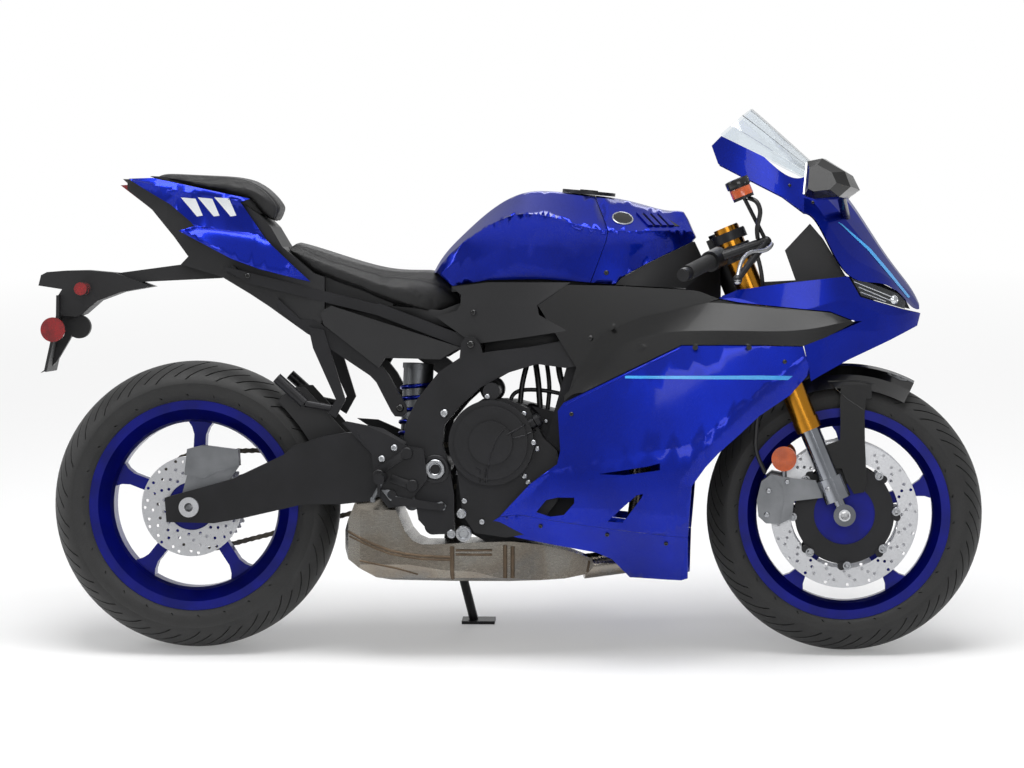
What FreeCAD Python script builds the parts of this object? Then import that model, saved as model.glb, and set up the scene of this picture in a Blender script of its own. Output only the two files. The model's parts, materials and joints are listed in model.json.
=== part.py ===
import FreeCAD, Part
import Sketcher
import math
import os
import re

# Sport motorcycle resting on its side stand.
# The bike is drawn upright with the rear tyre's contact point at the origin,
# front towards +X, left side towards +Y, and is then leaned over onto its stand.

V = FreeCAD.Vector
DOC = FreeCAD.newDocument("SportBike")
SHEET = DOC.addObject("Spreadsheet::Sheet", "Sizes")

SIZES = [
    # Stance
    ("wheelbase", 1420.0, "between the axles"),
    ("lean_angle", 9.5, "degrees, lean onto the side stand"),
    ("rake_angle", 22.58, "degrees, steering axis back from upright"),
    ("fork_offset", 28.4, "fork legs ahead of the steering axis"),
    ("fork_half_track", 105.0, "fork leg centre from the middle"),
    ("run_clear", 0.05, "radial clearance of a running fit"),
    ("seat_gap", 0.3, "clearance of a seated piece"),
    ("overrun", 20.0, "how far cutting shapes pass a face"),
    # Wheels
    ("front_tyre_radius", 299.9, "120/70-17"),
    ("front_tyre_half", 60.0, "half width"),
    ("rear_tyre_radius", 314.9, "180/55-17"),
    ("rear_tyre_half", 90.0, "half width"),
    ("bead_radius", 215.9, "17 inch bead seat"),
    ("rim_flange_radius", 230.0, "outer edge of the rim"),
    ("rim_flange_thick", 5.5, "rim flange"),
    ("front_rim_half", 50.0, "half width over the flanges"),
    ("rear_rim_half", 75.0, "half width over the flanges"),
    ("front_window_radius", 191.0, "inner face of the front rim barrel"),
    ("rear_window_radius", 182.0, "inner face of the rear rim barrel"),
    ("front_hub_radius", 34.0, "front hub barrel"),
    ("front_hub_flange_radius", 76.0, "disc flange of the front hub"),
    ("rear_hub_radius", 42.0, "rear hub barrel"),
    ("rear_hub_flange_radius", 62.0, "flanges of the rear hub"),
    ("front_hub_half", 58.0, "front hub half length"),
    ("hub_flange_thick", 10.0, "hub flanges"),
    ("spoke_half_width", 13.0, "spoke seen from the side"),
    ("spoke_flare_half", 30.0, "spoke where it meets the rim"),
    ("front_spoke_depth", 36.0, "front spoke across the wheel"),
    ("rear_spoke_depth", 44.0, "rear spoke across the wheel"),
    ("spoke_count", 5.0, "spokes per wheel"),
    ("front_spoke_turn", 0.0, "degrees, first front spoke from straight up"),
    ("rear_spoke_turn", 3.0, "degrees, first rear spoke from straight up"),
    ("front_axle_radius", 12.5, "front axle"),
    ("front_axle_bore", 9.0, "bore through the front axle"),
    ("front_axle_half", 121.0, "front axle half length"),
    ("rear_axle_radius", 14.0, "rear axle"),
    ("rear_axle_bore", 9.5, "bore through the rear axle"),
    ("rear_axle_half", 158.0, "rear axle half length"),
    # Brakes
    ("front_disc_radius", 160.0, "320 mm discs"),
    ("front_disc_inner", 117.0, "inner edge of the braking ring"),
    ("front_disc_thick", 4.5, "front disc"),
    ("front_disc_plane", 68.0, "front disc centre from the middle"),
    ("bobbin_circle", 113.0, "disc bobbins"),
    ("bobbin_radius", 8.5, "disc bobbins"),
    ("bobbin_count", 8.0, "disc bobbins"),
    ("bobbin_turn", 3.0, "degrees, first bobbin from straight up"),
    ("carrier_radius", 108.0, "outer edge of the disc carrier"),
    ("carrier_inner", 66.0, "inner edge of the disc carrier"),
    ("carrier_thick", 6.0, "disc carrier"),
    ("rear_disc_radius", 110.0, "220 mm disc"),
    ("rear_disc_inner", 52.0, "inner edge of the rear disc"),
    ("rear_disc_thick", 5.0, "rear disc"),
    ("rear_disc_plane", 103.0, "rear disc centre from the middle"),
    # Final drive
    ("chain_pitch", 15.875, "525 chain"),
    ("rear_pitch_radius", 108.7, "43 tooth sprocket"),
    ("drive_pitch_radius", 40.7, "16 tooth sprocket"),
    ("chain_plane", 106.0, "chain centre from the middle"),
    ("chain_half_width", 10.5, "chain over its pins"),
    ("link_half_height", 6.5, "link plate at a pin"),
    ("link_waist_half", 5.0, "link plate between pins"),
    ("sprocket_thick", 7.0, "driven sprocket"),
    ("tooth_clear", 0.8, "tooth tips inside the link plates"),
    ("tooth_depth", 6.0, "tooth height"),
    ("rear_teeth", 43.0, "teeth of the driven sprocket"),
    ("rear_sprocket_inner", 58.0, "centre opening of the driven sprocket"),
    ("drive_x", 605.0, "drive sprocket centre"),
    ("drive_z", 402.0, "drive sprocket centre"),
    # Fork and steering
    ("fork_tube_radius", 27.0, "gold outer tube"),
    ("fork_collar_radius", 29.0, "collar at the bottom of the outer tube"),
    ("fork_collar_high", 26.0, "collar length"),
    ("fork_leg_radius", 21.5, "inner tube"),
    ("fork_seal_z", 484.0, "bottom of the outer tube"),
    ("fork_top_z", 922.0, "top of the outer tube"),
    ("fork_clamp_z", 381.0, "top of the axle clamp"),
    ("fork_clamp_low_z", 333.0, "bottom of the clamp cylinder"),
    ("fork_clamp_radius", 29.0, "axle clamp cylinder"),
    ("axle_boss_radius", 24.0, "axle clamp around the axle"),
    ("axle_boss_wide", 26.0, "axle clamp across"),
    ("lower_clamp_z", 640.0, "lower triple clamp, middle height"),
    ("upper_clamp_z", 902.0, "upper triple clamp, middle height"),
    ("lower_clamp_thick", 42.0, "lower triple clamp"),
    ("upper_clamp_thick", 20.0, "upper triple clamp"),
    ("clamp_ear_radius", 37.0, "triple clamp around a tube"),
    ("stem_radius", 15.0, "steering stem"),
    ("stem_bore", 9.0, "bore up the steering stem"),
    ("stem_bore_deep", 60.0, "depth of the stem bore"),
    ("head_tube_radius", 30.0, "steering head"),
    ("head_gap", 6.0, "between the head tube and the clamps"),
    # Handlebars
    ("bar_clamp_z", 866.0, "clip-on height at the tube"),
    ("bar_clamp_high", 34.0, "clip-on clamp"),
    ("bar_clamp_radius", 35.0, "clip-on clamp"),
    ("bar_radius", 11.0, "handlebar tube"),
    ("bar_inner_y", 128.0, "inner end of the bar"),
    ("bar_end_y", 344.0, "outer end of the bar"),
    ("bar_inner_x", 1176.0, "inner end of the bar"),
    ("bar_inner_z", 872.0, "inner end of the bar"),
    ("bar_end_x", 1084.0, "outer end of the bar"),
    ("bar_end_z", 824.0, "outer end of the bar"),
    ("grip_radius", 16.5, "rubber grip"),
    ("grip_length", 118.0, "rubber grip"),
    ("bar_weight_radius", 14.0, "bar end weight"),
    ("bar_weight_length", 22.0, "bar end weight"),
]
SIZES += [
    # Frame
    ("frame_x", 460.0, "rear edge of the frame outline"),
    ("frame_length", 740.0, "frame outline, front to back"),
    ("frame_z", 250.0, "bottom edge of the frame outline"),
    ("frame_height", 600.0, "frame outline, bottom to top"),
    ("spar_inner_y", 120.0, "inner face of the frame spars"),
    ("spar_thick", 28.0, "frame spar"),
    ("spar_front_x", 830.0, "where the spars start to close in"),
    ("head_half", 34.0, "half width of the frame at the head tube"),
    ("frame_cross_radius", 19.0, "frame cross tubes"),
    ("subframe_inner_y", 96.0, "inner face of the rear rails"),
    ("rail_thick", 19.0, "rear rail across"),
    ("rail_x", 60.0, "rear end of the rear rails"),
    ("rail_length", 570.0, "rear rails"),
    ("rail_z", 500.0, "lower end of the rear rails"),
    ("rail_height", 340.0, "rear rails"),
    ("rail_cross_radius", 11.0, "rear rail cross tubes"),
    # Swingarm
    ("pivot_x", 535.0, "swingarm pivot"),
    ("pivot_z", 399.0, "swingarm pivot"),
    ("pivot_radius", 24.0, "swingarm pivot tube"),
    ("pivot_pin_radius", 18.0, "pivot pin"),
    ("pivot_pin_bore", 10.0, "pivot pin socket"),
    ("arm_right_y", 119.0, "inner face of the right arm"),
    ("arm_left_y", 124.0, "inner face of the left arm"),
    ("arm_thick", 27.0, "swingarm arm across"),
    ("arm_x", -60.0, "rear end of the arms"),
    ("arm_length", 500.0, "arms, front to back"),
    ("arm_z", 275.0, "bottom edge of the arms"),
    ("arm_height", 215.0, "arms, bottom to top"),
    ("arm_cross_x", 340.0, "rear face of the swingarm cross member"),
    ("arm_cross_long", 78.0, "cross member, front to back"),
    ("arm_cross_z", 352.0, "bottom of the cross member"),
    ("arm_cross_high", 66.0, "cross member height"),
    ("arm_neck_half", 88.0, "swingarm neck half width"),
    ("shock_window_half", 46.0, "half width of the shock's window in the swingarm"),
    ("shock_low_x", 474.0, "lower shock eye"),
    ("shock_low_z", 318.0, "lower shock eye"),
    ("shock_top_x", 490.0, "upper shock eye"),
    ("shock_top_z", 652.0, "upper shock eye"),
    ("shock_radius", 21.0, "shock body"),
    ("spring_radius", 33.0, "shock spring"),
    ("spring_wire", 11.0, "spring wire"),
    # Engine
    ("engine_x", 575.0, "rear of the engine"),
    ("engine_length", 370.0, "engine, front to back"),
    ("engine_z", 236.0, "bottom of the engine"),
    ("engine_height", 470.0, "engine height"),
    ("engine_half", 92.0, "crankcase half width"),
    ("cylinder_half", 112.0, "cylinder block half width"),
    ("clutch_x", 659.5, "clutch cover centre"),
    ("clutch_z", 458.0, "clutch cover centre"),
    ("clutch_radius", 92.0, "clutch cover"),
    ("clutch_cap_radius", 47.0, "raised middle of the clutch cover"),
    ("clutch_face_y", 196.0, "outer face of the clutch cover"),
    ("clutch_cap_y", 204.0, "outer face of its raised middle"),
    ("cover_base_y", 158.0, "outer face of the crankcase skirt"),
    ("generator_x", 700.0, "left cover centre"),
    ("generator_z", 430.0, "left cover centre"),
    ("generator_radius", 74.0, "left cover"),
    ("generator_face_y", 186.0, "outer face of the left cover"),
    ("radiator_x", 1015.0, "rear bottom of the radiator"),
    ("radiator_length", 140.0, "radiator, front to back in side view"),
    ("radiator_z", 300.0, "bottom of the radiator"),
    ("radiator_height", 340.0, "radiator height"),
    ("radiator_half", 165.0, "radiator half width"),
    # Exhaust
    ("silencer_x", 330.0, "rear of the silencer"),
    ("silencer_length", 548.0, "silencer, front to back"),
    ("silencer_z", 152.5, "bottom of the silencer"),
    ("silencer_height", 190.0, "silencer height"),
    ("silencer_right_y", 148.0, "right face of the silencer"),
    ("silencer_left_y", 74.0, "left face of the silencer"),
    ("pipe_radius", 21.0, "header pipe"),
    ("collector_radius", 27.0, "collector pipe"),
    # Tank
    ("tank_x", 520.0, "rear tip of the tank"),
    ("tank_length", 580.0, "tank with its front cover"),
    ("tank_z", 785.0, "bottom edge of the tank"),
    ("tank_height", 220.0, "tank height"),
    ("tank_half", 165.0, "half width at the shoulders"),
    ("cap_x", 862.0, "fuel cap centre"),
    ("cap_radius", 58.0, "fuel cap lid"),
    ("cap_thick", 7.0, "fuel cap lid"),
    ("cap_tilt", 5.2, "degrees, tank top down towards the front"),
    ("cap_seat_z", 998.0, "underside of the lid"),
    # Seats
    ("seat_x", 196.0, "rear of the rider seat"),
    ("seat_length", 396.0, "rider seat"),
    ("seat_z", 728.0, "bottom of the rider seat"),
    ("seat_height", 162.0, "rider seat"),
    ("seat_half", 122.0, "rider seat half width"),
    ("pillion_x", -95.0, "rear of the pillion seat"),
    ("pillion_length", 288.0, "pillion seat"),
    ("pillion_z", 920.0, "bottom of the pillion seat"),
    ("pillion_height", 120.0, "pillion seat"),
    ("pillion_half", 84.0, "pillion seat half width"),
    # Tail
    ("tail_x", -184.0, "tail tip"),
    ("tail_length", 630.0, "tail"),
    ("tail_z", 676.0, "bottom of the tail"),
    ("tail_height", 360.0, "tail"),
    ("tail_half", 122.0, "tail half width"),
    ("skin_thick", 4.0, "body panels"),
    ("plate_x", -350.0, "rear of the plate bracket"),
    ("plate_length", 410.0, "plate bracket and its arm"),
    ("plate_z", 600.0, "bottom of the plate bracket"),
    ("plate_height", 260.0, "plate bracket"),
    ("plate_arm_half", 26.0, "arm half width"),
    ("plate_head_half", 44.0, "plate lamp housing half width"),
    ("plate_board_half", 72.0, "plate board half width"),
    ("plate_hole_radius", 3.25, "plate screw holes"),
    ("plate_hole_spacing", 80.0, "between the plate screws"),
    ("reflector_radius", 27.0, "side reflectors"),
    ("reflector_thick", 6.0, "side reflectors"),
]
SIZES += [
    # Bodywork
    ("side_x", 640.0, "rear tip of the side fairing"),
    ("side_length", 820.0, "side fairing"),
    ("side_z", 155.0, "bottom of the side fairing"),
    ("side_height", 570.0, "side fairing"),
    ("side_half", 230.0, "half width over the side fairings"),
    ("duct_half", 212.0, "half width over the black mid fairing"),
    ("cowl_x", 1130.0, "rear of the upper cowl"),
    ("cowl_length", 456.0, "upper cowl"),
    ("cowl_z", 430.0, "bottom of the upper cowl"),
    ("cowl_height", 752.0, "upper cowl to the screen's tip"),
    ("cowl_half", 200.0, "upper cowl half width"),
    ("screen_thick", 3.0, "windscreen"),
    ("cover_thick", 14.0, "under-tank covers"),
    ("side_cover_thick", 11.0, "rear side covers"),
    ("mirror_x", 1330.0, "rear of the mirror head"),
    ("mirror_length", 122.0, "mirror head, front to back"),
    ("mirror_z", 978.0, "bottom of the mirror head"),
    ("mirror_height", 90.0, "mirror head"),
    ("mirror_inner_y", 214.0, "inner end of the mirror head"),
    ("mirror_outer_y", 352.5, "outer end of the mirror head"),
    ("mirror_glass_thick", 3.0, "mirror glass"),
    ("fender_radius", 326.0, "top of the front fender from the axle"),
    ("fender_half", 68.0, "front fender half width"),
    ("fender_thick", 3.5, "front fender"),
    ("hugger_radius", 333.0, "rear hugger from the axle"),
    ("hugger_half", 86.0, "rear hugger half width"),
    ("caliper_x", 1228.0, "rear of the front caliper"),
    ("caliper_length", 84.0, "front caliper"),
    ("caliper_z", 278.0, "bottom of the front caliper"),
    ("caliper_height", 112.0, "front caliper"),
    ("caliper_inner_y", 46.0, "inner face of the front caliper"),
    ("caliper_outer_y", 96.0, "outer face of the front caliper"),
    ("disc_gap", 5.5, "between a disc and its caliper"),
    ("lever_pivot_x", 1250.0, "lever pivot"),
    ("lever_pivot_y", 200.0, "lever pivot"),
    ("lever_pivot_z", 892.0, "lever pivot"),
    ("lever_tip_x", 1190.0, "lever tip"),
    ("lever_tip_y", 336.0, "lever tip"),
    ("lever_tip_z", 810.0, "lever tip"),
    ("reservoir_x", 1203.0, "brake fluid reservoir"),
    ("reservoir_y", 232.0, "brake fluid reservoir"),
    ("reservoir_z", 982.0, "bottom of the reservoir"),
    ("reservoir_high", 44.0, "brake fluid reservoir"),
    ("reservoir_radius", 23.0, "brake fluid reservoir"),
    ("front_reflector_x", 1289.0, "front side reflector"),
    ("front_reflector_y", 114.0, "front side reflector"),
    ("front_reflector_z", 422.0, "front side reflector"),
    ("hose_radius", 4.5, "brake hose with its sleeve"),
    ("stand_pivot_x", 552.0, "side stand pivot"),
    ("stand_pivot_y", 140.0, "side stand pivot"),
    ("stand_pivot_z", 236.0, "side stand pivot"),
    ("stand_splay", 27.0, "degrees, leg outwards"),
    ("stand_forward", 12.0, "degrees, leg forwards"),
    ("stand_radius", 10.0, "side stand leg"),
    ("stand_lug_radius", 18.0, "side stand lug"),
    ("stand_lug_thick", 14.0, "side stand lug"),
    ("stand_foot_length", 74.0, "stand foot"),
    ("stand_foot_wide", 44.0, "stand foot"),
    ("stand_foot_thick", 7.0, "stand foot"),
]

for row, (name, value, note) in enumerate(SIZES, 1):
    SHEET.set("A%d" % row, name)
    SHEET.set("B%d" % row, repr(value))
    SHEET.set("C%d" % row, note)
    SHEET.setAlias("B%d" % row, name)
DOC.recompute()
NAMES = [entry[0] for entry in SIZES]


class Values:
    """Numbers read back from the sheet by name."""

    def __getattr__(self, name):
        return float(SHEET.get(name))


S = Values()


def linked(text):
    """An expression with each size's name pointed at the sheet."""
    def point(match):
        word = match.group(0)
        return "Sizes." + word if word in NAMES else word
    return re.sub(r"[A-Za-z_]\w*", point, str(text))


def number(text):
    """The value of an expression in the sheet's sizes."""
    result = SHEET.evalExpression(linked(text))
    return float(getattr(result, "Value", result))


def from_shares(table, start_a, span_a, start_b, span_b):
    """Outline points as expressions: a start plus a share of a span."""
    points = []
    for share_a, share_b in table:
        points.append(("%s + %s * (%s)" % (start_a, span_a, share_a),
                       "%s + %s * (%s)" % (start_b, span_b, share_b)))
    return points


def plain_points(points):
    return [(number(a), number(b)) for a, b in points]


VIEW_TURN = {
    "side": FreeCAD.Rotation(V(1, 0, 0), V(0, 0, 1), V(0, -1, 0), "XYZ"),
    "plan": FreeCAD.Rotation(V(1, 0, 0), V(0, 1, 0), V(0, 0, 1), "XYZ"),
    "front": FreeCAD.Rotation(V(0, 1, 0), V(0, 0, 1), V(1, 0, 0), "XYZ"),
}
VIEW_PLANE = {"side": "XZ_Plane", "plan": "XY_Plane", "front": "YZ_Plane"}
NODES = []


def keep(obj, label, local=None):
    """Register a finished sub-part under its name, with its own local placement."""
    obj.Label = label
    NODES.append((label, obj, local or FreeCAD.Placement()))
    return obj


def fill_outline(sketch, points):
    count = len(points)
    flat = plain_points(points)
    for i in range(count):
        a = flat[i]
        b = flat[(i + 1) % count]
        sketch.addGeometry(Part.LineSegment(V(a[0], a[1], 0), V(b[0], b[1], 0)), False)
    for i in range(count):
        sketch.addConstraint(Sketcher.Constraint("Coincident", i, 2, (i + 1) % count, 1))
    for i in range(count):
        k = sketch.addConstraint(Sketcher.Constraint("DistanceX", -1, 1, i, 1, flat[i][0]))
        sketch.renameConstraint(k, "a%d" % i)
        sketch.setExpression(".Constraints.a%d" % i, linked(points[i][0]))
        k = sketch.addConstraint(Sketcher.Constraint("DistanceY", -1, 1, i, 1, flat[i][1]))
        sketch.renameConstraint(k, "b%d" % i)
        sketch.setExpression(".Constraints.b%d" % i, linked(points[i][1]))


def fill_circle(sketch, cx, cy, radius):
    index = sketch.addGeometry(
        Part.Circle(V(number(cx), number(cy), 0), V(0, 0, 1), number(radius)), False)
    for tag, kind, text in (("a", "DistanceX", cx), ("b", "DistanceY", cy)):
        k = sketch.addConstraint(Sketcher.Constraint(kind, -1, 1, index, 3, number(text)))
        sketch.renameConstraint(k, "%s%d" % (tag, index))
        sketch.setExpression(".Constraints.%s%d" % (tag, index), linked(text))
    k = sketch.addConstraint(Sketcher.Constraint("Radius", index, number(radius)))
    sketch.renameConstraint(k, "r%d" % index)
    sketch.setExpression(".Constraints.r%d" % index, linked(radius))


def loose_sketch(name, view, points):
    sketch = DOC.addObject("Sketcher::SketchObject", name)
    sketch.Placement = FreeCAD.Placement(V(0, 0, 0), VIEW_TURN[view])
    fill_outline(sketch, points)
    return sketch


def extrusion(name, view, points, forward, backward="0"):
    """An outline seen in one view, pushed forward and backward along that view's normal."""
    sketch = loose_sketch(name + "_outline", view, points)
    body = DOC.addObject("Part::Extrusion", name + "_" + view)
    body.Base = sketch
    body.DirMode = "Normal"
    body.Solid = True
    body.setExpression("LengthFwd", linked(forward))
    body.setExpression("LengthRev", linked(backward))
    return body


def common_of(name, parts):
    body = DOC.addObject("Part::MultiCommon", name)
    body.Shapes = parts
    return body


def fuse_of(name, parts):
    body = DOC.addObject("Part::MultiFuse", name)
    body.Shapes = parts
    return body


def cut_of(name, base, tool):
    body = DOC.addObject("Part::Cut", name)
    body.Base = base
    body.Tool = tool
    return body


def mirrored(name, source):
    body = DOC.addObject("Part::Mirroring", name)
    body.Source = source
    body.Normal = V(0, 1, 0)
    body.Base = V(0, 0, 0)
    return body


def both_sides(name, source):
    body = DOC.addObject("Part::Compound", name)
    body.Links = [source, mirrored(name + "_other", source)]
    return body


def solid_feature(name, shape):
    body = DOC.addObject("Part::Feature", name)
    body.Shape = shape
    return body


def fitted(name, source, others):
    """A sub-part trimmed where it meets the pieces it is fitted around."""
    DOC.recompute()
    shape = source.Shape.copy()
    for other in others:
        shape = shape.cut(other.Shape)
    return solid_feature(name, shape)


def largest(shape):
    return sorted(shape.Solids, key=lambda solid: solid.Volume)[-1]


def new_body(name):
    body = DOC.addObject("PartDesign::Body", name)
    body.AllowCompound = True
    return body


def origin_item(body, role):
    return [item for item in body.Origin.OriginFeatures if item.Role == role][0]


def body_sketch(body, view, offset="0"):
    sketch = body.newObject("Sketcher::SketchObject", body.Name + "_sketch")
    sketch.AttachmentSupport = [(origin_item(body, VIEW_PLANE[view]), "")]
    sketch.MapMode = "FlatFace"
    sketch.AttachmentOffset = FreeCAD.Placement(V(0, 0, number(offset)), FreeCAD.Rotation())
    sketch.setExpression(".AttachmentOffset.Base.z", linked(offset))
    return sketch


def pad_of(body, sketch, length, both=False, back=False):
    pad = body.newObject("PartDesign::Pad", body.Name + "_pad")
    pad.Profile = sketch
    pad.setExpression("Length", linked(length))
    pad.SideType = "Symmetric" if both else "One side"
    pad.Reversed = back
    body.Tip = pad
    return pad


def pocket_of(body, sketch, length, both=False, back=False):
    pocket = body.newObject("PartDesign::Pocket", body.Name + "_pocket")
    pocket.Profile = sketch
    pocket.setExpression("Length", linked(length))
    pocket.SideType = "Symmetric" if both else "One side"
    pocket.Reversed = back
    body.Tip = pocket
    return pocket


def spin_of(body, sketch):
    spin = body.newObject("PartDesign::Revolution", body.Name + "_spin")
    spin.Profile = sketch
    spin.ReferenceAxis = (sketch, ["H_Axis"])
    spin.Angle = 360
    body.Tip = spin
    return spin


def polar_of(body, features, count, role="Y_Axis"):
    ring = body.newObject("PartDesign::PolarPattern", body.Name + "_ring")
    ring.Originals = features
    ring.Axis = (origin_item(body, role), [""])
    ring.Angle = 360
    ring.setExpression("Occurrences", linked(count))
    body.Tip = ring
    return ring


def mirror_of(body, features, role="XZ_Plane"):
    twin = body.newObject("PartDesign::Mirrored", body.Name + "_twin")
    twin.Originals = features
    twin.MirrorPlane = (origin_item(body, role), [""])
    body.Tip = twin
    return twin


def plates(label, points, inner, thick):
    """The same flat plate on both sides of the bike."""
    body = new_body(label)
    sketch = body_sketch(body, "side", inner)
    fill_outline(sketch, points)
    pad = pad_of(body, sketch, thick)
    mirror_of(body, [pad])
    return body


def rod(name, start, end, radius):
    """A round bar between two points."""
    a = V(*start)
    b = V(*end)
    return Part.makeCylinder(radius, (b - a).Length, a, b - a)


def ring_wire(x, half):
    """A closed section across the bike from the right half of it, top to bottom."""
    left = [(-y, z) for y, z in reversed(half) if abs(y) > 0]
    points = [V(x, y, z) for y, z in half + left]
    return Part.makePolygon(points + points[:1])


def loft_across(stations):
    return Part.makeLoft([ring_wire(x, half) for x, half in stations], True, False)


def skin_wire(x, outer, thick):
    """A section of a side panel: its outer line and the same line moved inwards."""
    inner = [(y - thick, z) for y, z in reversed(outer)]
    points = [V(x, y, z) for y, z in outer + inner]
    return Part.makePolygon(points + points[:1])


def loft_skin(stations, thick):
    return Part.makeLoft([skin_wire(x, outer, thick) for x, outer in stations], True, False)


def prism(points, y_low, y_high):
    flat = [V(x, y_low, z) for x, z in points]
    face = Part.Face(Part.makePolygon(flat + flat[:1]))
    return face.extrude(V(0, y_high - y_low, 0))


def other_side(shape):
    return shape.mirror(V(0, 0, 0), V(0, 1, 0))


def pair(shape):
    return Part.makeCompound([shape, other_side(shape)])


def bent_path(points, shares_of_run=0.45):
    """Straight runs joined by tangent arcs through a list of points."""
    pts = [V(*p) for p in points]
    edges = []
    start = pts[0]
    for i in range(1, len(pts) - 1):
        into = (pts[i] - pts[i - 1])
        out = (pts[i + 1] - pts[i])
        turn = into.getAngle(out)
        reach = shares_of_run * min(into.Length, out.Length)
        into.normalize()
        out.normalize()
        a = pts[i] - into * reach
        b = pts[i] + out * reach
        radius = reach / math.tan(turn / 2)
        towards = out - into
        towards.normalize()
        middle = pts[i] + towards * (radius / math.cos(turn / 2) - radius)
        edges.append(Part.LineSegment(start, a).toShape())
        edges.append(Part.Arc(a, middle, b).toShape())
        start = b
    edges.append(Part.LineSegment(start, pts[-1]).toShape())
    return Part.Wire(edges)


def pipe(points, radius):
    path = bent_path(points) if len(points) > 2 else Part.Wire(
        [Part.LineSegment(V(*points[0]), V(*points[1])).toShape()])
    along = V(*points[1]) - V(*points[0])
    profile = Part.Wire([Part.Circle(V(*points[0]), along, radius).toShape()])
    return path.makePipeShell([profile], True, False)


FRONT_AXLE = V(S.wheelbase, 0, S.front_tyre_radius)
REAR_AXLE = V(0, 0, S.rear_tyre_radius)
AT_FRONT = FreeCAD.Placement(FRONT_AXLE, FreeCAD.Rotation())
AT_REAR = FreeCAD.Placement(REAR_AXLE, FreeCAD.Rotation())
RAKE = math.radians(S.rake_angle)
STEER_UP = V(-math.sin(RAKE), 0, math.cos(RAKE))
STEER_AHEAD = V(math.cos(RAKE), 0, math.sin(RAKE))
STEER_TILT = FreeCAD.Rotation(V(0, 1, 0), -S.rake_angle)


def on_leg(z, y=0.0):
    """The point of a fork leg's centre line at a height."""
    return FRONT_AXLE + STEER_UP * ((z - FRONT_AXLE.z) / STEER_UP.z) + V(0, y, 0)


def on_steering(z):
    """The point of the steering axis level with a fork leg's point at a height."""
    return on_leg(z) - STEER_AHEAD * S.fork_offset


# Front tyre
tyre_front = new_body("front_tyre")
tyre_front_sketch = body_sketch(tyre_front, "front")
TYRE_SHARES = [(0.27, 0), (0.74, 0.055), (1, 0.147)]


def tyre_points(radius, half, rim_half):
    """Half the tread and sidewall as shares of width and radius, then down to the rim."""
    flank = [("%s * %s" % (half, a), "%s * (1 - %s)" % (radius, b)) for a, b in TYRE_SHARES]
    foot = "%s - rim_flange_thick - seat_gap" % rim_half
    flank.append((foot, "rim_flange_radius + seat_gap"))
    flank.append((foot, "bead_radius"))
    other = [("0 - (%s)" % a, b) for a, b in reversed(flank)]
    return flank + other


fill_outline(tyre_front_sketch, tyre_points("front_tyre_radius", "front_tyre_half", "front_rim_half"))
spin_of(tyre_front, tyre_front_sketch)
keep(tyre_front, "front_tyre", AT_FRONT)

# Rear tyre
tyre_rear = new_body("rear_tyre")
tyre_rear_sketch = body_sketch(tyre_rear, "front")
fill_outline(tyre_rear_sketch, tyre_points("rear_tyre_radius", "rear_tyre_half", "rear_rim_half"))
spin_of(tyre_rear, tyre_rear_sketch)
keep(tyre_rear, "rear_tyre", AT_REAR)


def make_rim(label, end, depth, turn, local, hub_left, hub_right):
    """A cast wheel: barrel with flanges, hub with its flanges, and flared spokes."""
    half = end + "_rim_half"
    window = end + "_window_radius"
    hub = end + "_hub_radius"
    flange = end + "_hub_flange_radius"
    bore = end + "_axle_radius + run_clear"
    body = new_body(label)
    barrel = body_sketch(body, "front")
    seat = "bead_radius - seat_gap"
    right = [
        (half, "rim_flange_radius"), (half, "bead_radius - rim_flange_thick"),
        ("%s * 0.62" % half, "%s + rim_flange_thick" % window), ("%s * 0.4" % half, window),
    ]
    left = [("0 - (%s)" % a, b) for a, b in reversed(right)]
    inner = "%s - rim_flange_thick" % half
    top = [("0 - (%s)" % inner, "rim_flange_radius"), ("0 - (%s)" % inner, seat), (inner, seat),
           (inner, "rim_flange_radius")]
    fill_outline(barrel, right + left + top)
    spin_of(body, barrel)
    core = body_sketch(body, "front")
    left = "%s - hub_flange_thick" % hub_left
    right = "0 - (%s - hub_flange_thick)" % hub_right
    fill_outline(core, [
        (hub_left, bore), (hub_left, flange), (left, flange), (left, hub),
        (right, hub), (right, flange), ("0 - (%s)" % hub_right, flange), ("0 - (%s)" % hub_right, bore)])
    spin_of(body, core)
    spoke = body_sketch(body, "side")
    reach = "%s + rim_flange_thick * 0.5" % window
    side = [
        ("spoke_half_width * 1.25", "%s * 0.8" % hub), ("spoke_half_width", "%s * 0.55" % window),
        ("spoke_half_width", "%s * 0.84" % window), ("spoke_flare_half * 0.62", "%s * 0.93" % window),
        ("spoke_flare_half", reach),
    ]
    fill_outline(spoke, side + [("0 - (%s)" % a, b) for a, b in reversed(side)])
    arm = pad_of(body, spoke, depth, both=True)
    polar_of(body, [arm], "spoke_count")
    bore_cut = body_sketch(body, "side")
    fill_circle(bore_cut, "0", "0", bore)
    pocket_of(body, bore_cut, "(%s + overrun) * 2" % hub_left, both=True)
    turned = FreeCAD.Placement(local.Base, FreeCAD.Rotation(V(0, 1, 0), number(turn)))
    keep(body, label, turned)


make_rim("front_rim", "front", "front_spoke_depth", "front_spoke_turn", AT_FRONT,
         "front_hub_half", "front_hub_half")
make_rim("rear_rim", "rear", "rear_spoke_depth", "rear_spoke_turn", AT_REAR,
         "chain_plane - sprocket_thick * 0.5 - seat_gap",
         "rear_disc_plane - rear_disc_thick * 0.5 - seat_gap")

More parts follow.
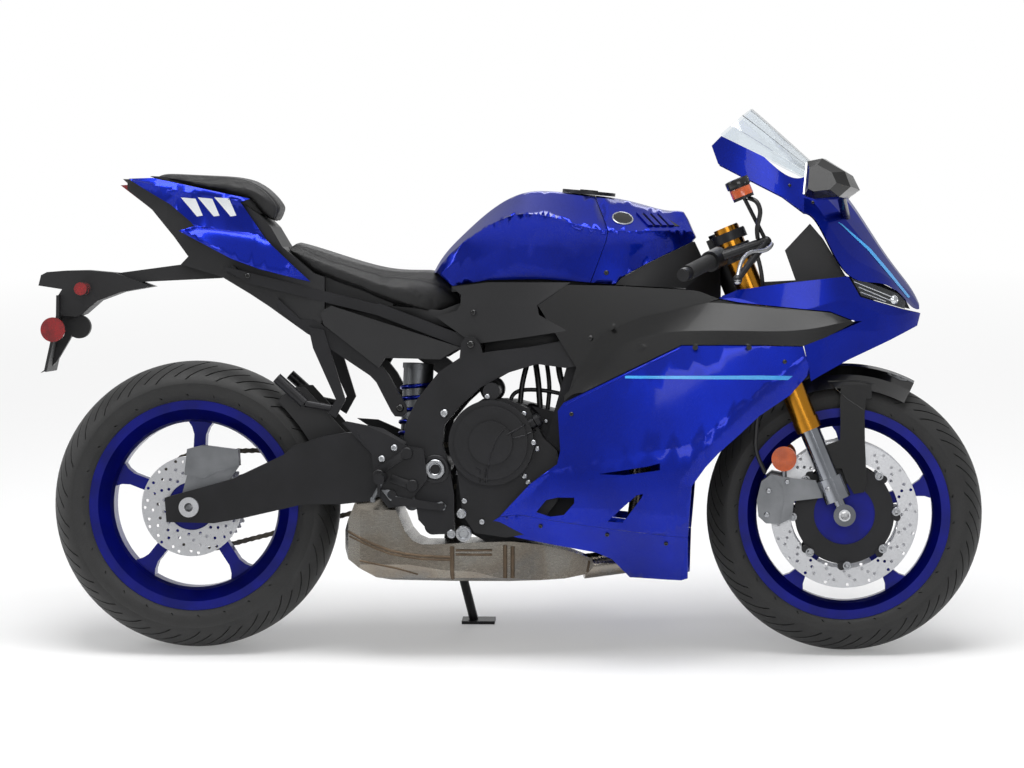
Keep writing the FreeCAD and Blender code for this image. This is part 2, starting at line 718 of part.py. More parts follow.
# Front brake discs: a floating ring each side, notched around its bobbins
discs = new_body("disc_ring")
ring = body_sketch(discs, "side", "front_disc_plane - front_disc_thick * 0.5")
fill_circle(ring, "0", "0", "front_disc_radius")
fill_circle(ring, "0", "0", "front_disc_inner")
pad_of(discs, ring, "front_disc_thick")
notch = body_sketch(discs, "side", "front_disc_plane - front_disc_thick * 0.5")
fill_circle(notch, "0", "bobbin_circle", "bobbin_radius + seat_gap")
notch_cut = pocket_of(discs, notch, "front_disc_thick", back=True)
polar_of(discs, [notch_cut], "bobbin_count")
disc_pair = both_sides("disc_pair", discs)

# Disc carriers with their bobbins
carriers = new_body("carrier_ring")
plate = body_sketch(carriers, "side", "front_hub_half + seat_gap")
fill_circle(plate, "0", "0", "carrier_radius")
fill_circle(plate, "0", "0", "carrier_inner")
pad_of(carriers, plate, "carrier_thick")
bobbin = body_sketch(carriers, "side", "front_hub_half + seat_gap")
fill_circle(bobbin, "0", "bobbin_circle", "bobbin_radius")
bobbin_pad = pad_of(carriers, bobbin,
                    "front_disc_plane + front_disc_thick - front_hub_half - seat_gap")
bobbins = polar_of(carriers, [bobbin_pad], "bobbin_count")
DISC_TURN = FreeCAD.Placement(FRONT_AXLE, FreeCAD.Rotation(V(0, 1, 0), S.bobbin_turn))
keep(disc_pair, "front_discs", DISC_TURN)
keep(both_sides("carrier_pair", carriers), "disc_carriers", DISC_TURN)

# Rear brake disc
disc_rear = new_body("rear_disc")
ring = body_sketch(disc_rear, "side", "rear_disc_plane - rear_disc_thick * 0.5")
fill_circle(ring, "0", "0", "rear_disc_radius")
fill_circle(ring, "0", "0", "rear_disc_inner")
pad_of(disc_rear, ring, "rear_disc_thick")
keep(disc_rear, "rear_disc", AT_REAR)

# Driven sprocket
sprocket = new_body("rear_sprocket")
face = body_sketch(sprocket, "side", "0 - chain_plane - sprocket_thick * 0.5")
root_radius = "rear_pitch_radius - link_half_height - tooth_clear - tooth_depth"
fill_circle(face, "0", "0", root_radius)
fill_circle(face, "0", "0", "rear_sprocket_inner")
pad_of(sprocket, face, "sprocket_thick")
tooth = body_sketch(sprocket, "side", "0 - chain_plane - sprocket_thick * 0.5")
tooth_half = "chain_pitch * 0.36"
fill_outline(tooth, [
    (tooth_half, root_radius + " - tooth_depth"), (tooth_half, root_radius),
    ("chain_pitch * 0.1", root_radius + " + tooth_depth"),
    ("0 - chain_pitch * 0.1", root_radius + " + tooth_depth"),
    ("0 - " + tooth_half, root_radius), ("0 - " + tooth_half, root_radius + " - tooth_depth")])
tooth_pad = pad_of(sprocket, tooth, "sprocket_thick")
polar_of(sprocket, [tooth_pad], "rear_teeth")
keep(sprocket, "rear_sprocket", AT_REAR)


def chain_path():
    """The pitch line: around the driven sprocket and the drive sprocket."""
    big = V(0, 0, S.rear_tyre_radius)
    small = V(S.drive_x, 0, S.drive_z)
    gap = small - big
    heading = math.atan2(gap.z, gap.x)
    spread = math.acos((S.rear_pitch_radius - S.drive_pitch_radius) / gap.Length)
    up = heading + spread
    down = heading - spread

    def at(centre, radius, angle):
        return centre + V(math.cos(angle), 0, math.sin(angle)) * radius
    run = math.sqrt(gap.Length ** 2 - (S.rear_pitch_radius - S.drive_pitch_radius) ** 2)
    legs = [
        ("line", at(big, S.rear_pitch_radius, up), at(small, S.drive_pitch_radius, up), run),
        ("arc", small, S.drive_pitch_radius, up, down, S.drive_pitch_radius * (up - down)),
        ("line", at(small, S.drive_pitch_radius, down), at(big, S.rear_pitch_radius, down), run),
        ("arc", big, S.rear_pitch_radius, down, up - 2 * math.pi,
         S.rear_pitch_radius * (down - up + 2 * math.pi)),
    ]
    return legs


def chain_point(legs, distance):
    """A point on the pitch line and the outward direction there."""
    for leg in legs:
        if distance <= leg[-1]:
            break
        distance -= leg[-1]
    share = min(1.0, max(0.0, distance / leg[-1]))
    if leg[0] == "line":
        along = leg[2] - leg[1]
        spot = leg[1] + along * share
        along.normalize()
        return spot, V(-along.z, 0, along.x)
    angle = leg[3] + (leg[4] - leg[3]) * share
    out = V(math.cos(angle), 0, math.sin(angle))
    return leg[1] + out * leg[2], out


# Drive chain: one fixed loop with its links in the outline
legs = chain_path()
loop_length = sum(leg[-1] for leg in legs)
links = int(round(loop_length / S.chain_pitch))
outer_line = []
inner_line = []
for i in range(links * 2):
    spot, out = chain_point(legs, loop_length * i / (links * 2))
    half = S.link_half_height if i % 2 == 0 else S.link_waist_half
    outer_line.append(spot + out * half)
    inner_line.append(spot - out * half)
outer_face = Part.Face(Part.makePolygon(outer_line + outer_line[:1]))
inner_face = Part.Face(Part.makePolygon(inner_line + inner_line[:1]))
band = outer_face.cut(inner_face)
band.translate(V(0, S.chain_plane - S.chain_half_width, 0))
chain = band.extrude(V(0, 2 * S.chain_half_width, 0)).Solids[0]
keep(solid_feature("drive_chain", chain), "drive_chain")

# Drive sprocket on the output shaft
drive = new_body("drive_sprocket")
shaft = body_sketch(drive, "side", "0 - engine_half - seat_gap")
fill_circle(shaft, "0", "0", "rear_axle_radius")
pad_of(drive, shaft, "chain_plane + sprocket_thick - engine_half - seat_gap", back=True)
teeth = body_sketch(drive, "side", "0 - chain_plane + sprocket_thick * 0.5")
fill_circle(teeth, "0", "0", "drive_pitch_radius - link_half_height - tooth_clear")
pad_of(drive, teeth, "sprocket_thick", back=True)
keep(drive, "drive_sprocket", FreeCAD.Placement(V(S.drive_x, 0, S.drive_z), FreeCAD.Rotation()))

# Swingarm: an arm each side, a cross member, a neck and the pivot tube
ARM_SHARES = [
    (0.012, 0.279), (0.190, 0.395), (0.306, 0.470), (0.530, 0.716), (0.574, 0.805),
    (0.700, 0.902), (0.810, 0.944), (0.920, 0.907), (0.970, 0.767), (0.970, 0.349),
    (0.920, 0.256), (0.780, 0.219), (0.620, 0.219), (0.352, 0.074), (0.226, 0.023),
    (0.020, 0.033),
]
arms = new_body("swingarm_arms")
arm_points = from_shares(ARM_SHARES, "arm_x", "arm_length", "arm_z", "arm_height")
right_arm = body_sketch(arms, "side", "arm_right_y")
fill_outline(right_arm, arm_points)
pad_of(arms, right_arm, "arm_thick")
left_arm = body_sketch(arms, "side", "0 - arm_left_y - arm_thick")
fill_outline(left_arm, arm_points)
pad_of(arms, left_arm, "arm_thick")
cross = body_sketch(arms, "side", "0 - arm_left_y - arm_thick * 0.5")
cross_high = "arm_cross_z + arm_cross_high"
fill_outline(cross, [
    ("arm_cross_x", "arm_cross_z"), ("arm_cross_x + arm_cross_long", "arm_cross_z"),
    ("arm_cross_x + arm_cross_long", cross_high), ("arm_cross_x", cross_high)])
pad_of(arms, cross, "arm_left_y + arm_right_y + arm_thick")
neck = body_sketch(arms, "side")
fill_outline(neck, [
    ("arm_cross_x + arm_cross_long * 0.5", "arm_cross_z"), ("pivot_x", "pivot_z - pivot_radius"),
    ("pivot_x", "pivot_z + pivot_radius"), ("arm_cross_x + arm_cross_long * 0.5", cross_high)])
pad_of(arms, neck, "arm_neck_half * 2", both=True)
window = body_sketch(arms, "plan")
fill_outline(window, [
    ("arm_cross_x + arm_cross_long * 1.1", "shock_window_half"),
    ("arm_cross_x + arm_cross_long * 1.1", "0 - shock_window_half"),
    ("pivot_x - pivot_radius * 1.1", "0 - shock_window_half"),
    ("pivot_x - pivot_radius * 1.1", "shock_window_half")])
pocket_of(arms, window, "(pivot_z + overrun) * 2", both=True)
tube = body_sketch(arms, "side")
fill_circle(tube, "pivot_x", "pivot_z", "pivot_radius")
pad_of(arms, tube, "(spar_inner_y - seat_gap) * 2", both=True)
bores = body_sketch(arms, "side")
fill_circle(bores, "0", "rear_tyre_radius", "rear_axle_radius + run_clear")
pocket_of(arms, bores, "(arm_left_y + arm_thick + overrun) * 2", both=True)
pin_bore = body_sketch(arms, "side")
fill_circle(pin_bore, "pivot_x", "pivot_z", "pivot_pin_radius + run_clear")
pocket_of(arms, pin_bore, "(spar_inner_y + overrun) * 2", both=True)
keep(arms, "swingarm")

# Swingarm pivot pin with its socket at both ends
pin = new_body("pivot_pin")
pin_round = body_sketch(pin, "side")
fill_circle(pin_round, "pivot_x", "pivot_z", "pivot_pin_radius")
fill_circle(pin_round, "pivot_x", "pivot_z", "pivot_pin_bore")
pad_of(pin, pin_round, "(spar_inner_y + spar_thick + seat_gap * 4) * 2", both=True)
keep(pin, "pivot_pin")

# Rear axle, hollow, with collars that set the wheel between the arms
axle = new_body("rear_axle")
rod_face = body_sketch(axle, "side")
fill_circle(rod_face, "0", "0", "rear_axle_radius")
fill_circle(rod_face, "0", "0", "rear_axle_bore")
pad_of(axle, rod_face, "rear_axle_half * 2", both=True)
nut = body_sketch(axle, "side", "arm_right_y + arm_thick + seat_gap")
fill_circle(nut, "0", "0", "rear_axle_radius * 1.55")
fill_circle(nut, "0", "0", "rear_axle_bore")
pad_of(axle, nut, "rear_axle_half - arm_right_y - arm_thick - seat_gap * 4")
collar = body_sketch(axle, "side", "rear_disc_plane - rear_disc_thick * 0.5")
fill_circle(collar, "0", "0", "rear_axle_radius * 1.4")
fill_circle(collar, "0", "0", "rear_axle_bore")
pad_of(axle, collar, "arm_right_y - rear_disc_plane + rear_disc_thick * 0.5 - seat_gap")
collar_left = body_sketch(axle, "side", "0 - chain_plane + sprocket_thick * 0.5")
fill_circle(collar_left, "0", "0", "rear_axle_radius * 1.4")
fill_circle(collar_left, "0", "0", "rear_axle_bore")
pad_of(axle, collar_left, "arm_left_y - chain_plane + sprocket_thick * 0.5 - seat_gap", back=True)
keep(axle, "rear_axle", AT_REAR)

# Main frame: a side plate outline each side, closing in to the steering head
REAR_SHARES = [
    (0.009, 0.348), (0.019, 0.425), (0.051, 0.503), (0.114, 0.600), (0.174, 0.650),
    (0.178, 0.703), (0.193, 0.727), (0.219, 0.723), (0.235, 0.697), (0.241, 0.668),
    (0.265, 0.673), (0.380, 0.690), (0.500, 0.717), (0.489, 0.613), (0.400, 0.628),
    (0.307, 0.593), (0.234, 0.542), (0.177, 0.478), (0.130, 0.408), (0.124, 0.337),
    (0.145, 0.252), (0.158, 0.155), (0.158, 0.015), (0.093, 0.012), (0.053, 0.065),
    (0.041, 0.155), (0.032, 0.283),
]
frame_plates = plates("frame_plates", from_shares(
    REAR_SHARES, "frame_x", "frame_length", "frame_z", "frame_height"), "spar_inner_y", "spar_thick")
pin_hole = body_sketch(frame_plates, "side")
fill_circle(pin_hole, "pivot_x", "pivot_z", "pivot_pin_radius + run_clear")
pocket_of(frame_plates, pin_hole, "(spar_inner_y + spar_thick + overrun) * 2", both=True)
DOC.recompute()


FRAME_CROSS_SHARES = [(0.095, 0.042), (0.165, 0.565), (0.36, 0.655)]
SHOCK_LUG_SHARES = [
    (0.154, 0.537), (0.189, 0.580), (0.062, 0.703), (0.024, 0.687), (0.027, 0.650),
]


def frame_front():
    """Two tapering boxes from the side plates to the head tube, with cross tubes."""
    head_low = on_steering(S.lower_clamp_z + S.lower_clamp_thick * 0.5 + S.head_gap)
    head_high = on_steering(S.upper_clamp_z - S.upper_clamp_thick * 0.5 - S.head_gap)
    x0 = S.spar_front_x
    low0, high0 = S.frame_z + S.frame_height * 0.614, S.frame_z + S.frame_height * 0.716
    outer = S.spar_inner_y + S.spar_thick
    waist = (x0 + head_low.x) * 0.5
    spars = []
    for side in (1, -1):
        wires = []
        for x, inner_y, outer_y, low, high in (
                (x0 - S.spar_thick * 0.4, S.spar_inner_y, outer, low0, high0),
                (waist, S.spar_inner_y * 0.86, outer * 0.9, low0 + S.spar_thick * 1.2,
                 high0 + S.spar_thick * 2.6),
                (head_high.x, S.head_half * 0.3, S.head_half * 1.35,
                 head_low.z + S.spar_thick * 0.4, head_high.z - S.spar_thick * 0.6)):
            ring_points = [V(x, side * inner_y, low), V(x, side * outer_y, low),
                           V(x, side * outer_y, high), V(x, side * inner_y, high)]
            wires.append(Part.makePolygon(ring_points + ring_points[:1]))
        spars.append(Part.makeLoft(wires, True, True))
    head = Part.makeCylinder(S.head_tube_radius, (head_high - head_low).Length, head_low,
                             head_high - head_low)
    shape = frame_plates.Shape.fuse(spars + [head])
    for share_x, share_z in FRAME_CROSS_SHARES:
        spot = V(S.frame_x + S.frame_length * share_x, -outer + S.spar_thick * 0.5,
                 S.frame_z + S.frame_height * share_z)
        shape = shape.fuse(Part.makeCylinder(
            S.frame_cross_radius, 2 * outer - S.spar_thick, spot, V(0, 1, 0)))
    lug = [(S.frame_x + S.frame_length * a, S.frame_z + S.frame_height * b)
           for a, b in SHOCK_LUG_SHARES]
    shape = shape.fuse(prism(lug, -S.rail_cross_radius, S.rail_cross_radius))
    bore = Part.makeCylinder(S.stem_radius + S.run_clear, (head_high - head_low).Length * 2,
                             head_low - (head_high - head_low) * 0.5, head_high - head_low)
    return shape.cut(bore).removeSplitter()


frame = solid_feature("frame", frame_front())
keep(frame, "frame")


# Rear subframe: an upper and a lower rail each side with cross tubes
UPPER_RAIL_SHARES = [
    (0.604, 0.753), (0.619, 0.756), (0.958, 0.541), (0.986, 0.529), (1.000, 0.494),
    (0.986, 0.453), (0.958, 0.441), (0.930, 0.476), (0.607, 0.682), (0.123, 0.882),
    (0.018, 0.976), (0.018, 0.994),
]
LOWER_RAIL_SHARES = [
    (0.316, 0.653), (0.368, 0.653), (0.618, 0.374), (0.653, 0.300), (0.719, 0.100),
    (0.721, 0.059), (0.702, 0.032), (0.677, 0.035), (0.663, 0.065), (0.605, 0.253),
    (0.582, 0.294), (0.325, 0.582), (0.228, 0.729), (0.228, 0.788),
]
rails = new_body("rails")
rail_upper = body_sketch(rails, "side", "subframe_inner_y")
fill_outline(rail_upper, from_shares(UPPER_RAIL_SHARES, "rail_x", "rail_length", "rail_z", "rail_height"))
upper_pad = pad_of(rails, rail_upper, "rail_thick")
rail_lower = body_sketch(rails, "side", "subframe_inner_y")
fill_outline(rail_lower, from_shares(LOWER_RAIL_SHARES, "rail_x", "rail_length", "rail_z", "rail_height"))
lower_pad = pad_of(rails, rail_lower, "rail_thick")
mirror_of(rails, [upper_pad, lower_pad])
for share_x, share_z in ((0.05, 0.965), (0.28, 0.77), (0.615, 0.72), (0.5, 0.44)):
    cross_tube = body_sketch(rails, "side")
    fill_circle(cross_tube, "rail_x + rail_length * %s" % share_x,
                "rail_z + rail_height * %s" % share_z, "rail_cross_radius")
    pad_of(rails, cross_tube, "(subframe_inner_y + rail_thick * 0.5) * 2", both=True)
keep(rails, "subframe")

# Engine: crankcase with the cylinder block leaning forward, one closed solid
CASE_SHARES = [
    (0.008, 0.136), (0.068, 0.055), (0.176, 0.009), (0.662, 0.009), (0.776, 0.055),
    (0.824, 0.136), (0.824, 0.391), (0.743, 0.498), (0.608, 0.604), (0.338, 0.657),
    (0.176, 0.657), (0.041, 0.604), (0.008, 0.477),
]
BLOCK_SHARES = [
    (0.532, 0.460), (0.824, 0.349), (0.878, 0.498), (0.973, 0.689), (0.997, 0.860),
    (0.973, 0.966), (0.776, 0.996), (0.695, 0.966), (0.673, 0.860),
]
engine = new_body("engine_block")
case_sketch = body_sketch(engine, "side")
fill_outline(case_sketch, from_shares(CASE_SHARES, "engine_x", "engine_length", "engine_z", "engine_height"))
pad_of(engine, case_sketch, "engine_half * 2", both=True)
block_sketch = body_sketch(engine, "side")
fill_outline(block_sketch, from_shares(
    BLOCK_SHARES, "engine_x", "engine_length", "engine_z", "engine_height"))
pad_of(engine, block_sketch, "cylinder_half * 2", both=True)
engine_fit = fitted("engine_fit", engine, [frame])
keep(engine_fit, "engine")

# Clutch cover on the right, generator and sprocket covers on the left
CASE_SKIRT_SHARES = [
    (0.057, 0.136), (0.127, 0.055), (0.311, 0.034), (0.468, 0.055), (0.608, 0.200),
    (0.641, 0.302), (0.608, 0.434), (0.527, 0.494), (0.446, 0.626), (0.311, 0.672),
    (0.176, 0.672), (0.041, 0.604), (-0.008, 0.477), (0.030, 0.306),
]
clutch = new_body("clutch")
skirt = body_sketch(clutch, "side", "engine_half + seat_gap")
fill_outline(skirt, from_shares(
    CASE_SKIRT_SHARES, "engine_x", "engine_length", "engine_z", "engine_height"))
pad_of(clutch, skirt, "cover_base_y - engine_half - seat_gap")
dome = body_sketch(clutch, "side", "cover_base_y - hub_flange_thick")
fill_circle(dome, "clutch_x", "clutch_z", "clutch_radius")
pad_of(clutch, dome, "clutch_face_y - cover_base_y + hub_flange_thick - skin_thick * 2")
dome_top = body_sketch(clutch, "side", "cover_base_y - hub_flange_thick")
fill_circle(dome_top, "clutch_x", "clutch_z", "clutch_radius * 0.86")
pad_of(clutch, dome_top, "clutch_face_y - cover_base_y + hub_flange_thick")
cap_top = body_sketch(clutch, "side", "cover_base_y - hub_flange_thick")
fill_circle(cap_top, "clutch_x", "clutch_z", "clutch_cap_radius")
pad_of(clutch, cap_top, "clutch_cap_y - cover_base_y + hub_flange_thick")
filler = body_sketch(clutch, "side", "engine_half + seat_gap")
fill_circle(filler, "clutch_x", "clutch_z + clutch_radius * 1.2", "clutch_radius * 0.2")
pad_of(clutch, filler, "clutch_face_y - engine_half - overrun")
clutch_fit = fitted("clutch_fit", clutch, [engine_fit])

generator = new_body("generator")
round_base = body_sketch(generator, "side", "0 - generator_face_y + overrun")
fill_circle(round_base, "generator_x", "generator_z", "generator_radius")
pad_of(generator, round_base, "generator_face_y - engine_half - overrun - seat_gap", back=True)
round_top = body_sketch(generator, "side", "0 - generator_face_y")
fill_circle(round_top, "generator_x", "generator_z", "generator_radius * 0.86")
pad_of(generator, round_top, "generator_face_y - engine_half - seat_gap", back=True)

# Sprocket cover over the drive sprocket
COVER_LEFT_SHARES = [
    (0.019, 0.200), (0.122, 0.174), (0.176, 0.200), (0.143, 0.289), (0.132, 0.413),
    (0.176, 0.498), (0.068, 0.506), (0.019, 0.477),
]
sprocket_cover = new_body("sprocket_guard")
guard_sketch = body_sketch(sprocket_cover, "side", "0 - chain_plane - chain_half_width - hub_flange_thick")
fill_outline(guard_sketch, from_shares(
    COVER_LEFT_SHARES, "engine_x", "engine_length", "engine_z", "engine_height"))
pad_of(sprocket_cover, guard_sketch, "hub_flange_thick - seat_gap * 4", back=False)
DOC.recompute()
guard_inner = S.chain_plane + S.chain_half_width + S.hub_flange_thick * 0.2
GUARD_BOSS_SHARES = [(0.057, 0.489), (0.149, 0.191)]
guard = sprocket_cover.Shape
for share_x, share_z in GUARD_BOSS_SHARES:
    boss_x = S.engine_x + S.engine_length * share_x
    boss_z = S.engine_z + S.engine_height * share_z
    guard = guard.fuse(rod("boss", (boss_x, S.engine_half + S.seat_gap, boss_z),
                           (boss_x, guard_inner, boss_z), S.hub_flange_thick * 0.6))
keep(solid_feature("covers_left", Part.makeCompound([generator.Shape, guard])), "left_covers")

# Radiator ahead of the engine
RADIATOR_SHARES = [
    (0.021, 0.018), (0.264, 0.000), (0.979, 0.982), (0.736, 1.000),
]
radiator = new_body("radiator_core")
core_sketch = body_sketch(radiator, "side")
fill_outline(core_sketch, from_shares(
    RADIATOR_SHARES, "radiator_x", "radiator_length", "radiator_z", "radiator_height"))
pad_of(radiator, core_sketch, "radiator_half * 2", both=True)

# Shock absorber with its coil spring's envelope
shock_low = V(S.shock_low_x, 0, S.shock_low_z)
shock_top = V(S.shock_top_x, 0, S.shock_top_z)
shock_line = shock_top - shock_low
eye_wide = S.rail_cross_radius * 2
damper = Part.makeCylinder(S.shock_radius, shock_line.Length * 0.82,
                           shock_low + shock_line * 0.1, shock_line)
for spot in (shock_low,):
    damper = damper.fuse(Part.makeCylinder(
        S.shock_radius * 0.8, eye_wide, spot - V(0, eye_wide / 2, 0), V(0, 1, 0)))
    damper = damper.fuse(Part.makeCylinder(S.shock_radius * 0.5, shock_line.Length * 0.2, spot, shock_line))
damper = damper.fuse(Part.makeCylinder(
    S.spring_radius * 1.06, S.spring_wire, shock_low + shock_line * 0.4, shock_line))
damper = damper.fuse(Part.makeCylinder(
    S.spring_radius * 1.06, S.spring_wire, shock_low + shock_line * 0.885, shock_line))
damper = damper.removeSplitter()
coil_from = shock_low + shock_line * 0.4
coil_from = coil_from + shock_line * ((S.spring_wire + S.seat_gap) / shock_line.Length)
coil_long = shock_line.Length * 0.485 - S.spring_wire - 2 * S.seat_gap
coil = Part.makeCylinder(S.spring_radius, coil_long, coil_from, shock_line)
coil = coil.cut(Part.makeCylinder(S.shock_radius + S.seat_gap, coil_long, coil_from, shock_line))
shock = Part.makeCompound([damper, coil])
keep(fitted("shock_fit", solid_feature("shock", shock), [frame, arms]), "shock_absorber")

# Silencer: its side outline narrowed to its plan and front outlines
SILENCER_SIDE_SHARES = [
    (0.066, 0.987), (0.040, 0.803), (0.005, 0.576), (0.005, 0.366), (0.027, 0.261),
    (0.073, 0.166), (0.139, 0.055), (0.201, 0.018), (0.432, 0.003), (0.661, 0.003),
    (0.881, 0.034), (0.971, 0.082), (0.996, 0.166), (0.989, 0.261), (0.900, 0.350),
    (0.785, 0.429), (0.679, 0.466), (0.529, 0.461), (0.378, 0.439), (0.319, 0.439),
    (0.285, 0.482), (0.257, 0.576), (0.223, 0.803), (0.197, 0.945), (0.164, 0.987),
]
SILENCER_PLAN_SHARES = [
    (0.005, -0.473), (0.027, -0.865), (0.077, -0.986), (0.274, -0.986), (0.529, -0.946),
    (0.712, -0.797), (0.894, -0.595), (0.996, -0.446), (0.996, -0.095), (0.894, 0.054),
    (0.675, 0.270), (0.493, 0.405), (0.274, 0.473), (0.077, 0.446), (0.027, 0.324),
    (0.005, 0.068),
]
SILENCER_FRONT_SHARES = [
    (-1.000, 0.250), (-0.986, 0.829), (-0.905, 0.997), (0.446, 0.997), (0.500, 0.513),
    (0.473, 0.171), (0.338, 0.029), (0.068, 0.000), (-0.608, 0.000), (-0.865, 0.050),
    (-0.966, 0.145),
]
silencer = common_of("silencer_body", [
    extrusion("silencer_a", "side", from_shares(
        SILENCER_SIDE_SHARES, "silencer_x", "silencer_length", "silencer_z", "silencer_height"),
        "silencer_right_y + overrun", "silencer_left_y + overrun"),
    extrusion("silencer_b", "plan", from_shares(
        SILENCER_PLAN_SHARES, "silencer_x", "silencer_length", "0", "silencer_right_y"),
        "silencer_z + silencer_height + overrun"),
    extrusion("silencer_c", "front", from_shares(
        SILENCER_FRONT_SHARES, "0", "silencer_right_y", "silencer_z", "silencer_height"),
        "silencer_x + silencer_length + overrun")])
silencer_fit = fitted("silencer_fit", silencer, [arms, engine_fit])
keep(silencer_fit, "silencer")

# Header pipes: a collector into the silencer and three pipes up to the cylinder block
entry = V(S.silencer_x + S.silencer_length, -S.collector_radius * 1.5,
          S.silencer_z + S.collector_radius * 1.1)
ahead = V(S.radiator_x - S.collector_radius * 1.4, 0, 0)
front_face = V(S.engine_x + S.engine_length * 0.93, 0, S.engine_z + S.engine_height * 0.62)
collector_end = V(entry.x + S.collector_radius * 3, entry.y * 0.5, entry.z + S.collector_radius * 0.5)
pipes = rod("c", entry - V(S.collector_radius, 0, 0), collector_end, S.collector_radius)
for k in (-1, 0, 1):
    spread_y = k * S.pipe_radius * 3.2
    low_x = S.radiator_x - S.pipe_radius * 2.6
    route = [
        collector_end - V(S.collector_radius, 0, 0) + V(0, k * S.pipe_radius * 0.4, 0),
        V(low_x, spread_y * 0.7, collector_end.z + S.pipe_radius * 1.2),
        V(low_x + S.pipe_radius * 1.1, spread_y, front_face.z - S.pipe_radius * 6),
        V(front_face.x, spread_y, front_face.z + S.pipe_radius)]
    pipes = pipes.fuse(pipe([tuple(p) for p in route], S.pipe_radius))
headers = solid_feature("headers", pipes.removeSplitter())
keep(fitted("headers_fit", headers, [engine_fit, silencer_fit]), "header_pipes")


def stations(table, start_x, long, wide, start_z, high):
    """Cross sections from a table of shares: place along the piece, then width and height."""
    result = []
    for share_x, half in table:
        result.append((start_x + long * share_x,
                       [(wide * a, start_z + high * b) for a, b in half]))
    return result


def outline(table, start_x, long, start_z, high):
    return [(start_x + long * a, start_z + high * b) for a, b in table]


# Fuel tank: cross sections from the rear tip to the front cover, trimmed by side outlines
TANK_SHARES = [
    (0.000, [(0.000, 0.123), (0.242, 0.114), (0.376, 0.095), (0.400, 0.068), (0.364, 0.023),
             (0.000, 0.005)]),
    (0.043, [(0.000, 0.341), (0.303, 0.327), (0.509, 0.259), (0.558, 0.168), (0.533, 0.041),
             (0.000, 0.014)]),
    (0.121, [(0.000, 0.568), (0.339, 0.550), (0.679, 0.455), (0.715, 0.295), (0.655, 0.050),
             (0.000, 0.023)]),
    (0.224, [(0.000, 0.805), (0.364, 0.786), (0.848, 0.632), (0.800, 0.377), (0.715, 0.068),
             (0.000, 0.041)]),
    (0.345, [(0.000, 0.968), (0.400, 0.950), (0.970, 0.750), (0.848, 0.432), (0.752, 0.068),
             (0.000, 0.041)]),
    (0.483, [(0.000, 0.977), (0.412, 0.955), (0.994, 0.705), (0.885, 0.405), (0.812, 0.059),
             (0.000, 0.041)]),
    (0.621, [(0.000, 0.941), (0.400, 0.918), (0.970, 0.609), (0.933, 0.341), (0.897, 0.050),
             (0.000, 0.023)]),
    (0.759, [(0.000, 0.877), (0.364, 0.855), (0.909, 0.582), (0.897, 0.395), (0.848, 0.114),
             (0.000, 0.045)]),
    (0.897, [(0.000, 0.791), (0.291, 0.773), (0.679, 0.591), (0.667, 0.477), (0.630, 0.295),
             (0.000, 0.250)]),
    (1.000, [(0.000, 0.668), (0.170, 0.655), (0.376, 0.577), (0.376, 0.545), (0.352, 0.432),
             (0.000, 0.409)]),
]
TANK_SIDE_SHARES = [
    (-0.034, 0.186), (0.029, 0.171), (0.086, 0.043), (0.219, 0.105), (0.426, 0.114),
    (0.547, 0.095), (0.605, 0.082), (0.662, 0.477), (0.672, 0.586), (0.597, 1.045),
    (-0.034, 1.045),
]
TANK_COVER_SHARES = [
    (0.608, 0.082), (0.626, 0.077), (0.697, 0.059), (0.719, 0.134), (0.826, 0.284),
    (0.974, 0.473), (0.993, 0.527), (0.979, 0.605), (0.964, 0.700), (0.938, 0.818),
    (0.897, 1.045), (0.599, 1.045), (0.675, 0.586), (0.664, 0.477),
]
tank_form = loft_across(stations(TANK_SHARES, S.tank_x, S.tank_length, S.tank_half, S.tank_z, S.tank_height))
tank_reach = S.tank_half + S.overrun
tank_trim = prism(outline(TANK_SIDE_SHARES, S.tank_x, S.tank_length, S.tank_z, S.tank_height),
                  -tank_reach, tank_reach)
cover_trim = prism(outline(TANK_COVER_SHARES, S.tank_x, S.tank_length, S.tank_z, S.tank_height),
                   -tank_reach, tank_reach)
CAP_LEAN = FreeCAD.Rotation(V(0, 1, 0), S.cap_tilt)
CAP_SPOT = FreeCAD.Placement(V(S.cap_x, 0, S.cap_seat_z), CAP_LEAN)
recess = Part.makeCylinder(S.cap_radius + S.seat_gap * 2, S.overrun * 2, V(0, 0, 0), V(0, 0, 1))
recess.Placement = CAP_SPOT
recess.translate(CAP_LEAN.multVec(V(0, 0, -S.cap_thick * 0.5)))
tank = tank_form.common(tank_trim).cut(recess)
tank_fit = solid_feature("tank", tank.Solids[0])
keep(tank_fit, "fuel_tank")
keep(solid_feature("cover", tank_form.common(cover_trim).Solids[0]), "tank_cover")

# Hinged lid in its recess
lid = new_body("lid")
lid_sketch = body_sketch(lid, "plan")
fill_circle(lid_sketch, "0", "0", "cap_radius")
pad_of(lid, lid_sketch, "cap_thick")
knob = body_sketch(lid, "plan")
fill_circle(knob, "0", "0", "cap_radius * 0.34")
pad_of(lid, knob, "cap_thick * 1.35")
LID_SPOT = FreeCAD.Placement(V(0, 0, S.seat_gap - S.cap_thick * 0.5), FreeCAD.Rotation())
keep(lid, "fuel_cap", CAP_SPOT.multiply(LID_SPOT))

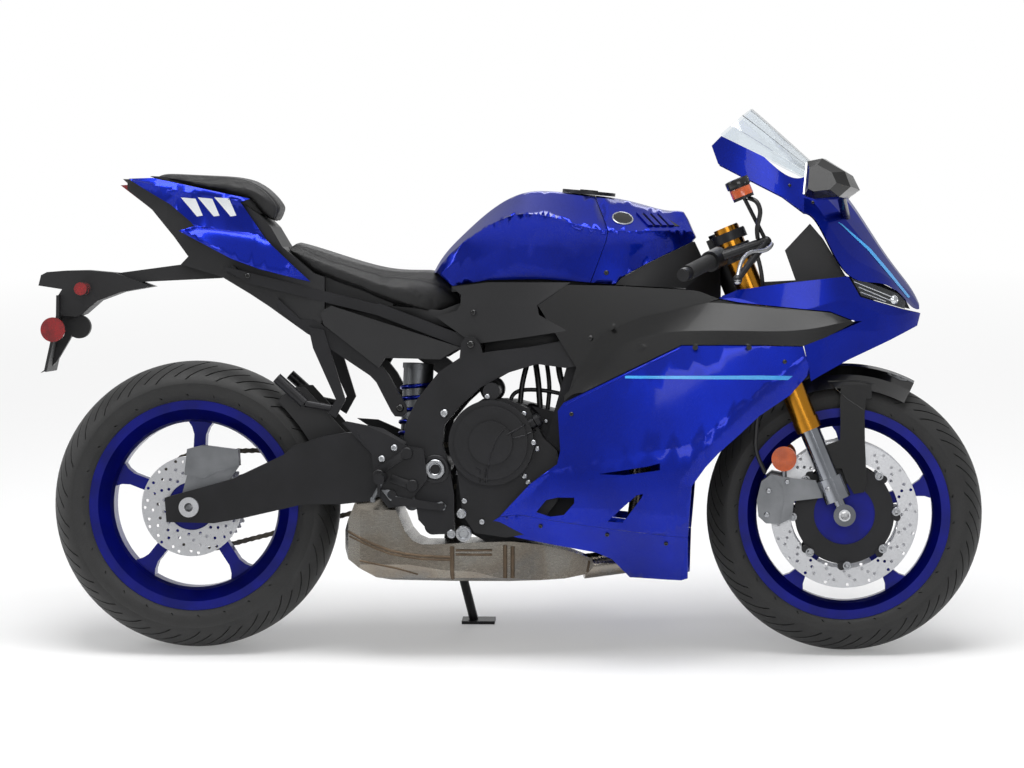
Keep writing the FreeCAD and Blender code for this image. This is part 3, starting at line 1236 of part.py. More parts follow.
# Rider seat and pillion seat
SEAT_SHARES = [
    (-0.010, [(0.000, 1.019), (0.492, 1.000), (0.689, 0.963), (0.705, 0.877), (0.000, 0.852)]),
    (0.066, [(0.000, 0.994), (0.541, 0.975), (0.787, 0.901), (0.787, 0.753), (0.000, 0.728)]),
    (0.285, [(0.000, 0.840), (0.639, 0.809), (0.918, 0.679), (0.885, 0.444), (0.000, 0.420)]),
    (0.432, [(0.000, 0.728), (0.672, 0.698), (0.984, 0.537), (0.918, 0.321), (0.000, 0.296)]),
    (0.596, [(0.000, 0.636), (0.656, 0.611), (1.000, 0.414), (0.934, 0.167), (0.000, 0.136)]),
    (0.768, [(0.000, 0.617), (0.525, 0.593), (0.852, 0.370), (0.820, 0.043), (0.000, 0.012)]),
    (0.894, [(0.000, 0.605), (0.410, 0.568), (0.656, 0.321), (0.639, 0.025), (0.000, -0.006)]),
    (1.000, [(0.000, 0.444), (0.279, 0.395), (0.459, 0.228), (0.443, 0.105), (0.000, 0.086)]),
]
SEAT_SIDE_SHARES = [
    (0.008, 0.944), (0.066, 1.031), (0.288, 0.907), (0.616, 0.691), (0.854, 0.605),
    (0.859, 0.574), (0.942, 0.400), (0.990, 0.296), (0.990, 0.167), (0.970, 0.111),
    (0.843, 0.009), (0.614, 0.188), (0.414, 0.386), (0.184, 0.590),
]
seat_form = loft_across(stations(SEAT_SHARES, S.seat_x, S.seat_length, S.seat_half, S.seat_z, S.seat_height))
seat_trim = prism(outline(SEAT_SIDE_SHARES, S.seat_x, S.seat_length, S.seat_z, S.seat_height),
                  -S.seat_half - S.overrun, S.seat_half + S.overrun)
rider_pad = solid_feature("rider_pad", largest(seat_form.common(seat_trim)))
keep(fitted("rider_fit", rider_pad, [tank_fit]), "rider_seat")
PILLION_SHARES = [
    (-0.007, [(0.000, 0.950), (0.357, 0.942), (0.500, 0.917), (0.500, 0.867), (0.000, 0.833)]),
    (0.122, [(0.000, 0.983), (0.524, 0.967), (0.690, 0.917), (0.690, 0.783), (0.000, 0.750)]),
    (0.399, [(0.000, 0.954), (0.667, 0.933), (0.905, 0.850), (0.881, 0.650), (0.000, 0.617)]),
    (0.747, [(0.000, 0.875), (0.738, 0.842), (1.000, 0.708), (0.952, 0.458), (0.000, 0.400)]),
    (0.903, [(0.000, 0.692), (0.667, 0.650), (0.905, 0.533), (0.857, 0.167), (0.000, 0.117)]),
    (1.007, [(0.000, 0.375), (0.476, 0.350), (0.619, 0.292), (0.595, 0.083), (0.000, 0.017)]),
]
PILLION_SIDE_SHARES = [
    (0.000, 0.908), (-0.003, 1.042), (0.781, 1.000), (0.851, 0.850), (0.927, 0.700),
    (1.007, 0.433), (1.003, 0.350), (0.938, 0.042), (0.861, 0.242), (0.778, 0.554),
    (0.007, 0.933),
]
pillion_form = loft_across(stations(
    PILLION_SHARES, S.pillion_x, S.pillion_length, S.pillion_half, S.pillion_z, S.pillion_height))
pillion_trim = prism(outline(
    PILLION_SIDE_SHARES, S.pillion_x, S.pillion_length, S.pillion_z, S.pillion_height),
    -S.pillion_half - S.overrun, S.pillion_half + S.overrun)
keep(solid_feature("pillion_pad", pillion_form.common(pillion_trim).Solids[0]), "pillion_seat")

# Tail: a dark inner body with the lamp let into its slanted rear face
UNDERTAIL_SIDE_SHARES = [
    (0.003, 0.982), (0.133, 0.975), (0.451, 0.861), (0.462, 0.836), (0.530, 0.756),
    (0.567, 0.689), (0.608, 0.567), (0.719, 0.407), (0.863, 0.315), (0.989, 0.226),
    (0.989, 0.194), (0.933, 0.194), (0.816, 0.214), (0.757, 0.194), (0.744, 0.103),
    (0.727, 0.011), (0.694, 0.044), (0.562, 0.206), (0.495, 0.281), (0.395, 0.383),
    (0.246, 0.460), (0.273, 0.508), (0.222, 0.628), (0.143, 0.792),
]
UNDERTAIL_PLAN_SHARES = [
    (0.000, 0.033), (0.054, 0.246), (0.197, 0.443), (0.356, 0.607), (0.495, 0.770),
    (0.610, 0.869), (0.708, 0.926), (0.756, 0.943), (0.756, 0.680), (0.990, 0.680),
    (0.990, -0.680), (0.756, -0.680), (0.756, -0.943), (0.708, -0.926), (0.610, -0.869),
    (0.495, -0.770), (0.356, -0.607), (0.197, -0.443), (0.054, -0.246), (0.000, -0.033),
]
LAMP_SHARES = [
    (0.003, 0.989), (0.143, 0.783), (0.222, 0.619), (0.235, 0.639), (0.159, 0.806),
    (0.029, 0.989),
]
tail_core = common_of("tail_core", [
    extrusion("tail_core_a", "side", from_shares(
        UNDERTAIL_SIDE_SHARES, "tail_x", "tail_length", "tail_z", "tail_height"),
        "tail_half + overrun", "tail_half + overrun"),
    extrusion("tail_core_b", "plan", from_shares(
        UNDERTAIL_PLAN_SHARES, "tail_x", "tail_length", "0", "tail_half"),
        "tail_z + tail_height + overrun")])
lamp_slot = extrusion("lamp_slot", "side", from_shares(
    LAMP_SHARES, "tail_x", "tail_length", "tail_z", "tail_height"),
    "tail_half * 0.24 + seat_gap", "tail_half * 0.24 + seat_gap")
tail_body = cut_of("tail_body", tail_core, lamp_slot)
LENS_SHARES = [
    (0.029, 0.942), (0.143, 0.789), (0.219, 0.631), (0.233, 0.639), (0.158, 0.803),
    (0.051, 0.944),
]
lamp_lens = extrusion("lamp_lens", "side", from_shares(
    LENS_SHARES, "tail_x", "tail_length", "tail_z", "tail_height"),
    "tail_half * 0.24", "tail_half * 0.24")
keep(lamp_lens, "tail_lamp")

# Tail cowls: a painted skin each side
TAIL_SHARES = [
    (0.054, [(0.246, 0.989), (0.344, 0.972), (0.328, 0.831), (0.377, 0.789), (0.344, 0.747)]),
    (0.197, [(0.377, 0.983), (0.525, 0.925), (0.492, 0.719), (0.590, 0.692), (0.525, 0.636)]),
    (0.356, [(0.508, 0.939), (0.689, 0.875), (0.656, 0.681), (0.795, 0.583), (0.721, 0.511)]),
    (0.495, [(0.656, 0.883), (0.844, 0.825), (0.820, 0.642), (0.984, 0.478), (0.902, 0.394)]),
    (0.610, [(0.754, 0.789), (0.918, 0.733), (0.918, 0.589), (1.033, 0.450), (0.967, 0.344)]),
    (0.717, [(0.820, 0.622), (0.967, 0.567), (0.984, 0.483), (1.049, 0.406), (1.000, 0.317)]),
]
COWL_SIDE_SHARES = [
    (0.060, 0.982), (0.144, 0.986), (0.495, 0.857), (0.462, 0.837), (0.552, 0.611),
    (0.708, 0.357), (0.668, 0.372), (0.530, 0.433), (0.429, 0.497), (0.243, 0.664),
    (0.295, 0.692), (0.284, 0.717), (0.210, 0.825), (0.117, 0.919),
]
tail_skin = loft_skin(stations(
    TAIL_SHARES, S.tail_x, S.tail_length, S.tail_half, S.tail_z, S.tail_height), S.skin_thick)
tail_trim = prism(outline(COWL_SIDE_SHARES, S.tail_x, S.tail_length, S.tail_z, S.tail_height),
                  0, S.tail_half + S.overrun)
tail_skins = solid_feature("tail_skins", pair(tail_skin.common(tail_trim).Solids[0]))
keep(fitted("tail_skin_fit", tail_skins, [NODES[-2][1]]), "tail_cowls")
tail_fit = fitted("tail_fit", tail_body, [rails, tail_skins, lamp_lens])
keep(solid_feature("undertail_body", largest(tail_fit.Shape)), "undertail")

# Plate bracket: arm, lamp housing, board and fin
ARM_PLATE_SHARES = [
    (0.390, 0.854), (0.444, 0.858), (0.756, 0.924), (0.780, 0.928), (1.005, 0.822),
    (0.980, 0.812), (0.566, 0.781), (0.390, 0.731),
]
HEAD_PLATE_SHARES = [
    (0.010, 0.750), (0.024, 0.838), (0.056, 0.864), (0.159, 0.877), (0.259, 0.881),
    (0.424, 0.858), (0.624, 0.742), (0.454, 0.695), (0.329, 0.622), (0.246, 0.508),
    (0.215, 0.488), (0.112, 0.496), (0.117, 0.669), (0.137, 0.719),
]
BOARD_SHARES = [
    (0.117, 0.669), (0.132, 0.669), (0.132, 0.496), (0.063, 0.023), (0.049, 0.027),
    (0.115, 0.496),
]
FIN_SHARES = [
    (0.127, 0.519), (0.224, 0.500), (0.163, 0.288), (0.098, 0.115), (0.056, 0.042),
    (0.005, 0.008), (0.049, 0.062), (0.073, 0.154),
]


def fused_extrusions(name, rows):
    parts = []
    for i, (table, half) in enumerate(rows):
        parts.append(extrusion("%s_%d" % (name, i), "side", from_shares(
            table, "plate_x", "plate_length", "plate_z", "plate_height"), half, half))
    return parts


bracket = fused_extrusions("plate", [
    (ARM_PLATE_SHARES, "plate_arm_half"), (HEAD_PLATE_SHARES, "plate_head_half"),
    (BOARD_SHARES, "plate_board_half"), (FIN_SHARES, "plate_arm_half * 0.3")])
ear = DOC.addObject("Part::Cylinder", "bracket_ear")
ear.setExpression("Radius", linked("reflector_radius * 0.95"))
ear.setExpression("Height", linked("plate_arm_half * 0.7"))
ear_spot = V(S.plate_x + S.plate_length * 0.215, S.plate_arm_half * 0.35, S.plate_z + S.plate_height * 0.4)
ear.Placement = FreeCAD.Placement(ear_spot, FreeCAD.Rotation(V(1, 0, 0), 90))
bracket_whole = fuse_of("bracket_whole", bracket + [ear])
board_top = V(S.plate_x + S.plate_length * BOARD_SHARES[5][0], 0,
              S.plate_z + S.plate_height * BOARD_SHARES[5][1])
board_low = V(S.plate_x + S.plate_length * BOARD_SHARES[4][0], 0,
              S.plate_z + S.plate_height * BOARD_SHARES[4][1])
board_line = board_low - board_top
PLATE_CENTRE = board_top + board_line * 0.28
PLATE_AXIS = V(board_line.z, 0, -board_line.x)
PLATE_AXIS.normalize()
hole_turn = FreeCAD.Rotation(V(0, 0, 1), PLATE_AXIS)
holes = []
for k in (-1, 1):
    hole = DOC.addObject("Part::Cylinder", "plate_hole")
    hole.setExpression("Radius", linked("plate_hole_radius"))
    hole.setExpression("Height", linked("overrun * 2"))
    hole.Placement = FreeCAD.Placement(
        PLATE_CENTRE + V(0, k * S.plate_hole_spacing / 2, 0) - PLATE_AXIS * S.overrun, hole_turn)
    holes.append(hole)
plate_cut = cut_of("plate_cut", cut_of("plate_cut_one", bracket_whole, holes[0]), holes[1])
keep(plate_cut, "plate_bracket")

# Side reflectors and indicators on the plate bracket
red = new_body("red_discs")
red_sketch = body_sketch(red, "side", "plate_board_half + seat_gap")
fill_circle(red_sketch, "plate_x + plate_length * 0.1", "plate_z + plate_height * 0.38", "reflector_radius")
red_pad = pad_of(red, red_sketch, "reflector_thick")
mirror_of(red, [red_pad])
signals = new_body("signals")
signal_sketch = body_sketch(signals, "side", "plate_head_half + seat_gap")
fill_circle(signal_sketch, "plate_x + plate_length * 0.265", "plate_z + plate_height * 0.725",
            "reflector_radius * 0.3")
stalk = pad_of(signals, signal_sketch, "plate_head_half * 0.4")
signal_head = body_sketch(signals, "side", "plate_head_half * 1.4")
fill_circle(signal_head, "plate_x + plate_length * 0.265", "plate_z + plate_height * 0.725",
            "reflector_radius * 0.52")
bulb = pad_of(signals, signal_head, "plate_head_half * 1.3")
mirror_of(signals, [stalk, bulb])
DOC.recompute()
keep(solid_feature("rear_lights", Part.makeCompound([red.Shape, signals.Shape])), "rear_signals")

# Side fairings: a lofted skin each side, trimmed to the side outline
SIDE_SHARES = [
    (-0.005, [(0.652, 0.711), (0.687, 0.570), (0.722, 0.254), (0.652, 0.188), (0.522, 0.079),
             (0.304, -0.009)]),
    (0.098, [(0.730, 0.746), (0.783, 0.605), (0.835, 0.346), (0.765, 0.258), (0.609, 0.132),
             (0.374, -0.009)]),
    (0.195, [(0.817, 0.798), (0.878, 0.640), (0.930, 0.426), (0.852, 0.247), (0.652, 0.123),
             (0.400, -0.009)]),
    (0.317, [(0.878, 0.851), (0.948, 0.711), (0.983, 0.461), (0.896, 0.223), (0.687, 0.114),
             (0.417, -0.009)]),
    (0.439, [(0.896, 0.900), (0.965, 0.781), (1.000, 0.496), (0.904, 0.202), (0.687, 0.105),
             (0.422, -0.009)]),
    (0.549, [(0.900, 0.939), (0.965, 0.816), (0.996, 0.539), (0.904, 0.254), (0.696, 0.132),
             (0.435, -0.009)]),
    (0.659, [(0.891, 0.956), (0.943, 0.868), (0.965, 0.644), (0.896, 0.500), (0.826, 0.430),
             (0.739, 0.342)]),
    (0.768, [(0.861, 0.965), (0.896, 0.904), (0.904, 0.774), (0.835, 0.658), (0.783, 0.605),
             (0.717, 0.553)]),
    (0.866, [(0.817, 0.974), (0.835, 0.939), (0.835, 0.889), (0.730, 0.781), (0.674, 0.728),
             (0.630, 0.693)]),
]
FAIRING_SHARES = [
    (0.200, 0.654), (0.215, 0.684), (0.524, 0.900), (0.728, 0.900), (0.840, 0.896),
    (0.860, 0.800), (0.807, 0.714), (0.728, 0.637), (0.676, 0.567), (0.622, 0.498),
    (0.587, 0.444), (0.551, 0.372), (0.541, 0.189), (0.540, 0.175), (0.380, 0.203),
    (0.238, 0.228), (0.098, 0.259), (0.044, 0.250), (0.128, 0.379), (0.199, 0.454),
    (0.207, 0.504),
]
BELLY_SHARES = [
    (0.540, 0.174), (0.538, 0.012), (0.521, 0.004), (0.385, 0.016), (0.340, 0.089),
    (0.299, 0.115), (0.088, 0.170), (0.007, 0.214), (0.043, 0.248), (0.098, 0.258),
    (0.238, 0.227), (0.380, 0.202),
]
side_form = loft_skin(stations(
    SIDE_SHARES, S.side_x, S.side_length, S.side_half, S.side_z, S.side_height), S.skin_thick)
side_reach = S.side_half + S.overrun
fairing_edge = outline(FAIRING_SHARES, S.side_x, S.side_length, S.side_z, S.side_height)
fairing_trim = prism(fairing_edge, 0, side_reach)
belly_trim = prism(outline(BELLY_SHARES, S.side_x, S.side_length, S.side_z, S.side_height), 0, side_reach)
side_panel = side_form.common(fairing_trim).Solids[0]
belly_panel = side_form.common(belly_trim).Solids[0]
fairings = solid_feature("fairings", Part.makeCompound([
    side_panel, other_side(side_panel), belly_panel, other_side(belly_panel)]))
keep(fairings, "side_fairings")
keep(fitted("clutch_trim", clutch_fit, [fairings]), "clutch_cover")

# Black mid fairing above the painted side, set a little inside it
DUCT_SECTION_SHARES = [
    (0.195, [(0.778, 1.132), (0.840, 0.956), (0.896, 0.781), (0.925, 0.640)]),
    (0.317, [(0.792, 1.132), (0.868, 0.991), (0.929, 0.851), (0.948, 0.711)]),
    (0.439, [(0.811, 1.132), (0.896, 1.026), (0.943, 0.939), (0.948, 0.781)]),
    (0.561, [(0.849, 1.132), (0.925, 1.061), (0.953, 0.956), (0.953, 0.851)]),
    (0.683, [(0.877, 1.132), (0.934, 1.053), (0.948, 0.956), (0.943, 0.851)]),
    (0.805, [(0.849, 1.132), (0.896, 1.035), (0.906, 0.956), (0.906, 0.868)]),
    (0.902, [(0.792, 1.132), (0.840, 1.026), (0.854, 0.974), (0.849, 0.904)]),
    (1.000, [(0.708, 1.132), (0.745, 1.026), (0.755, 0.974), (0.755, 0.939)]),
]
DUCT_SHARES = [
    (0.239, 0.742), (0.245, 0.763), (0.305, 0.928), (0.323, 0.947), (0.415, 1.004),
    (0.623, 1.072), (0.676, 1.058), (0.832, 1.035), (0.911, 1.024), (0.976, 0.988),
    (0.902, 0.932), (0.840, 0.898), (0.728, 0.903), (0.523, 0.903), (0.217, 0.689),
    (0.216, 0.711),
]
duct_form = loft_skin(stations(
    DUCT_SECTION_SHARES, S.side_x, S.side_length, S.duct_half, S.side_z, S.side_height), S.skin_thick)
duct_trim = prism(outline(DUCT_SHARES, S.side_x, S.side_length, S.side_z, S.side_height), 0, side_reach)
duct = largest(duct_form.common(duct_trim).cut(side_panel))
# Tabs that carry the panels: short posts trimmed where they meet the next piece
TAB_SHARES = [(0.42, 0.895), (0.56, 0.895), (0.7, 0.895)]


def post(share, inner, outer, radius):
    x = S.side_x + S.side_length * share[0]
    z = S.side_z + S.side_height * share[1]
    return rod("post", (x, inner, z), (x, outer, z), radius)


for share in TAB_SHARES:
    tab = post(share, S.duct_half * 0.92, S.side_half, S.skin_thick * 1.5)
    duct = duct.fuse(tab)
duct = largest(duct.cut(side_panel).removeSplitter())

# Radiator with the posts that carry it and the fairings
RADIATOR_POST_SHARES = [(0.5, 0.44), (0.57, 0.75)]
radiator_shape = radiator.Shape
for share in RADIATOR_POST_SHARES:
    bar = post(share, 0, S.side_half + S.overrun, S.skin_thick * 1.5)
    radiator_shape = radiator_shape.fuse([bar, other_side(bar)])
for k in (-1, 1):
    radiator_shape = radiator_shape.fuse(rod(
        "hanger", (S.radiator_x + S.radiator_length * 0.8, k * S.radiator_half * 0.7,
                   S.radiator_z + S.radiator_height * 0.93),
        (S.spar_front_x + S.radiator_length * 1.2, k * S.radiator_half * 0.7,
         S.radiator_z + S.radiator_height * 1.17), S.skin_thick * 1.8))
radiator_shape = largest(radiator_shape.cut(side_panel).cut(other_side(side_panel)).cut(frame.Shape))
keep(solid_feature("radiator_fit", radiator_shape.removeSplitter()), "radiator")


def arch_wire(x, half, thick):
    """A thin arched section across the bike, open below, from its right half."""
    outer = [(-y, z) for y, z in reversed(half) if abs(y) > 0] + half
    rim = half[-2][0]
    inner = []
    for y, z in reversed(outer):
        push = thick if y > 0 else (-thick if y < 0 else 0.0)
        inner.append((y - push, z - (thick if abs(y) < rim else 0.0)))
    points = [V(x, y, z) for y, z in outer + inner]
    return Part.makePolygon(points + points[:1])


def loft_arch(rows, thick):
    return Part.makeLoft([arch_wire(x, half, thick) for x, half in rows], True, False)


def cowl_rows(table):
    return stations(table, S.cowl_x, S.cowl_length, S.cowl_half, S.cowl_z, S.cowl_height)


# Upper cowl: beak, side bands up to the screen and lower cheeks
BEAK_SHARES = [
    (0.441, [(0.000, 0.798), (0.300, 0.798), (0.590, 0.794), (0.660, 0.738), (0.695, 0.695)]),
    (0.548, [(0.000, 0.786), (0.300, 0.777), (0.560, 0.738), (0.690, 0.672), (0.750, 0.618)]),
    (0.654, [(0.000, 0.738), (0.260, 0.725), (0.500, 0.665), (0.690, 0.578), (0.785, 0.517)]),
    (0.768, [(0.000, 0.636), (0.220, 0.625), (0.420, 0.580), (0.560, 0.535), (0.650, 0.496)]),
    (0.886, [(0.000, 0.533), (0.150, 0.525), (0.290, 0.503), (0.390, 0.485), (0.470, 0.469)]),
    (0.991, [(0.000, 0.435), (0.055, 0.432), (0.095, 0.430), (0.125, 0.426), (0.150, 0.419)]),
]
BAND_SHARES = [
    (0.000, [(0.565, 0.894), (0.580, 0.864), (0.595, 0.835)]),
    (0.050, [(0.595, 0.919), (0.605, 0.871), (0.615, 0.827)]),
    (0.241, [(0.635, 0.862), (0.645, 0.811), (0.660, 0.765)]),
    (0.443, [(0.590, 0.799), (0.660, 0.738), (0.695, 0.693)]),
]
CHEEK_SHARES = [
    (0.039, [(0.960, 0.481), (1.010, 0.445), (1.015, 0.359), (1.000, 0.173)]),
    (0.241, [(0.940, 0.500), (0.995, 0.432), (1.000, 0.346), (0.980, 0.173)]),
    (0.439, [(0.900, 0.508), (0.950, 0.419), (0.940, 0.332), (0.910, 0.173)]),
    (0.649, [(0.785, 0.521), (0.830, 0.445), (0.830, 0.359), (0.780, 0.226)]),
    (0.811, [(0.570, 0.465), (0.630, 0.406), (0.620, 0.359), (0.590, 0.279)]),
    (0.921, [(0.390, 0.439), (0.430, 0.406), (0.420, 0.379), (0.390, 0.319)]),
    (1.004, [(0.130, 0.419), (0.150, 0.406), (0.150, 0.386), (0.140, 0.346)]),
]
BAND_SIDE_SHARES = [
    (0.004, 0.888), (0.050, 0.916), (0.241, 0.859), (0.441, 0.798), (0.442, 0.695),
    (0.336, 0.743), (0.035, 0.836),
]
CHEEK_SIDE_SHARES = [
    (0.044, 0.451), (0.046, 0.454), (0.129, 0.475), (0.373, 0.496), (0.649, 0.514),
    (0.706, 0.455), (0.811, 0.436), (0.921, 0.417), (0.996, 0.407), (0.980, 0.371),
    (0.849, 0.331), (0.645, 0.274), (0.518, 0.231), (0.474, 0.215), (0.467, 0.242),
    (0.441, 0.317), (0.550, 0.342), (0.715, 0.386), (0.682, 0.386), (0.564, 0.414),
    (0.423, 0.422), (0.140, 0.440),
]
cowl_reach = S.cowl_half + S.overrun


def cowl_prism(table):
    return prism(outline(table, S.cowl_x, S.cowl_length, S.cowl_z, S.cowl_height), 0, cowl_reach)


beak = loft_arch(cowl_rows(BEAK_SHARES), S.skin_thick)
band = loft_skin(cowl_rows(BAND_SHARES), S.skin_thick).common(cowl_prism(BAND_SIDE_SHARES))
cheek = loft_skin(cowl_rows(CHEEK_SHARES), S.skin_thick).common(cowl_prism(CHEEK_SIDE_SHARES))
cheek = largest(cheek.cut(side_panel).cut(duct))
cowl = beak.fuse([band, other_side(band), cheek, other_side(cheek)])
cowl = cowl.removeSplitter()
keep(solid_feature("cowl", cowl), "upper_cowl")

# Windscreen
SCREEN_SHARES = [
    (0.044, [(0.000, 1.066), (0.250, 1.059), (0.460, 1.019), (0.570, 0.960), (0.590, 0.915)]),
    (0.193, [(0.000, 0.999), (0.250, 0.991), (0.480, 0.957), (0.600, 0.911), (0.630, 0.872)]),
    (0.336, [(0.000, 0.923), (0.240, 0.915), (0.470, 0.888), (0.595, 0.856), (0.625, 0.828)]),
    (0.480, [(0.000, 0.844), (0.220, 0.838), (0.420, 0.820), (0.525, 0.803), (0.560, 0.786)]),
    (0.583, [(0.000, 0.782), (0.100, 0.779), (0.200, 0.774), (0.260, 0.767), (0.280, 0.762)]),
]
SCREEN_SIDE_SHARES = [
    (0.046, 0.921), (0.194, 0.999), (0.241, 1.011), (0.636, 0.891), (0.603, 0.758),
    (0.555, 0.786), (0.441, 0.799), (0.241, 0.861), (0.057, 0.916),
]
screen = loft_arch(cowl_rows(SCREEN_SHARES), S.screen_thick)
screen_trim = prism(outline(SCREEN_SIDE_SHARES, S.cowl_x, S.cowl_length, S.cowl_z, S.cowl_height),
                    -cowl_reach, cowl_reach)
screen = largest(screen.common(screen_trim).cut(cowl))
keep(solid_feature("screen", screen), "windscreen")

# Headlamps in the slots above the cheeks
LENS_SECTION_SHARES = [
    (0.654, [(0.760, 0.521), (0.750, 0.452)]),
    (0.715, [(0.685, 0.512), (0.675, 0.439)]),
    (0.811, [(0.560, 0.492), (0.560, 0.419)]),
    (0.925, [(0.380, 0.479), (0.370, 0.406)]),
]
LENS_SIDE_SHARES = [
    (0.660, 0.513), (0.768, 0.491), (0.886, 0.464), (0.923, 0.447), (0.919, 0.420),
    (0.811, 0.439), (0.711, 0.459),
]
lens = loft_skin(cowl_rows(LENS_SECTION_SHARES), S.skin_thick * 4).common(cowl_prism(LENS_SIDE_SHARES))
lens = largest(lens.cut(cowl))
keep(solid_feature("lamps", pair(lens)), "headlamps")

# Dark inner cockpit: side walls, instrument and the duct behind the beak
COCKPIT_SHARES = [
    (0.351, 0.588), (0.469, 0.665), (0.531, 0.621), (0.645, 0.508), (0.697, 0.447),
    (0.592, 0.428), (0.439, 0.439),
]
INSTRUMENT_SHARES = [
    (0.303, 0.699), (0.364, 0.763), (0.430, 0.761), (0.461, 0.668), (0.395, 0.625),
]
STAY_FRONT_SHARES = [
    (0.154, 0.428), (0.450, 0.441), (0.450, 0.503), (0.110, 0.492),
]
cockpit_wall = cowl_prism(COCKPIT_SHARES)
cockpit_wall = cockpit_wall.fuse(other_side(cockpit_wall))
wall_trim = Part.makeBox(S.cowl_length, S.cowl_half * 1.1, S.cowl_height,
                         V(S.cowl_x, -S.cowl_half * 0.55, S.cowl_z))
LAMP_BACK_SHARES = [
    (0.583, 0.504), (0.640, 0.500), (0.671, 0.479), (0.671, 0.449), (0.583, 0.436),
]
LAMP_SEAT_SHARES = [
    (0.592, 0.512), (0.645, 0.503), (0.829, 0.477), (0.820, 0.444), (0.697, 0.447),
    (0.592, 0.428),
]
lamp_back = prism(outline(LAMP_BACK_SHARES, S.cowl_x, S.cowl_length, S.cowl_z, S.cowl_height),
                  0, S.cowl_half * 0.8)
lamp_seat = prism(outline(LAMP_SEAT_SHARES, S.cowl_x, S.cowl_length, S.cowl_z, S.cowl_height),
                  0, S.cowl_half * 0.56)
lamp_back = lamp_back.fuse(lamp_seat)
cockpit_wall = cockpit_wall.common(wall_trim).fuse([lamp_back, other_side(lamp_back)])
instrument = prism(outline(INSTRUMENT_SHARES, S.cowl_x, S.cowl_length, S.cowl_z, S.cowl_height),
                   -S.cowl_half * 0.44, S.cowl_half * 0.44)
front_stay = prism(outline(STAY_FRONT_SHARES, S.cowl_x, S.cowl_length, S.cowl_z, S.cowl_height),
                   -S.head_half * 0.6, S.head_half * 0.6)
cockpit = cockpit_wall.fuse([instrument, front_stay]).cut(frame.Shape)
for shape in (cowl, lens, other_side(lens)):
    cockpit = cockpit.cut(shape)
cockpit = largest(cockpit)
keep(solid_feature("cockpit", cockpit), "cockpit_panel")

# Mirrors on their stalks, and the glass in their rear faces
MIRROR_SHARES = [
    (0, [
    (0.213, 0.333), (0.246, 0.644), (0.475, 0.733), (0.820, 0.444), (0.951, 0.244),
    (0.820, 0.089), (0.443, 0.156),
]),
    (0.3, [
    (0.033, 0.089), (0.082, 0.867), (0.377, 0.978), (0.852, 0.578), (0.975, 0.244),
    (0.738, 0.033), (0.246, 0.011),
]),
    (0.8, [
    (0.008, 0.111), (0.057, 0.911), (0.311, 0.978), (0.705, 0.667), (0.803, 0.311),
    (0.607, 0.078), (0.180, 0.033),
]),
    (1, [
    (0.066, 0.267), (0.090, 0.756), (0.230, 0.822), (0.475, 0.644), (0.557, 0.400),
    (0.443, 0.244), (0.164, 0.200),
]),
]
MIRROR_FOOT_SHARES = [(0.755, -0.4), (0.62, 0.3)]


def mirror_ring(share, table):
    y = S.mirror_inner_y + (S.mirror_outer_y - S.mirror_inner_y) * share
    flat = [V(x, y, z) for x, z in outline(
        table, S.mirror_x, S.mirror_length, S.mirror_z, S.mirror_height)]
    return Part.makePolygon(flat + flat[:1])


mirror_head = Part.makeLoft([mirror_ring(a, b) for a, b in MIRROR_SHARES], True, True)
foot_x = S.mirror_x + S.mirror_length * MIRROR_FOOT_SHARES[0][0]
foot_z = S.mirror_z + S.mirror_height * MIRROR_FOOT_SHARES[0][1]
neck_x = S.mirror_x + S.mirror_length * MIRROR_FOOT_SHARES[1][0]
neck_z = S.mirror_z + S.mirror_height * MIRROR_FOOT_SHARES[1][1]
foot_y = S.cowl_half * 0.4
stalk = rod("stalk", (foot_x, foot_y, foot_z), (neck_x, S.mirror_inner_y + S.overrun, neck_z),
            S.skin_thick * 2.4)
mirror_case = largest(mirror_head.fuse(stalk).cut(cowl))
pane = []
for share in (0.32, 0.78):
    y = S.mirror_inner_y + (S.mirror_outer_y - S.mirror_inner_y) * share
    part = (share - MIRROR_SHARES[1][0]) / (MIRROR_SHARES[2][0] - MIRROR_SHARES[1][0])
    low_a, high_a = [MIRROR_SHARES[1][1][k] for k in (0, 1)]
    low_b, high_b = [MIRROR_SHARES[2][1][k] for k in (0, 1)]
    edge = [(p[0] + (q[0] - p[0]) * part, p[1] + (q[1] - p[1]) * part)
            for p, q in ((low_a, low_b), (high_a, high_b))]
    low, high = outline(edge, S.mirror_x, S.mirror_length, S.mirror_z, S.mirror_height)
    pane.append([V(low[0], y, low[1] + S.mirror_glass_thick), V(high[0], y, high[1] - S.mirror_glass_thick)])
glass_face = Part.makeRuledSurface(Part.LineSegment(pane[0][0], pane[0][1]).toShape(),
                                   Part.LineSegment(pane[1][0], pane[1][1]).toShape())
glass_pane = glass_face.extrude(V(-S.mirror_glass_thick, 0, 0))
glass_pane.translate(V(-S.seat_gap, 0, 0))
keep(solid_feature("mirror_cases", pair(mirror_case)), "mirrors")
keep(solid_feature("mirror_panes", pair(glass_pane)), "mirror_glass")

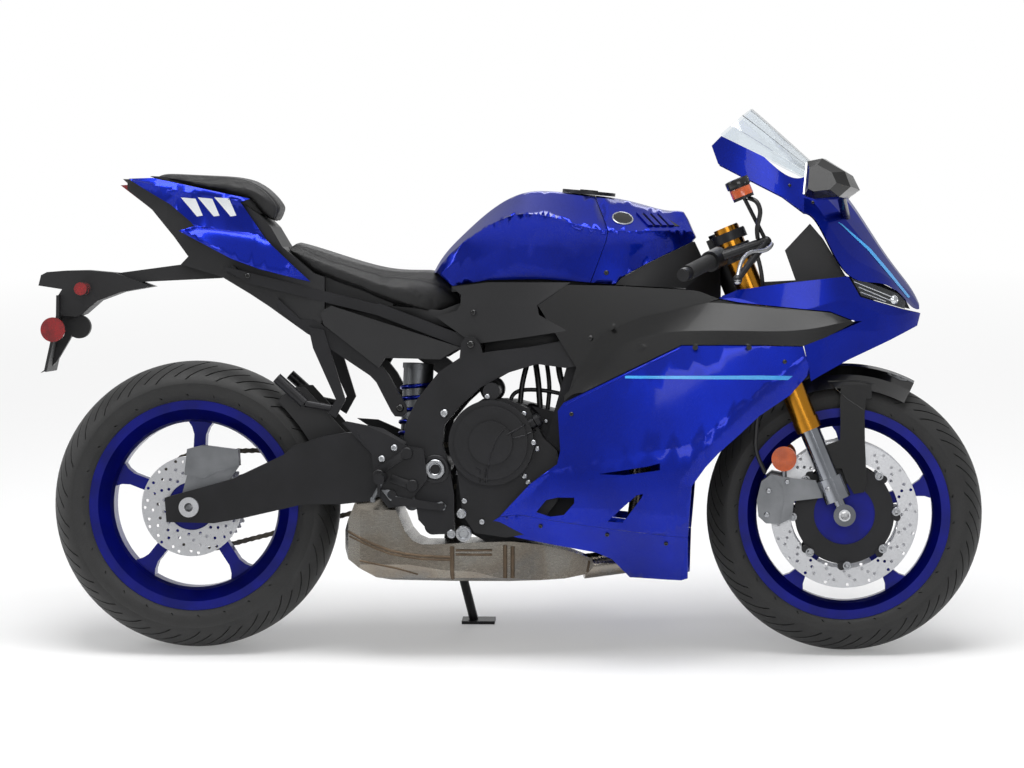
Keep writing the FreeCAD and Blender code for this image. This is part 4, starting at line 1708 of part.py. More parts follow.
# Covers beside and below the tank
UNDER_TANK_SHARES = [
    (0.086, 0.036), (0.121, -0.041), (0.119, -0.136), (0.105, -0.195), (0.024, -0.255),
    (0.147, -0.482), (0.174, -0.523), (0.343, -0.464), (0.521, -0.391), (0.416, -0.236),
    (0.409, -0.141), (0.533, 0.082), (0.219, 0.082),
]
INTAKE_SHARES = [
    (0.412, -0.141), (0.522, 0.059), (0.698, 0.050), (0.993, 0.005), (1.012, -0.005),
    (1.084, -0.077), (0.645, -0.468), (0.557, -0.914), (0.517, -1.077), (0.555, -0.750),
]
REAR_SIDE_SHARES = [
    (0.393, 0.694), (0.405, 0.715), (0.435, 0.741), (0.932, 0.474), (0.909, 0.459),
    (0.851, 0.400), (0.640, 0.409), (0.618, 0.344), (0.407, 0.618),
]
UNDER_TANK_SECTION_SHARES = [
    (0.000, [(0.679, 0.205), (0.715, -0.159), (0.739, -0.614)]),
    (0.138, [(0.752, 0.205), (0.782, -0.159), (0.806, -0.614)]),
    (0.310, [(0.885, 0.205), (0.921, -0.159), (0.945, -0.614)]),
    (0.552, [(0.909, 0.205), (0.958, -0.159), (0.970, -0.614)]),
]
intake_covers = plates("intake", from_shares(
    INTAKE_SHARES, "tank_x", "tank_length", "tank_z", "tank_height"),
    "spar_inner_y + spar_thick + seat_gap", "cover_thick")
under_tank = loft_skin(stations(
    UNDER_TANK_SECTION_SHARES, S.tank_x, S.tank_length, S.tank_half, S.tank_z, S.tank_height), S.cover_thick)
under_tank = under_tank.common(prism(
    outline(UNDER_TANK_SHARES, S.tank_x, S.tank_length, S.tank_z, S.tank_height), 0, tank_reach))
rear_side = plates("rear_side", from_shares(
    REAR_SIDE_SHARES, "rail_x", "rail_length", "rail_z", "rail_height"),
    "subframe_inner_y + rail_thick + seat_gap", "side_cover_thick")
FRONT_COVER_SECTION_SHARES = [
    (0.690, [(0.776, 0.545), (0.800, -0.023)]),
    (0.897, [(0.606, 0.545), (0.655, -0.023)]),
    (1.021, [(0.352, 0.545), (0.388, -0.023)]),
]
FRONT_COVER_SHARES = [
    (0.972, 0.466), (0.986, 0.486), (1.012, 0.341), (1.012, 0.014), (0.983, 0.018),
    (0.698, 0.059), (0.721, 0.127), (0.826, 0.277),
]
front_cover = loft_skin(stations(
    FRONT_COVER_SECTION_SHARES, S.tank_x, S.tank_length, S.tank_half, S.tank_z, S.tank_height), S.skin_thick)
front_cover = front_cover.common(prism(
    outline(FRONT_COVER_SHARES, S.tank_x, S.tank_length, S.tank_z, S.tank_height), 0, tank_reach))
DOC.recompute()
under_tank = under_tank.cut(frame.Shape).cut(intake_covers.Shape)
under_tank = largest(under_tank.cut(rear_side.Shape).cut(rails.Shape))
front_cover = largest(front_cover.cut(frame.Shape).cut(intake_covers.Shape).cut(tank_fit.Shape))
dark_covers = Part.makeCompound([pair(under_tank), rear_side.Shape, pair(front_cover)])
keep(solid_feature("dark_covers", dark_covers), "side_covers")
INTAKE_TAB_SHARES = [(0.34, 0.97), (0.5, 1.02)]
intake_shape = intake_covers.Shape
for share in INTAKE_TAB_SHARES:
    bar = post(share, S.spar_inner_y + S.spar_thick + S.cover_thick * 0.5, S.duct_half, S.skin_thick * 1.5)
    intake_shape = intake_shape.fuse([bar, other_side(bar)])
intake_shape = intake_shape.cut(duct).cut(other_side(duct))
halves = sorted(intake_shape.Solids, key=lambda solid: -solid.Volume)[:2]
keep(solid_feature("intake_pair", Part.makeCompound(halves)), "intake_covers")
keep(solid_feature("duct_pair", pair(duct)), "duct_panels")


def wheel_arc(section, centre, start_turn, sweep):
    """A ring segment about a wheel's axle from a section given as width and radius."""
    points = [V(0, y, r) for y, r in section]
    face = Part.Face(Part.makePolygon(points + points[:1]))
    shape = face.revolve(V(0, 0, 0), V(0, 1, 0), sweep)
    shape.rotate(V(0, 0, 0), V(0, 1, 0), start_turn)
    shape.translate(centre)
    return shape


# Hugger over the rear tyre, carried by the swingarm
HUGGER_SHARES = [(0, 1), (0.6, 0.985), (0.9, 0.945), (1, 0.88)]
HUGGER_LOW_SHARES = [
    (0.496, 1.256), (0.554, 1.391), (0.612, 1.391), (0.782, 0.953), (0.810, 0.907),
    (0.780, 0.767), (0.644, 0.805), (0.584, 1.009), (0.532, 1.153),
]
HUGGER_TURN_SHARES = (0.11, 0.068)


def thin_section(table, half, radius, thick):
    outer = [(half * a, radius * b) for a, b in table]
    inner = [(half * a - (thick if a > 0.99 else 0), radius * b - (thick if a < 0.99 else 0))
             for a, b in table]
    right = outer + list(reversed(inner))
    left = [(-y, r) for y, r in right]
    ring = [(-y, r) for y, r in reversed(outer) if y > 0] + outer
    back = list(reversed(inner)) + [(-y, r) for y, r in inner if y > 0]
    return ring + back


hugger = wheel_arc(thin_section(HUGGER_SHARES, S.hugger_half, S.hugger_radius, S.fender_thick),
                   REAR_AXLE, 360 * HUGGER_TURN_SHARES[0], 360 * HUGGER_TURN_SHARES[1])
arm_top = outline(HUGGER_LOW_SHARES, S.arm_x, S.arm_length, S.arm_z, S.arm_height)
wing = prism(arm_top, S.hugger_half - S.fender_thick * 1.5, S.hugger_half)
HUGGER_STAY_SHARES = (0.756, 0.84)
stay_x = S.arm_x + S.arm_length * HUGGER_STAY_SHARES[0]
stay_z = S.arm_z + S.arm_height * HUGGER_STAY_SHARES[1]
stays = [rod("stay", (stay_x, k * (S.hugger_half - S.fender_thick), stay_z),
             (stay_x, k * (reach - S.seat_gap), stay_z), S.fender_thick * 2.4)
         for k, reach in ((-1, S.arm_right_y), (1, S.arm_left_y))]
keep(solid_feature("hugger_shape", hugger.fuse([wing, other_side(wing)] + stays)), "rear_hugger")

# Rear brake caliper on its carrier
REAR_CALIPER_SHARES = [
    (0.092, 0.507), (0.104, 0.767), (0.168, 0.805), (0.328, 0.758), (0.332, 0.600),
    (0.240, 0.544), (0.180, 0.470),
]
rear_body = extrusion("rear_caliper_body", "side", from_shares(
    REAR_CALIPER_SHARES, "arm_x", "arm_length", "arm_z", "arm_height"),
    "rear_disc_plane + arm_thick * 0.7", "0 - rear_disc_plane + arm_thick * 0.62")
rear_slot = DOC.addObject("Part::Cylinder", "rear_slot")
rear_slot.setExpression("Radius", linked("rear_disc_radius + disc_gap"))
rear_slot.setExpression("Height", linked("rear_disc_thick + 2 * disc_gap"))
rear_slot.Placement = FreeCAD.Placement(
    REAR_AXLE + V(0, -S.rear_disc_plane + S.rear_disc_thick / 2 + S.disc_gap, 0),
    FreeCAD.Rotation(V(1, 0, 0), 90))
CARRIER_SHARES = [
    (0.072, 0.200), (0.080, 0.302), (0.104, 0.507), (0.168, 0.581), (0.240, 0.591),
    (0.332, 0.600), (0.300, 0.488), (0.200, 0.256), (0.164, 0.116), (0.100, 0.098),
]
carrier_plate = extrusion("rear_carrier", "side", from_shares(
    CARRIER_SHARES, "arm_x", "arm_length", "arm_z", "arm_height"),
    "arm_right_y - seat_gap", "0 - arm_right_y + disc_gap * 1.35")
rear_cut = cut_of("rear_caliper_cut", rear_body, rear_slot)
rear_whole = fuse_of("rear_caliper_whole", [rear_cut, carrier_plate])
rear_hole = DOC.addObject("Part::Cylinder", "rear_hole")
rear_hole.setExpression("Radius", linked("rear_axle_radius * 1.4 + seat_gap"))
rear_hole.setExpression("Height", linked("arm_right_y * 2"))
rear_hole.Placement = FreeCAD.Placement(REAR_AXLE, FreeCAD.Rotation(V(1, 0, 0), 90))
caliper_rear = cut_of("rear_caliper_bored", rear_whole, rear_hole)
keep(fitted("rear_caliper_fit", caliper_rear, [arms]), "rear_caliper")

# Rearsets: heel guards, pegs, pedals and the folded passenger pegs
HEEL_SHARES = [
    (0.486, -0.006), (0.568, -0.015), (0.661, -0.082), (0.730, -0.147), (0.793, -0.165),
    (0.807, -0.359), (0.772, -0.435), (0.726, -0.529), (0.660, -0.541), (0.625, -0.471),
    (0.607, -0.376), (0.593, -0.171), (0.544, -0.071),
]
HANGER_SHARES = [
    (0.347, 0.606), (0.407, 0.588), (0.489, 0.141), (0.451, 0.026), (0.421, 0.059),
    (0.453, 0.141), (0.365, 0.471),
]
BRAKE_PEDAL_SHARES = [
    (0.672, -0.465), (0.719, -0.476), (0.861, -0.512), (0.861, -0.556), (0.719, -0.529),
    (0.672, -0.518),
]
DOC.recompute()
rail_out = "subframe_inner_y + rail_thick + seat_gap"
heel = plates("heel_guards", from_shares(HEEL_SHARES, "rail_x", "rail_length", "rail_z", "rail_height"),
              "cover_base_y + seat_gap * 2", "rail_thick * 0.5")
hanger = plates("peg_hangers", from_shares(
    HANGER_SHARES, "rail_x", "rail_length", "rail_z", "rail_height"), rail_out, "rail_thick * 0.5")
pedal = plates("foot_pedals", from_shares(
    BRAKE_PEDAL_SHARES, "rail_x", "rail_length", "rail_z", "rail_height"),
    "cover_base_y + rail_thick * 0.5 + seat_gap * 2", "rail_thick * 0.5")
PEG_SHARES = [(0.637, -0.347), (0.673, -0.456), (0.863, -0.529), (0.228, 0.282), (0.335, 0.12)]


def rail_spot(share, y):
    return (S.rail_x + S.rail_length * share[0], y, S.rail_z + S.rail_height * share[1])


guard_y = S.cover_base_y + S.seat_gap * 2
BOSS_SHARES = [(0.781, -0.2), (0.79, -0.33)]
peg_out = guard_y + S.rail_thick * 5.4
peg = rod("peg", rail_spot(PEG_SHARES[0], guard_y + S.seat_gap * 3), rail_spot(PEG_SHARES[0], peg_out),
          S.rail_thick * 0.6)
feeler = rod("feeler", rail_spot(PEG_SHARES[0], peg_out - S.rail_thick * 0.4),
             (rail_spot(PEG_SHARES[0], 0)[0], peg_out - S.rail_thick * 0.4,
              S.rail_z + S.rail_height * PEG_SHARES[1][1]), S.rail_thick * 0.2)
arm = rod("pedal_arm", rail_spot((PEG_SHARES[1][0], PEG_SHARES[1][1]), guard_y + S.seat_gap * 3),
          rail_spot((PEG_SHARES[1][0], PEG_SHARES[1][1]), guard_y + S.rail_thick), S.rail_thick * 0.5)
toe = rod("toe", rail_spot(PEG_SHARES[2], guard_y + S.rail_thick * 0.6),
          rail_spot(PEG_SHARES[2], guard_y + S.rail_thick * 2.6), S.rail_thick * 0.4)
rear_peg = rod("rear_peg", rail_spot(PEG_SHARES[3], S.subframe_inner_y + S.rail_thick * 1.9),
               rail_spot(PEG_SHARES[4], S.subframe_inner_y + S.rail_thick * 1.9), S.rail_thick * 0.62)
link = rod("peg_link", rail_spot(PEG_SHARES[4], S.subframe_inner_y + S.rail_thick * 1.9),
           rail_spot((0.43, 0.09), S.subframe_inner_y + S.rail_thick * 1.3), S.rail_thick * 0.42)
DOC.recompute()
bosses = [rod("boss", rail_spot(spot, S.spar_inner_y + S.spar_thick + S.seat_gap),
              rail_spot(spot, guard_y + S.seat_gap * 3), S.rail_thick * 0.42) for spot in BOSS_SHARES]
rest_side = peg.fuse([feeler, arm, toe] + bosses)
rest_rear = rear_peg.fuse(link)
rests = Part.makeCompound([heel.Shape.fuse([pedal.Shape, rest_side, other_side(rest_side)]),
                           hanger.Shape.fuse([rest_rear, other_side(rest_rear)])])
keep(solid_feature("rests", rests), "footrests")

# Side stand: bracket on the frame, lug, leg and foot standing on the ground
SPLAY = math.radians(S.stand_splay)
SWING = math.radians(S.stand_forward)
STAND_AXIS = V(0, math.cos(SPLAY), math.sin(SPLAY))
STAND_PIVOT = V(S.stand_pivot_x, S.stand_pivot_y, S.stand_pivot_z)
leg_line = V(math.tan(SWING), math.tan(SPLAY), -1)
leg_line.normalize()
LEAN_RAD = math.radians(S.lean_angle)


def leaned_height(point):
    return point.z * math.cos(LEAN_RAD) - point.y * math.sin(LEAN_RAD)


def tyre_low(axle, radius, half):
    """How low a leaned tyre reaches, at the inner edge of its crown."""
    return leaned_height(axle + V(0, half * TYRE_SHARES[0][0], -radius))


rear_low = tyre_low(REAR_AXLE, S.rear_tyre_radius, S.rear_tyre_half)
front_low = tyre_low(FRONT_AXLE, S.front_tyre_radius, S.front_tyre_half)
fall = -(leaned_height(STAND_PIVOT + leg_line) - leaned_height(STAND_PIVOT))
ground = rear_low + (front_low - rear_low) * S.stand_pivot_x / S.wheelbase
leg_length = (leaned_height(STAND_PIVOT) - ground - S.stand_foot_thick) / fall
foot_spot = STAND_PIVOT + leg_line * leg_length
STAND_TURN = FreeCAD.Rotation(V(0, 0, 1), STAND_AXIS)
lug = Part.makeCylinder(S.stand_lug_radius, S.stand_lug_thick)
lug.Placement = FreeCAD.Placement(STAND_PIVOT - STAND_AXIS * (S.stand_lug_thick / 2), STAND_TURN)
lug_side = STAND_AXIS.cross(leg_line)


def lug_block(start, end, wide, thick, middle=V(0, 0, 0)):
    """A flat tongue along the leg, across the pivot's axis."""
    points = []
    for a, b in ((start, -wide / 2), (end, -wide / 2), (end, wide / 2), (start, wide / 2)):
        points.append(STAND_PIVOT + leg_line * a + lug_side * b - STAND_AXIS * (thick / 2) + middle)
    return Part.Face(Part.makePolygon(points + points[:1])).extrude(STAND_AXIS * thick)


tongue = lug_block(0, S.stand_lug_radius * 2.2, S.stand_lug_radius * 1.2, S.stand_lug_thick)
leg_start = STAND_PIVOT + leg_line * S.stand_lug_radius * 1.6
leg_rod = rod("leg", leg_start, foot_spot + leg_line * (S.stand_foot_thick * 0.4), S.stand_radius)
pad_box = Part.makeBox(S.stand_foot_length, S.stand_foot_wide, S.stand_foot_thick,
                       V(-S.stand_foot_length * 0.35, -S.stand_foot_wide / 2, -S.stand_foot_thick))
pad_box.Placement = FreeCAD.Placement(foot_spot, FreeCAD.Rotation(V(1, 0, 0), S.lean_angle))
pin_hole = Part.makeCylinder(S.stand_lug_radius * 0.4 + S.run_clear, S.stand_lug_thick * 4)
pin_hole.Placement = FreeCAD.Placement(STAND_PIVOT - STAND_AXIS * (S.stand_lug_thick * 2), STAND_TURN)
bracket_wide = S.stand_lug_thick + S.seat_gap * 2 + S.skin_thick * 3
cheeks = Part.makeCylinder(S.stand_lug_radius * 0.9, bracket_wide)
cheeks.Placement = FreeCAD.Placement(STAND_PIVOT - STAND_AXIS * (bracket_wide / 2), STAND_TURN)
block = Part.makeBox(S.stand_lug_radius * 1.8, S.spar_thick, S.stand_lug_radius * 1.6,
                     V(S.stand_pivot_x - S.stand_lug_radius * 0.9, S.spar_inner_y, S.stand_pivot_z))
slot = Part.makeCylinder(S.stand_lug_radius * 1.12, S.stand_lug_thick + S.seat_gap * 2)
slot.Placement = FreeCAD.Placement(
    STAND_PIVOT - STAND_AXIS * (S.stand_lug_thick / 2 + S.seat_gap), STAND_TURN)
bolt = Part.makeCylinder(S.stand_lug_radius * 0.4, bracket_wide + S.skin_thick)
bolt.Placement = FreeCAD.Placement(
    STAND_PIVOT - STAND_AXIS * (bracket_wide / 2 + S.skin_thick / 2), STAND_TURN)
holder = largest(cheeks.fuse(block).cut(slot).fuse(bolt).cut(frame.Shape))
keep(solid_feature("stand_holder", holder), "stand_bracket")
stand = lug.fuse([tongue, leg_rod, pad_box]).cut(pin_hole)
keep(solid_feature("stand", stand.removeSplitter()), "side_stand")

# Steering: triple clamps on the stem
def clamp_plate(z, thick, with_stem):
    shape = Part.makeBox(S.clamp_ear_radius * 1.75, S.clamp_ear_radius * 2.2, thick,
                         V(-S.stem_radius * 1.5, -S.clamp_ear_radius * 1.1, -thick / 2))
    web = Part.makeBox(S.clamp_ear_radius * 1.25, S.fork_half_track * 2, thick * 0.8,
                       V(-S.stem_radius * 0.3, -S.fork_half_track, -thick * 0.4))
    ears = [Part.makeCylinder(S.clamp_ear_radius, thick, V(S.fork_offset, k * S.fork_half_track, -thick / 2))
            for k in (-1, 1)]
    tubes = [Part.makeCylinder(S.fork_tube_radius + S.seat_gap, S.overrun * 4,
                               V(S.fork_offset, k * S.fork_half_track, -S.overrun * 2)) for k in (-1, 1)]
    shape = shape.fuse([web] + ears).cut(tubes[0]).cut(tubes[1])
    shape.Placement = FreeCAD.Placement(on_steering(z), STEER_TILT)
    return shape


stem_low = on_steering(S.lower_clamp_z) - STEER_UP * (S.lower_clamp_thick / 2)
stem_high = on_steering(S.upper_clamp_z) + STEER_UP * (S.upper_clamp_thick * 0.9)
stem = Part.makeCylinder(S.stem_radius, (stem_high - stem_low).Length, stem_low, STEER_UP)
stem_hole = Part.makeCylinder(S.stem_bore, S.stem_bore_deep + S.overrun,
                              stem_low - STEER_UP * S.overrun, STEER_UP)
clamps = clamp_plate(S.lower_clamp_z, S.lower_clamp_thick, True).fuse(
    [clamp_plate(S.upper_clamp_z, S.upper_clamp_thick, True), stem])
keep(solid_feature("clamps", clamps.cut(stem_hole).removeSplitter()), "triple_clamps")

# Fork: gold outer tubes over plated legs with axle clamps
tubes = []
legs = []
for k in (-1, 1):
    y = k * S.fork_half_track
    low = on_leg(S.fork_seal_z, y)
    high = on_leg(S.fork_top_z, y)
    tube = Part.makeCylinder(S.fork_tube_radius, (high - low).Length, low, STEER_UP)
    collar = Part.makeCylinder(S.fork_collar_radius, S.fork_collar_high, low, STEER_UP)
    tubes.append(tube.fuse(collar))
    foot = on_leg(S.fork_clamp_low_z, y)
    clamp_top = on_leg(S.fork_clamp_z, y)
    leg = Part.makeCylinder(S.fork_leg_radius, (low - foot).Length - S.seat_gap, foot, STEER_UP)
    clamp = Part.makeCylinder(S.fork_clamp_radius, (clamp_top - foot).Length, foot, STEER_UP)
    axle_at = V(FRONT_AXLE.x, y, FRONT_AXLE.z)
    shank = Part.makeCylinder(S.axle_boss_wide * 0.46, (foot - axle_at).Length, axle_at, STEER_UP)
    boss = Part.makeCylinder(S.axle_boss_radius, S.axle_boss_wide,
                             axle_at - V(0, S.axle_boss_wide / 2, 0), V(0, 1, 0))
    bore = Part.makeCylinder(S.front_axle_radius + S.run_clear, S.axle_boss_wide * 2,
                             axle_at - V(0, S.axle_boss_wide, 0), V(0, 1, 0))
    legs.append(leg.fuse([clamp, shank, boss]).cut(bore))
keep(solid_feature("tubes", Part.makeCompound(tubes)), "fork_tubes")
keep(solid_feature("legs", Part.makeCompound([leg.removeSplitter() for leg in legs])), "fork_legs")

# Front axle with collars between the hub and the fork
axle = Part.makeCylinder(S.front_axle_radius, S.front_axle_half * 2,
                         FRONT_AXLE - V(0, S.front_axle_half, 0), V(0, 1, 0))
collar_start = S.front_hub_half + S.seat_gap
collar_long = S.fork_half_track - S.axle_boss_wide / 2 - S.seat_gap - collar_start
parts = [axle]
for k in (-1, 1):
    end = FRONT_AXLE + V(0, k * collar_start, 0)
    parts.append(Part.makeCylinder(S.front_axle_radius * 1.5, collar_long, end, V(0, k, 0)))
axle_bore = Part.makeCylinder(S.front_axle_bore, S.front_axle_half * 2 + S.overrun,
                              FRONT_AXLE - V(0, S.front_axle_half + S.overrun / 2, 0), V(0, 1, 0))
keep(solid_feature("axle", parts[0].fuse(parts[1:]).cut(axle_bore).removeSplitter()), "front_axle")

# Clip-on handlebars, rubber grips and end weights
bars = []
grips = []
controls = []
for k in (-1, 1):
    inner = V(S.bar_inner_x, k * S.bar_inner_y, S.bar_inner_z)
    outer = V(S.bar_end_x, k * S.bar_end_y, S.bar_end_z)
    along = outer - inner
    along.normalize()
    tube_at = on_leg(S.bar_clamp_z, k * S.fork_half_track)
    ring = Part.makeCylinder(S.bar_clamp_radius, S.bar_clamp_high,
                             tube_at - STEER_UP * (S.bar_clamp_high / 2), STEER_UP)
    hollow = Part.makeCylinder(S.fork_tube_radius + S.seat_gap, S.bar_clamp_high + S.overrun * 2,
                               tube_at - STEER_UP * (S.bar_clamp_high / 2 + S.overrun), STEER_UP)
    bar = Part.makeCylinder(S.bar_radius, (outer - inner).Length, inner, along)
    weight = Part.makeCylinder(S.bar_weight_radius, S.bar_weight_length, outer, along)
    bars.append(ring.fuse([bar, weight]).cut(hollow).removeSplitter())
    grip_start = outer - along * (S.grip_length + S.seat_gap)
    grip = Part.makeCylinder(S.grip_radius, S.grip_length, grip_start, along)
    grips.append(grip.cut(Part.makeCylinder(S.bar_radius + S.seat_gap, S.grip_length * 2,
                                            grip_start - along * S.overrun, along)))
    # Switch housing, lever with its perch, on each bar
    switch = Part.makeCylinder(S.grip_radius * 1.35, S.grip_length * 0.42,
                               grip_start - along * (S.grip_length * 0.43), along)
    perch_at = grip_start - along * (S.grip_length * 0.22)
    ahead = V(S.lever_pivot_x, k * S.lever_pivot_y, S.lever_pivot_z)
    perch = rod("perch", perch_at, ahead, S.grip_radius * 0.62)
    tip = V(S.lever_tip_x, k * S.lever_tip_y, S.lever_tip_z)
    lever = rod("lever", ahead, tip, S.grip_radius * 0.42)
    ball = Part.makeSphere(S.grip_radius * 0.62, tip)
    knuckle = Part.makeSphere(S.grip_radius * 0.65, ahead)
    control = switch.fuse([perch, lever, ball, knuckle])
    control = control.cut(Part.makeCylinder(S.bar_radius + S.seat_gap, S.grip_length * 3,
                                            grip_start - along * S.grip_length * 1.5, along))
    controls.append(control.removeSplitter())
pot_at = V(S.reservoir_x, -S.reservoir_y, S.reservoir_z)
pot = Part.makeCylinder(S.reservoir_radius, S.reservoir_high, pot_at, STEER_UP)
lid_at = pot_at + STEER_UP * (S.reservoir_high * 0.62)
pot = pot.fuse(Part.makeCylinder(S.reservoir_radius * 1.12, S.reservoir_high * 0.38, lid_at, STEER_UP))
stay = rod("pot_stay", pot_at + STEER_UP * (S.reservoir_high * 0.3),
           V(S.lever_pivot_x, -S.lever_pivot_y, S.lever_pivot_z), S.grip_radius * 0.26)
controls[0] = controls[0].fuse([pot, stay])
keep(solid_feature("bars", Part.makeCompound(bars)), "handlebars")
keep(solid_feature("grip_pair", Part.makeCompound(grips)), "grips")
keep(solid_feature("control_pair", Part.makeCompound(controls)), "bar_controls")

# Front fender with its stays
FENDER_SHARES = [(0, 1), (0.55, 0.985), (0.9, 0.93), (1, 0.84)]
FENDER_TURN_SHARES = (-0.0775, 0.155)
STAY_SHARES = [
    (-0.031, 0.737), (-0.028, 0.614), (-0.031, 0.497), (-0.209, 0.430), (-0.202, 0.301),
    (-0.018, 0.307), (0.012, 0.221), (0.061, 0.138), (0.129, 0.148), (0.147, 0.221),
    (0.135, 0.460), (0.132, 0.669), (0.144, 0.798), (0.061, 0.844), (-0.025, 0.844),
]
fender = wheel_arc(thin_section(FENDER_SHARES, S.fender_half, S.fender_radius, S.fender_thick),
                   FRONT_AXLE, 360 * FENDER_TURN_SHARES[0], 360 * FENDER_TURN_SHARES[1])
stay_flat = outline(STAY_SHARES, S.wheelbase, S.fender_radius, S.front_tyre_radius, S.fender_radius)
stay_thick = S.fender_thick * 1.45
stay_in = S.fork_half_track - S.fork_leg_radius - S.seat_gap - stay_thick
stay_plate = prism(stay_flat, stay_in, stay_in + stay_thick)
stay_arm = Part.makeBox(S.fork_leg_radius * 3, stay_in - S.fender_half + S.fender_thick * 2,
                        S.fork_leg_radius * 1.4,
                        V(S.wheelbase - S.fork_leg_radius * 0.3, S.fender_half - S.fender_thick * 0.8,
                          S.front_tyre_radius + S.fender_radius * 0.77))
stay_low = rod("stay_low", (S.wheelbase + S.fork_leg_radius, stay_in + S.fender_thick * 0.8,
                            S.fork_clamp_low_z + S.fork_leg_radius * 1.2),
               (S.wheelbase - S.fork_leg_radius * 0.6, S.fork_half_track - S.fork_leg_radius * 0.5,
                S.fork_clamp_low_z + S.fork_leg_radius * 1.2), S.fork_leg_radius * 0.35)
stays = stay_plate.fuse([stay_arm])
keep(solid_feature("fender_shape", fender.fuse([stays, other_side(stays)])), "front_fender")

# Front brake calipers with their arms to the axle clamps
CALIPER_SHARES = [
    (0.071, 0.161), (0.024, 0.464), (0.143, 0.839), (0.405, 0.982), (0.857, 0.911),
    (1.000, 0.554), (0.929, 0.125), (0.619, 0.018), (0.262, 0.027),
]
CALIPER_ARM_SHARES = [
    (0.405, 0.982), (0.857, 0.911), (1.905, 0.839), (2.000, 0.554), (1.000, 0.464),
    (0.857, 0.196), (0.619, 0.054), (0.738, 0.464), (0.690, 0.732),
]
slot = Part.makeCylinder(S.front_disc_radius + S.disc_gap, S.front_disc_thick + 2 * S.disc_gap,
                         FRONT_AXLE + V(0, S.front_disc_plane - S.front_disc_thick / 2 - S.disc_gap, 0),
                         V(0, 1, 0))
block = prism(outline(CALIPER_SHARES, S.caliper_x, S.caliper_length, S.caliper_z, S.caliper_height),
              S.caliper_inner_y, S.caliper_outer_y)
arm_y = S.caliper_outer_y - 1
holder = prism(outline(CALIPER_ARM_SHARES, S.caliper_x, S.caliper_length, S.caliper_z, S.caliper_height),
               arm_y - S.disc_gap, arm_y + S.disc_gap)
ring_slot = Part.makeCylinder(S.bobbin_circle + S.bobbin_radius + S.disc_gap,
                              S.front_disc_plane + S.front_disc_thick / 2 + S.disc_gap,
                              FRONT_AXLE, V(0, 1, 0))
reflector_arm = rod("reflector_arm",
                    (S.front_reflector_x, S.front_reflector_y - S.seat_gap, S.front_reflector_z),
                    (S.front_reflector_x, S.caliper_outer_y - S.disc_gap,
                     S.caliper_z + S.caliper_height * 0.86),
                    S.disc_gap)
caliper = block.fuse([holder, reflector_arm]).cut(slot).cut(ring_slot)
caliper = caliper.cut(Part.makeCylinder(
    S.fork_clamp_radius + S.seat_gap, S.caliper_height,
    on_leg(S.fork_clamp_low_z - S.overrun, S.fork_half_track), STEER_UP))
caliper = caliper.removeSplitter()

# Orange reflectors at the fork
reflector = Part.makeCylinder(S.reflector_radius, S.reflector_thick,
                              V(S.front_reflector_x, S.front_reflector_y, S.front_reflector_z), V(0, 1, 0))
keep(solid_feature("reflector_pair", pair(reflector)), "front_reflectors")
keep(solid_feature("caliper_pair", pair(largest(caliper.cut(reflector)))), "front_calipers")

# Brake hose from the lever down to the right caliper
HOSE_SHARES = [
    (-0.048, 1.838, 5.411),
    (0.143, 1.638, 4.929),
    (0.226, 1.457, 4.125),
    (0.179, 1.400, 3.054),
    (0.024, 1.238, 2.071),
    (-0.024, 1.029, 1.446),
    (0.238, 0.838, 1.009),
]
hose = pipe([(S.caliper_x + S.caliper_length * a, -S.fork_half_track * b, S.caliper_z + S.caliper_height * c)
             for a, b, c in HOSE_SHARES], S.hose_radius)
keep(solid_feature("hose_right", largest(hose.cut(controls[0]))), "brake_hose")


# The finished sub-parts are leaned over and stood on the ground under the bike's middle
LEAN = FreeCAD.Placement(V(0, 0, 0), FreeCAD.Rotation(V(1, 0, 0), -S.lean_angle))
DOC.recompute()
for obj in DOC.Objects:
    states = set(obj.State) & {"Invalid", "Error"}
    if states:
        raise RuntimeError("failed object: %s %s" % (obj.Label, obj.State))
bounds = FreeCAD.BoundBox()
for label, obj, local in NODES:
    obj.Placement = LEAN * local
DOC.recompute()
for label, obj, local in NODES:
    bounds.add(obj.Shape.optimalBoundingBox(False))
SHIFT = FreeCAD.Placement(V(-(bounds.XMin + bounds.XMax) / 2, -(bounds.YMin + bounds.YMax) / 2,
                            -bounds.ZMin), FreeCAD.Rotation())
for label, obj, local in NODES:
    obj.Placement = SHIFT * LEAN * local
DOC.recompute()
for label, obj, local in NODES:
    if obj.Shape.isNull() or not obj.Shape.isValid() or obj.Shape.Volume <= 0:
        raise RuntimeError("bad shape: %s" % label)
os.makedirs("parts", exist_ok=True)
for label, obj, local in NODES:
    obj.Shape.exportStep("parts/%s.step" % label)
print("pieces", len(NODES), "size", [round(v) for v in (bounds.XLength, bounds.YLength, bounds.ZLength)])
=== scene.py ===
# %% [markdown]
# # A full-fairing sport bike, dressed around its CAD frame
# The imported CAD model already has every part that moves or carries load, at its real size and place.
# Blender only adds what the eye looks for next: paint, rubber, vinyl, tread, drilled discs, chain
# links, bolts and hoses.
# The frame is loaded first, and nothing in it is moved afterwards.

# %% Load the frame
import json
import math

import bmesh
import bpy
from mathutils import Matrix, Vector
from mathutils.bvhtree import BVHTree
from mathutils.interpolate import poly_3d_calc


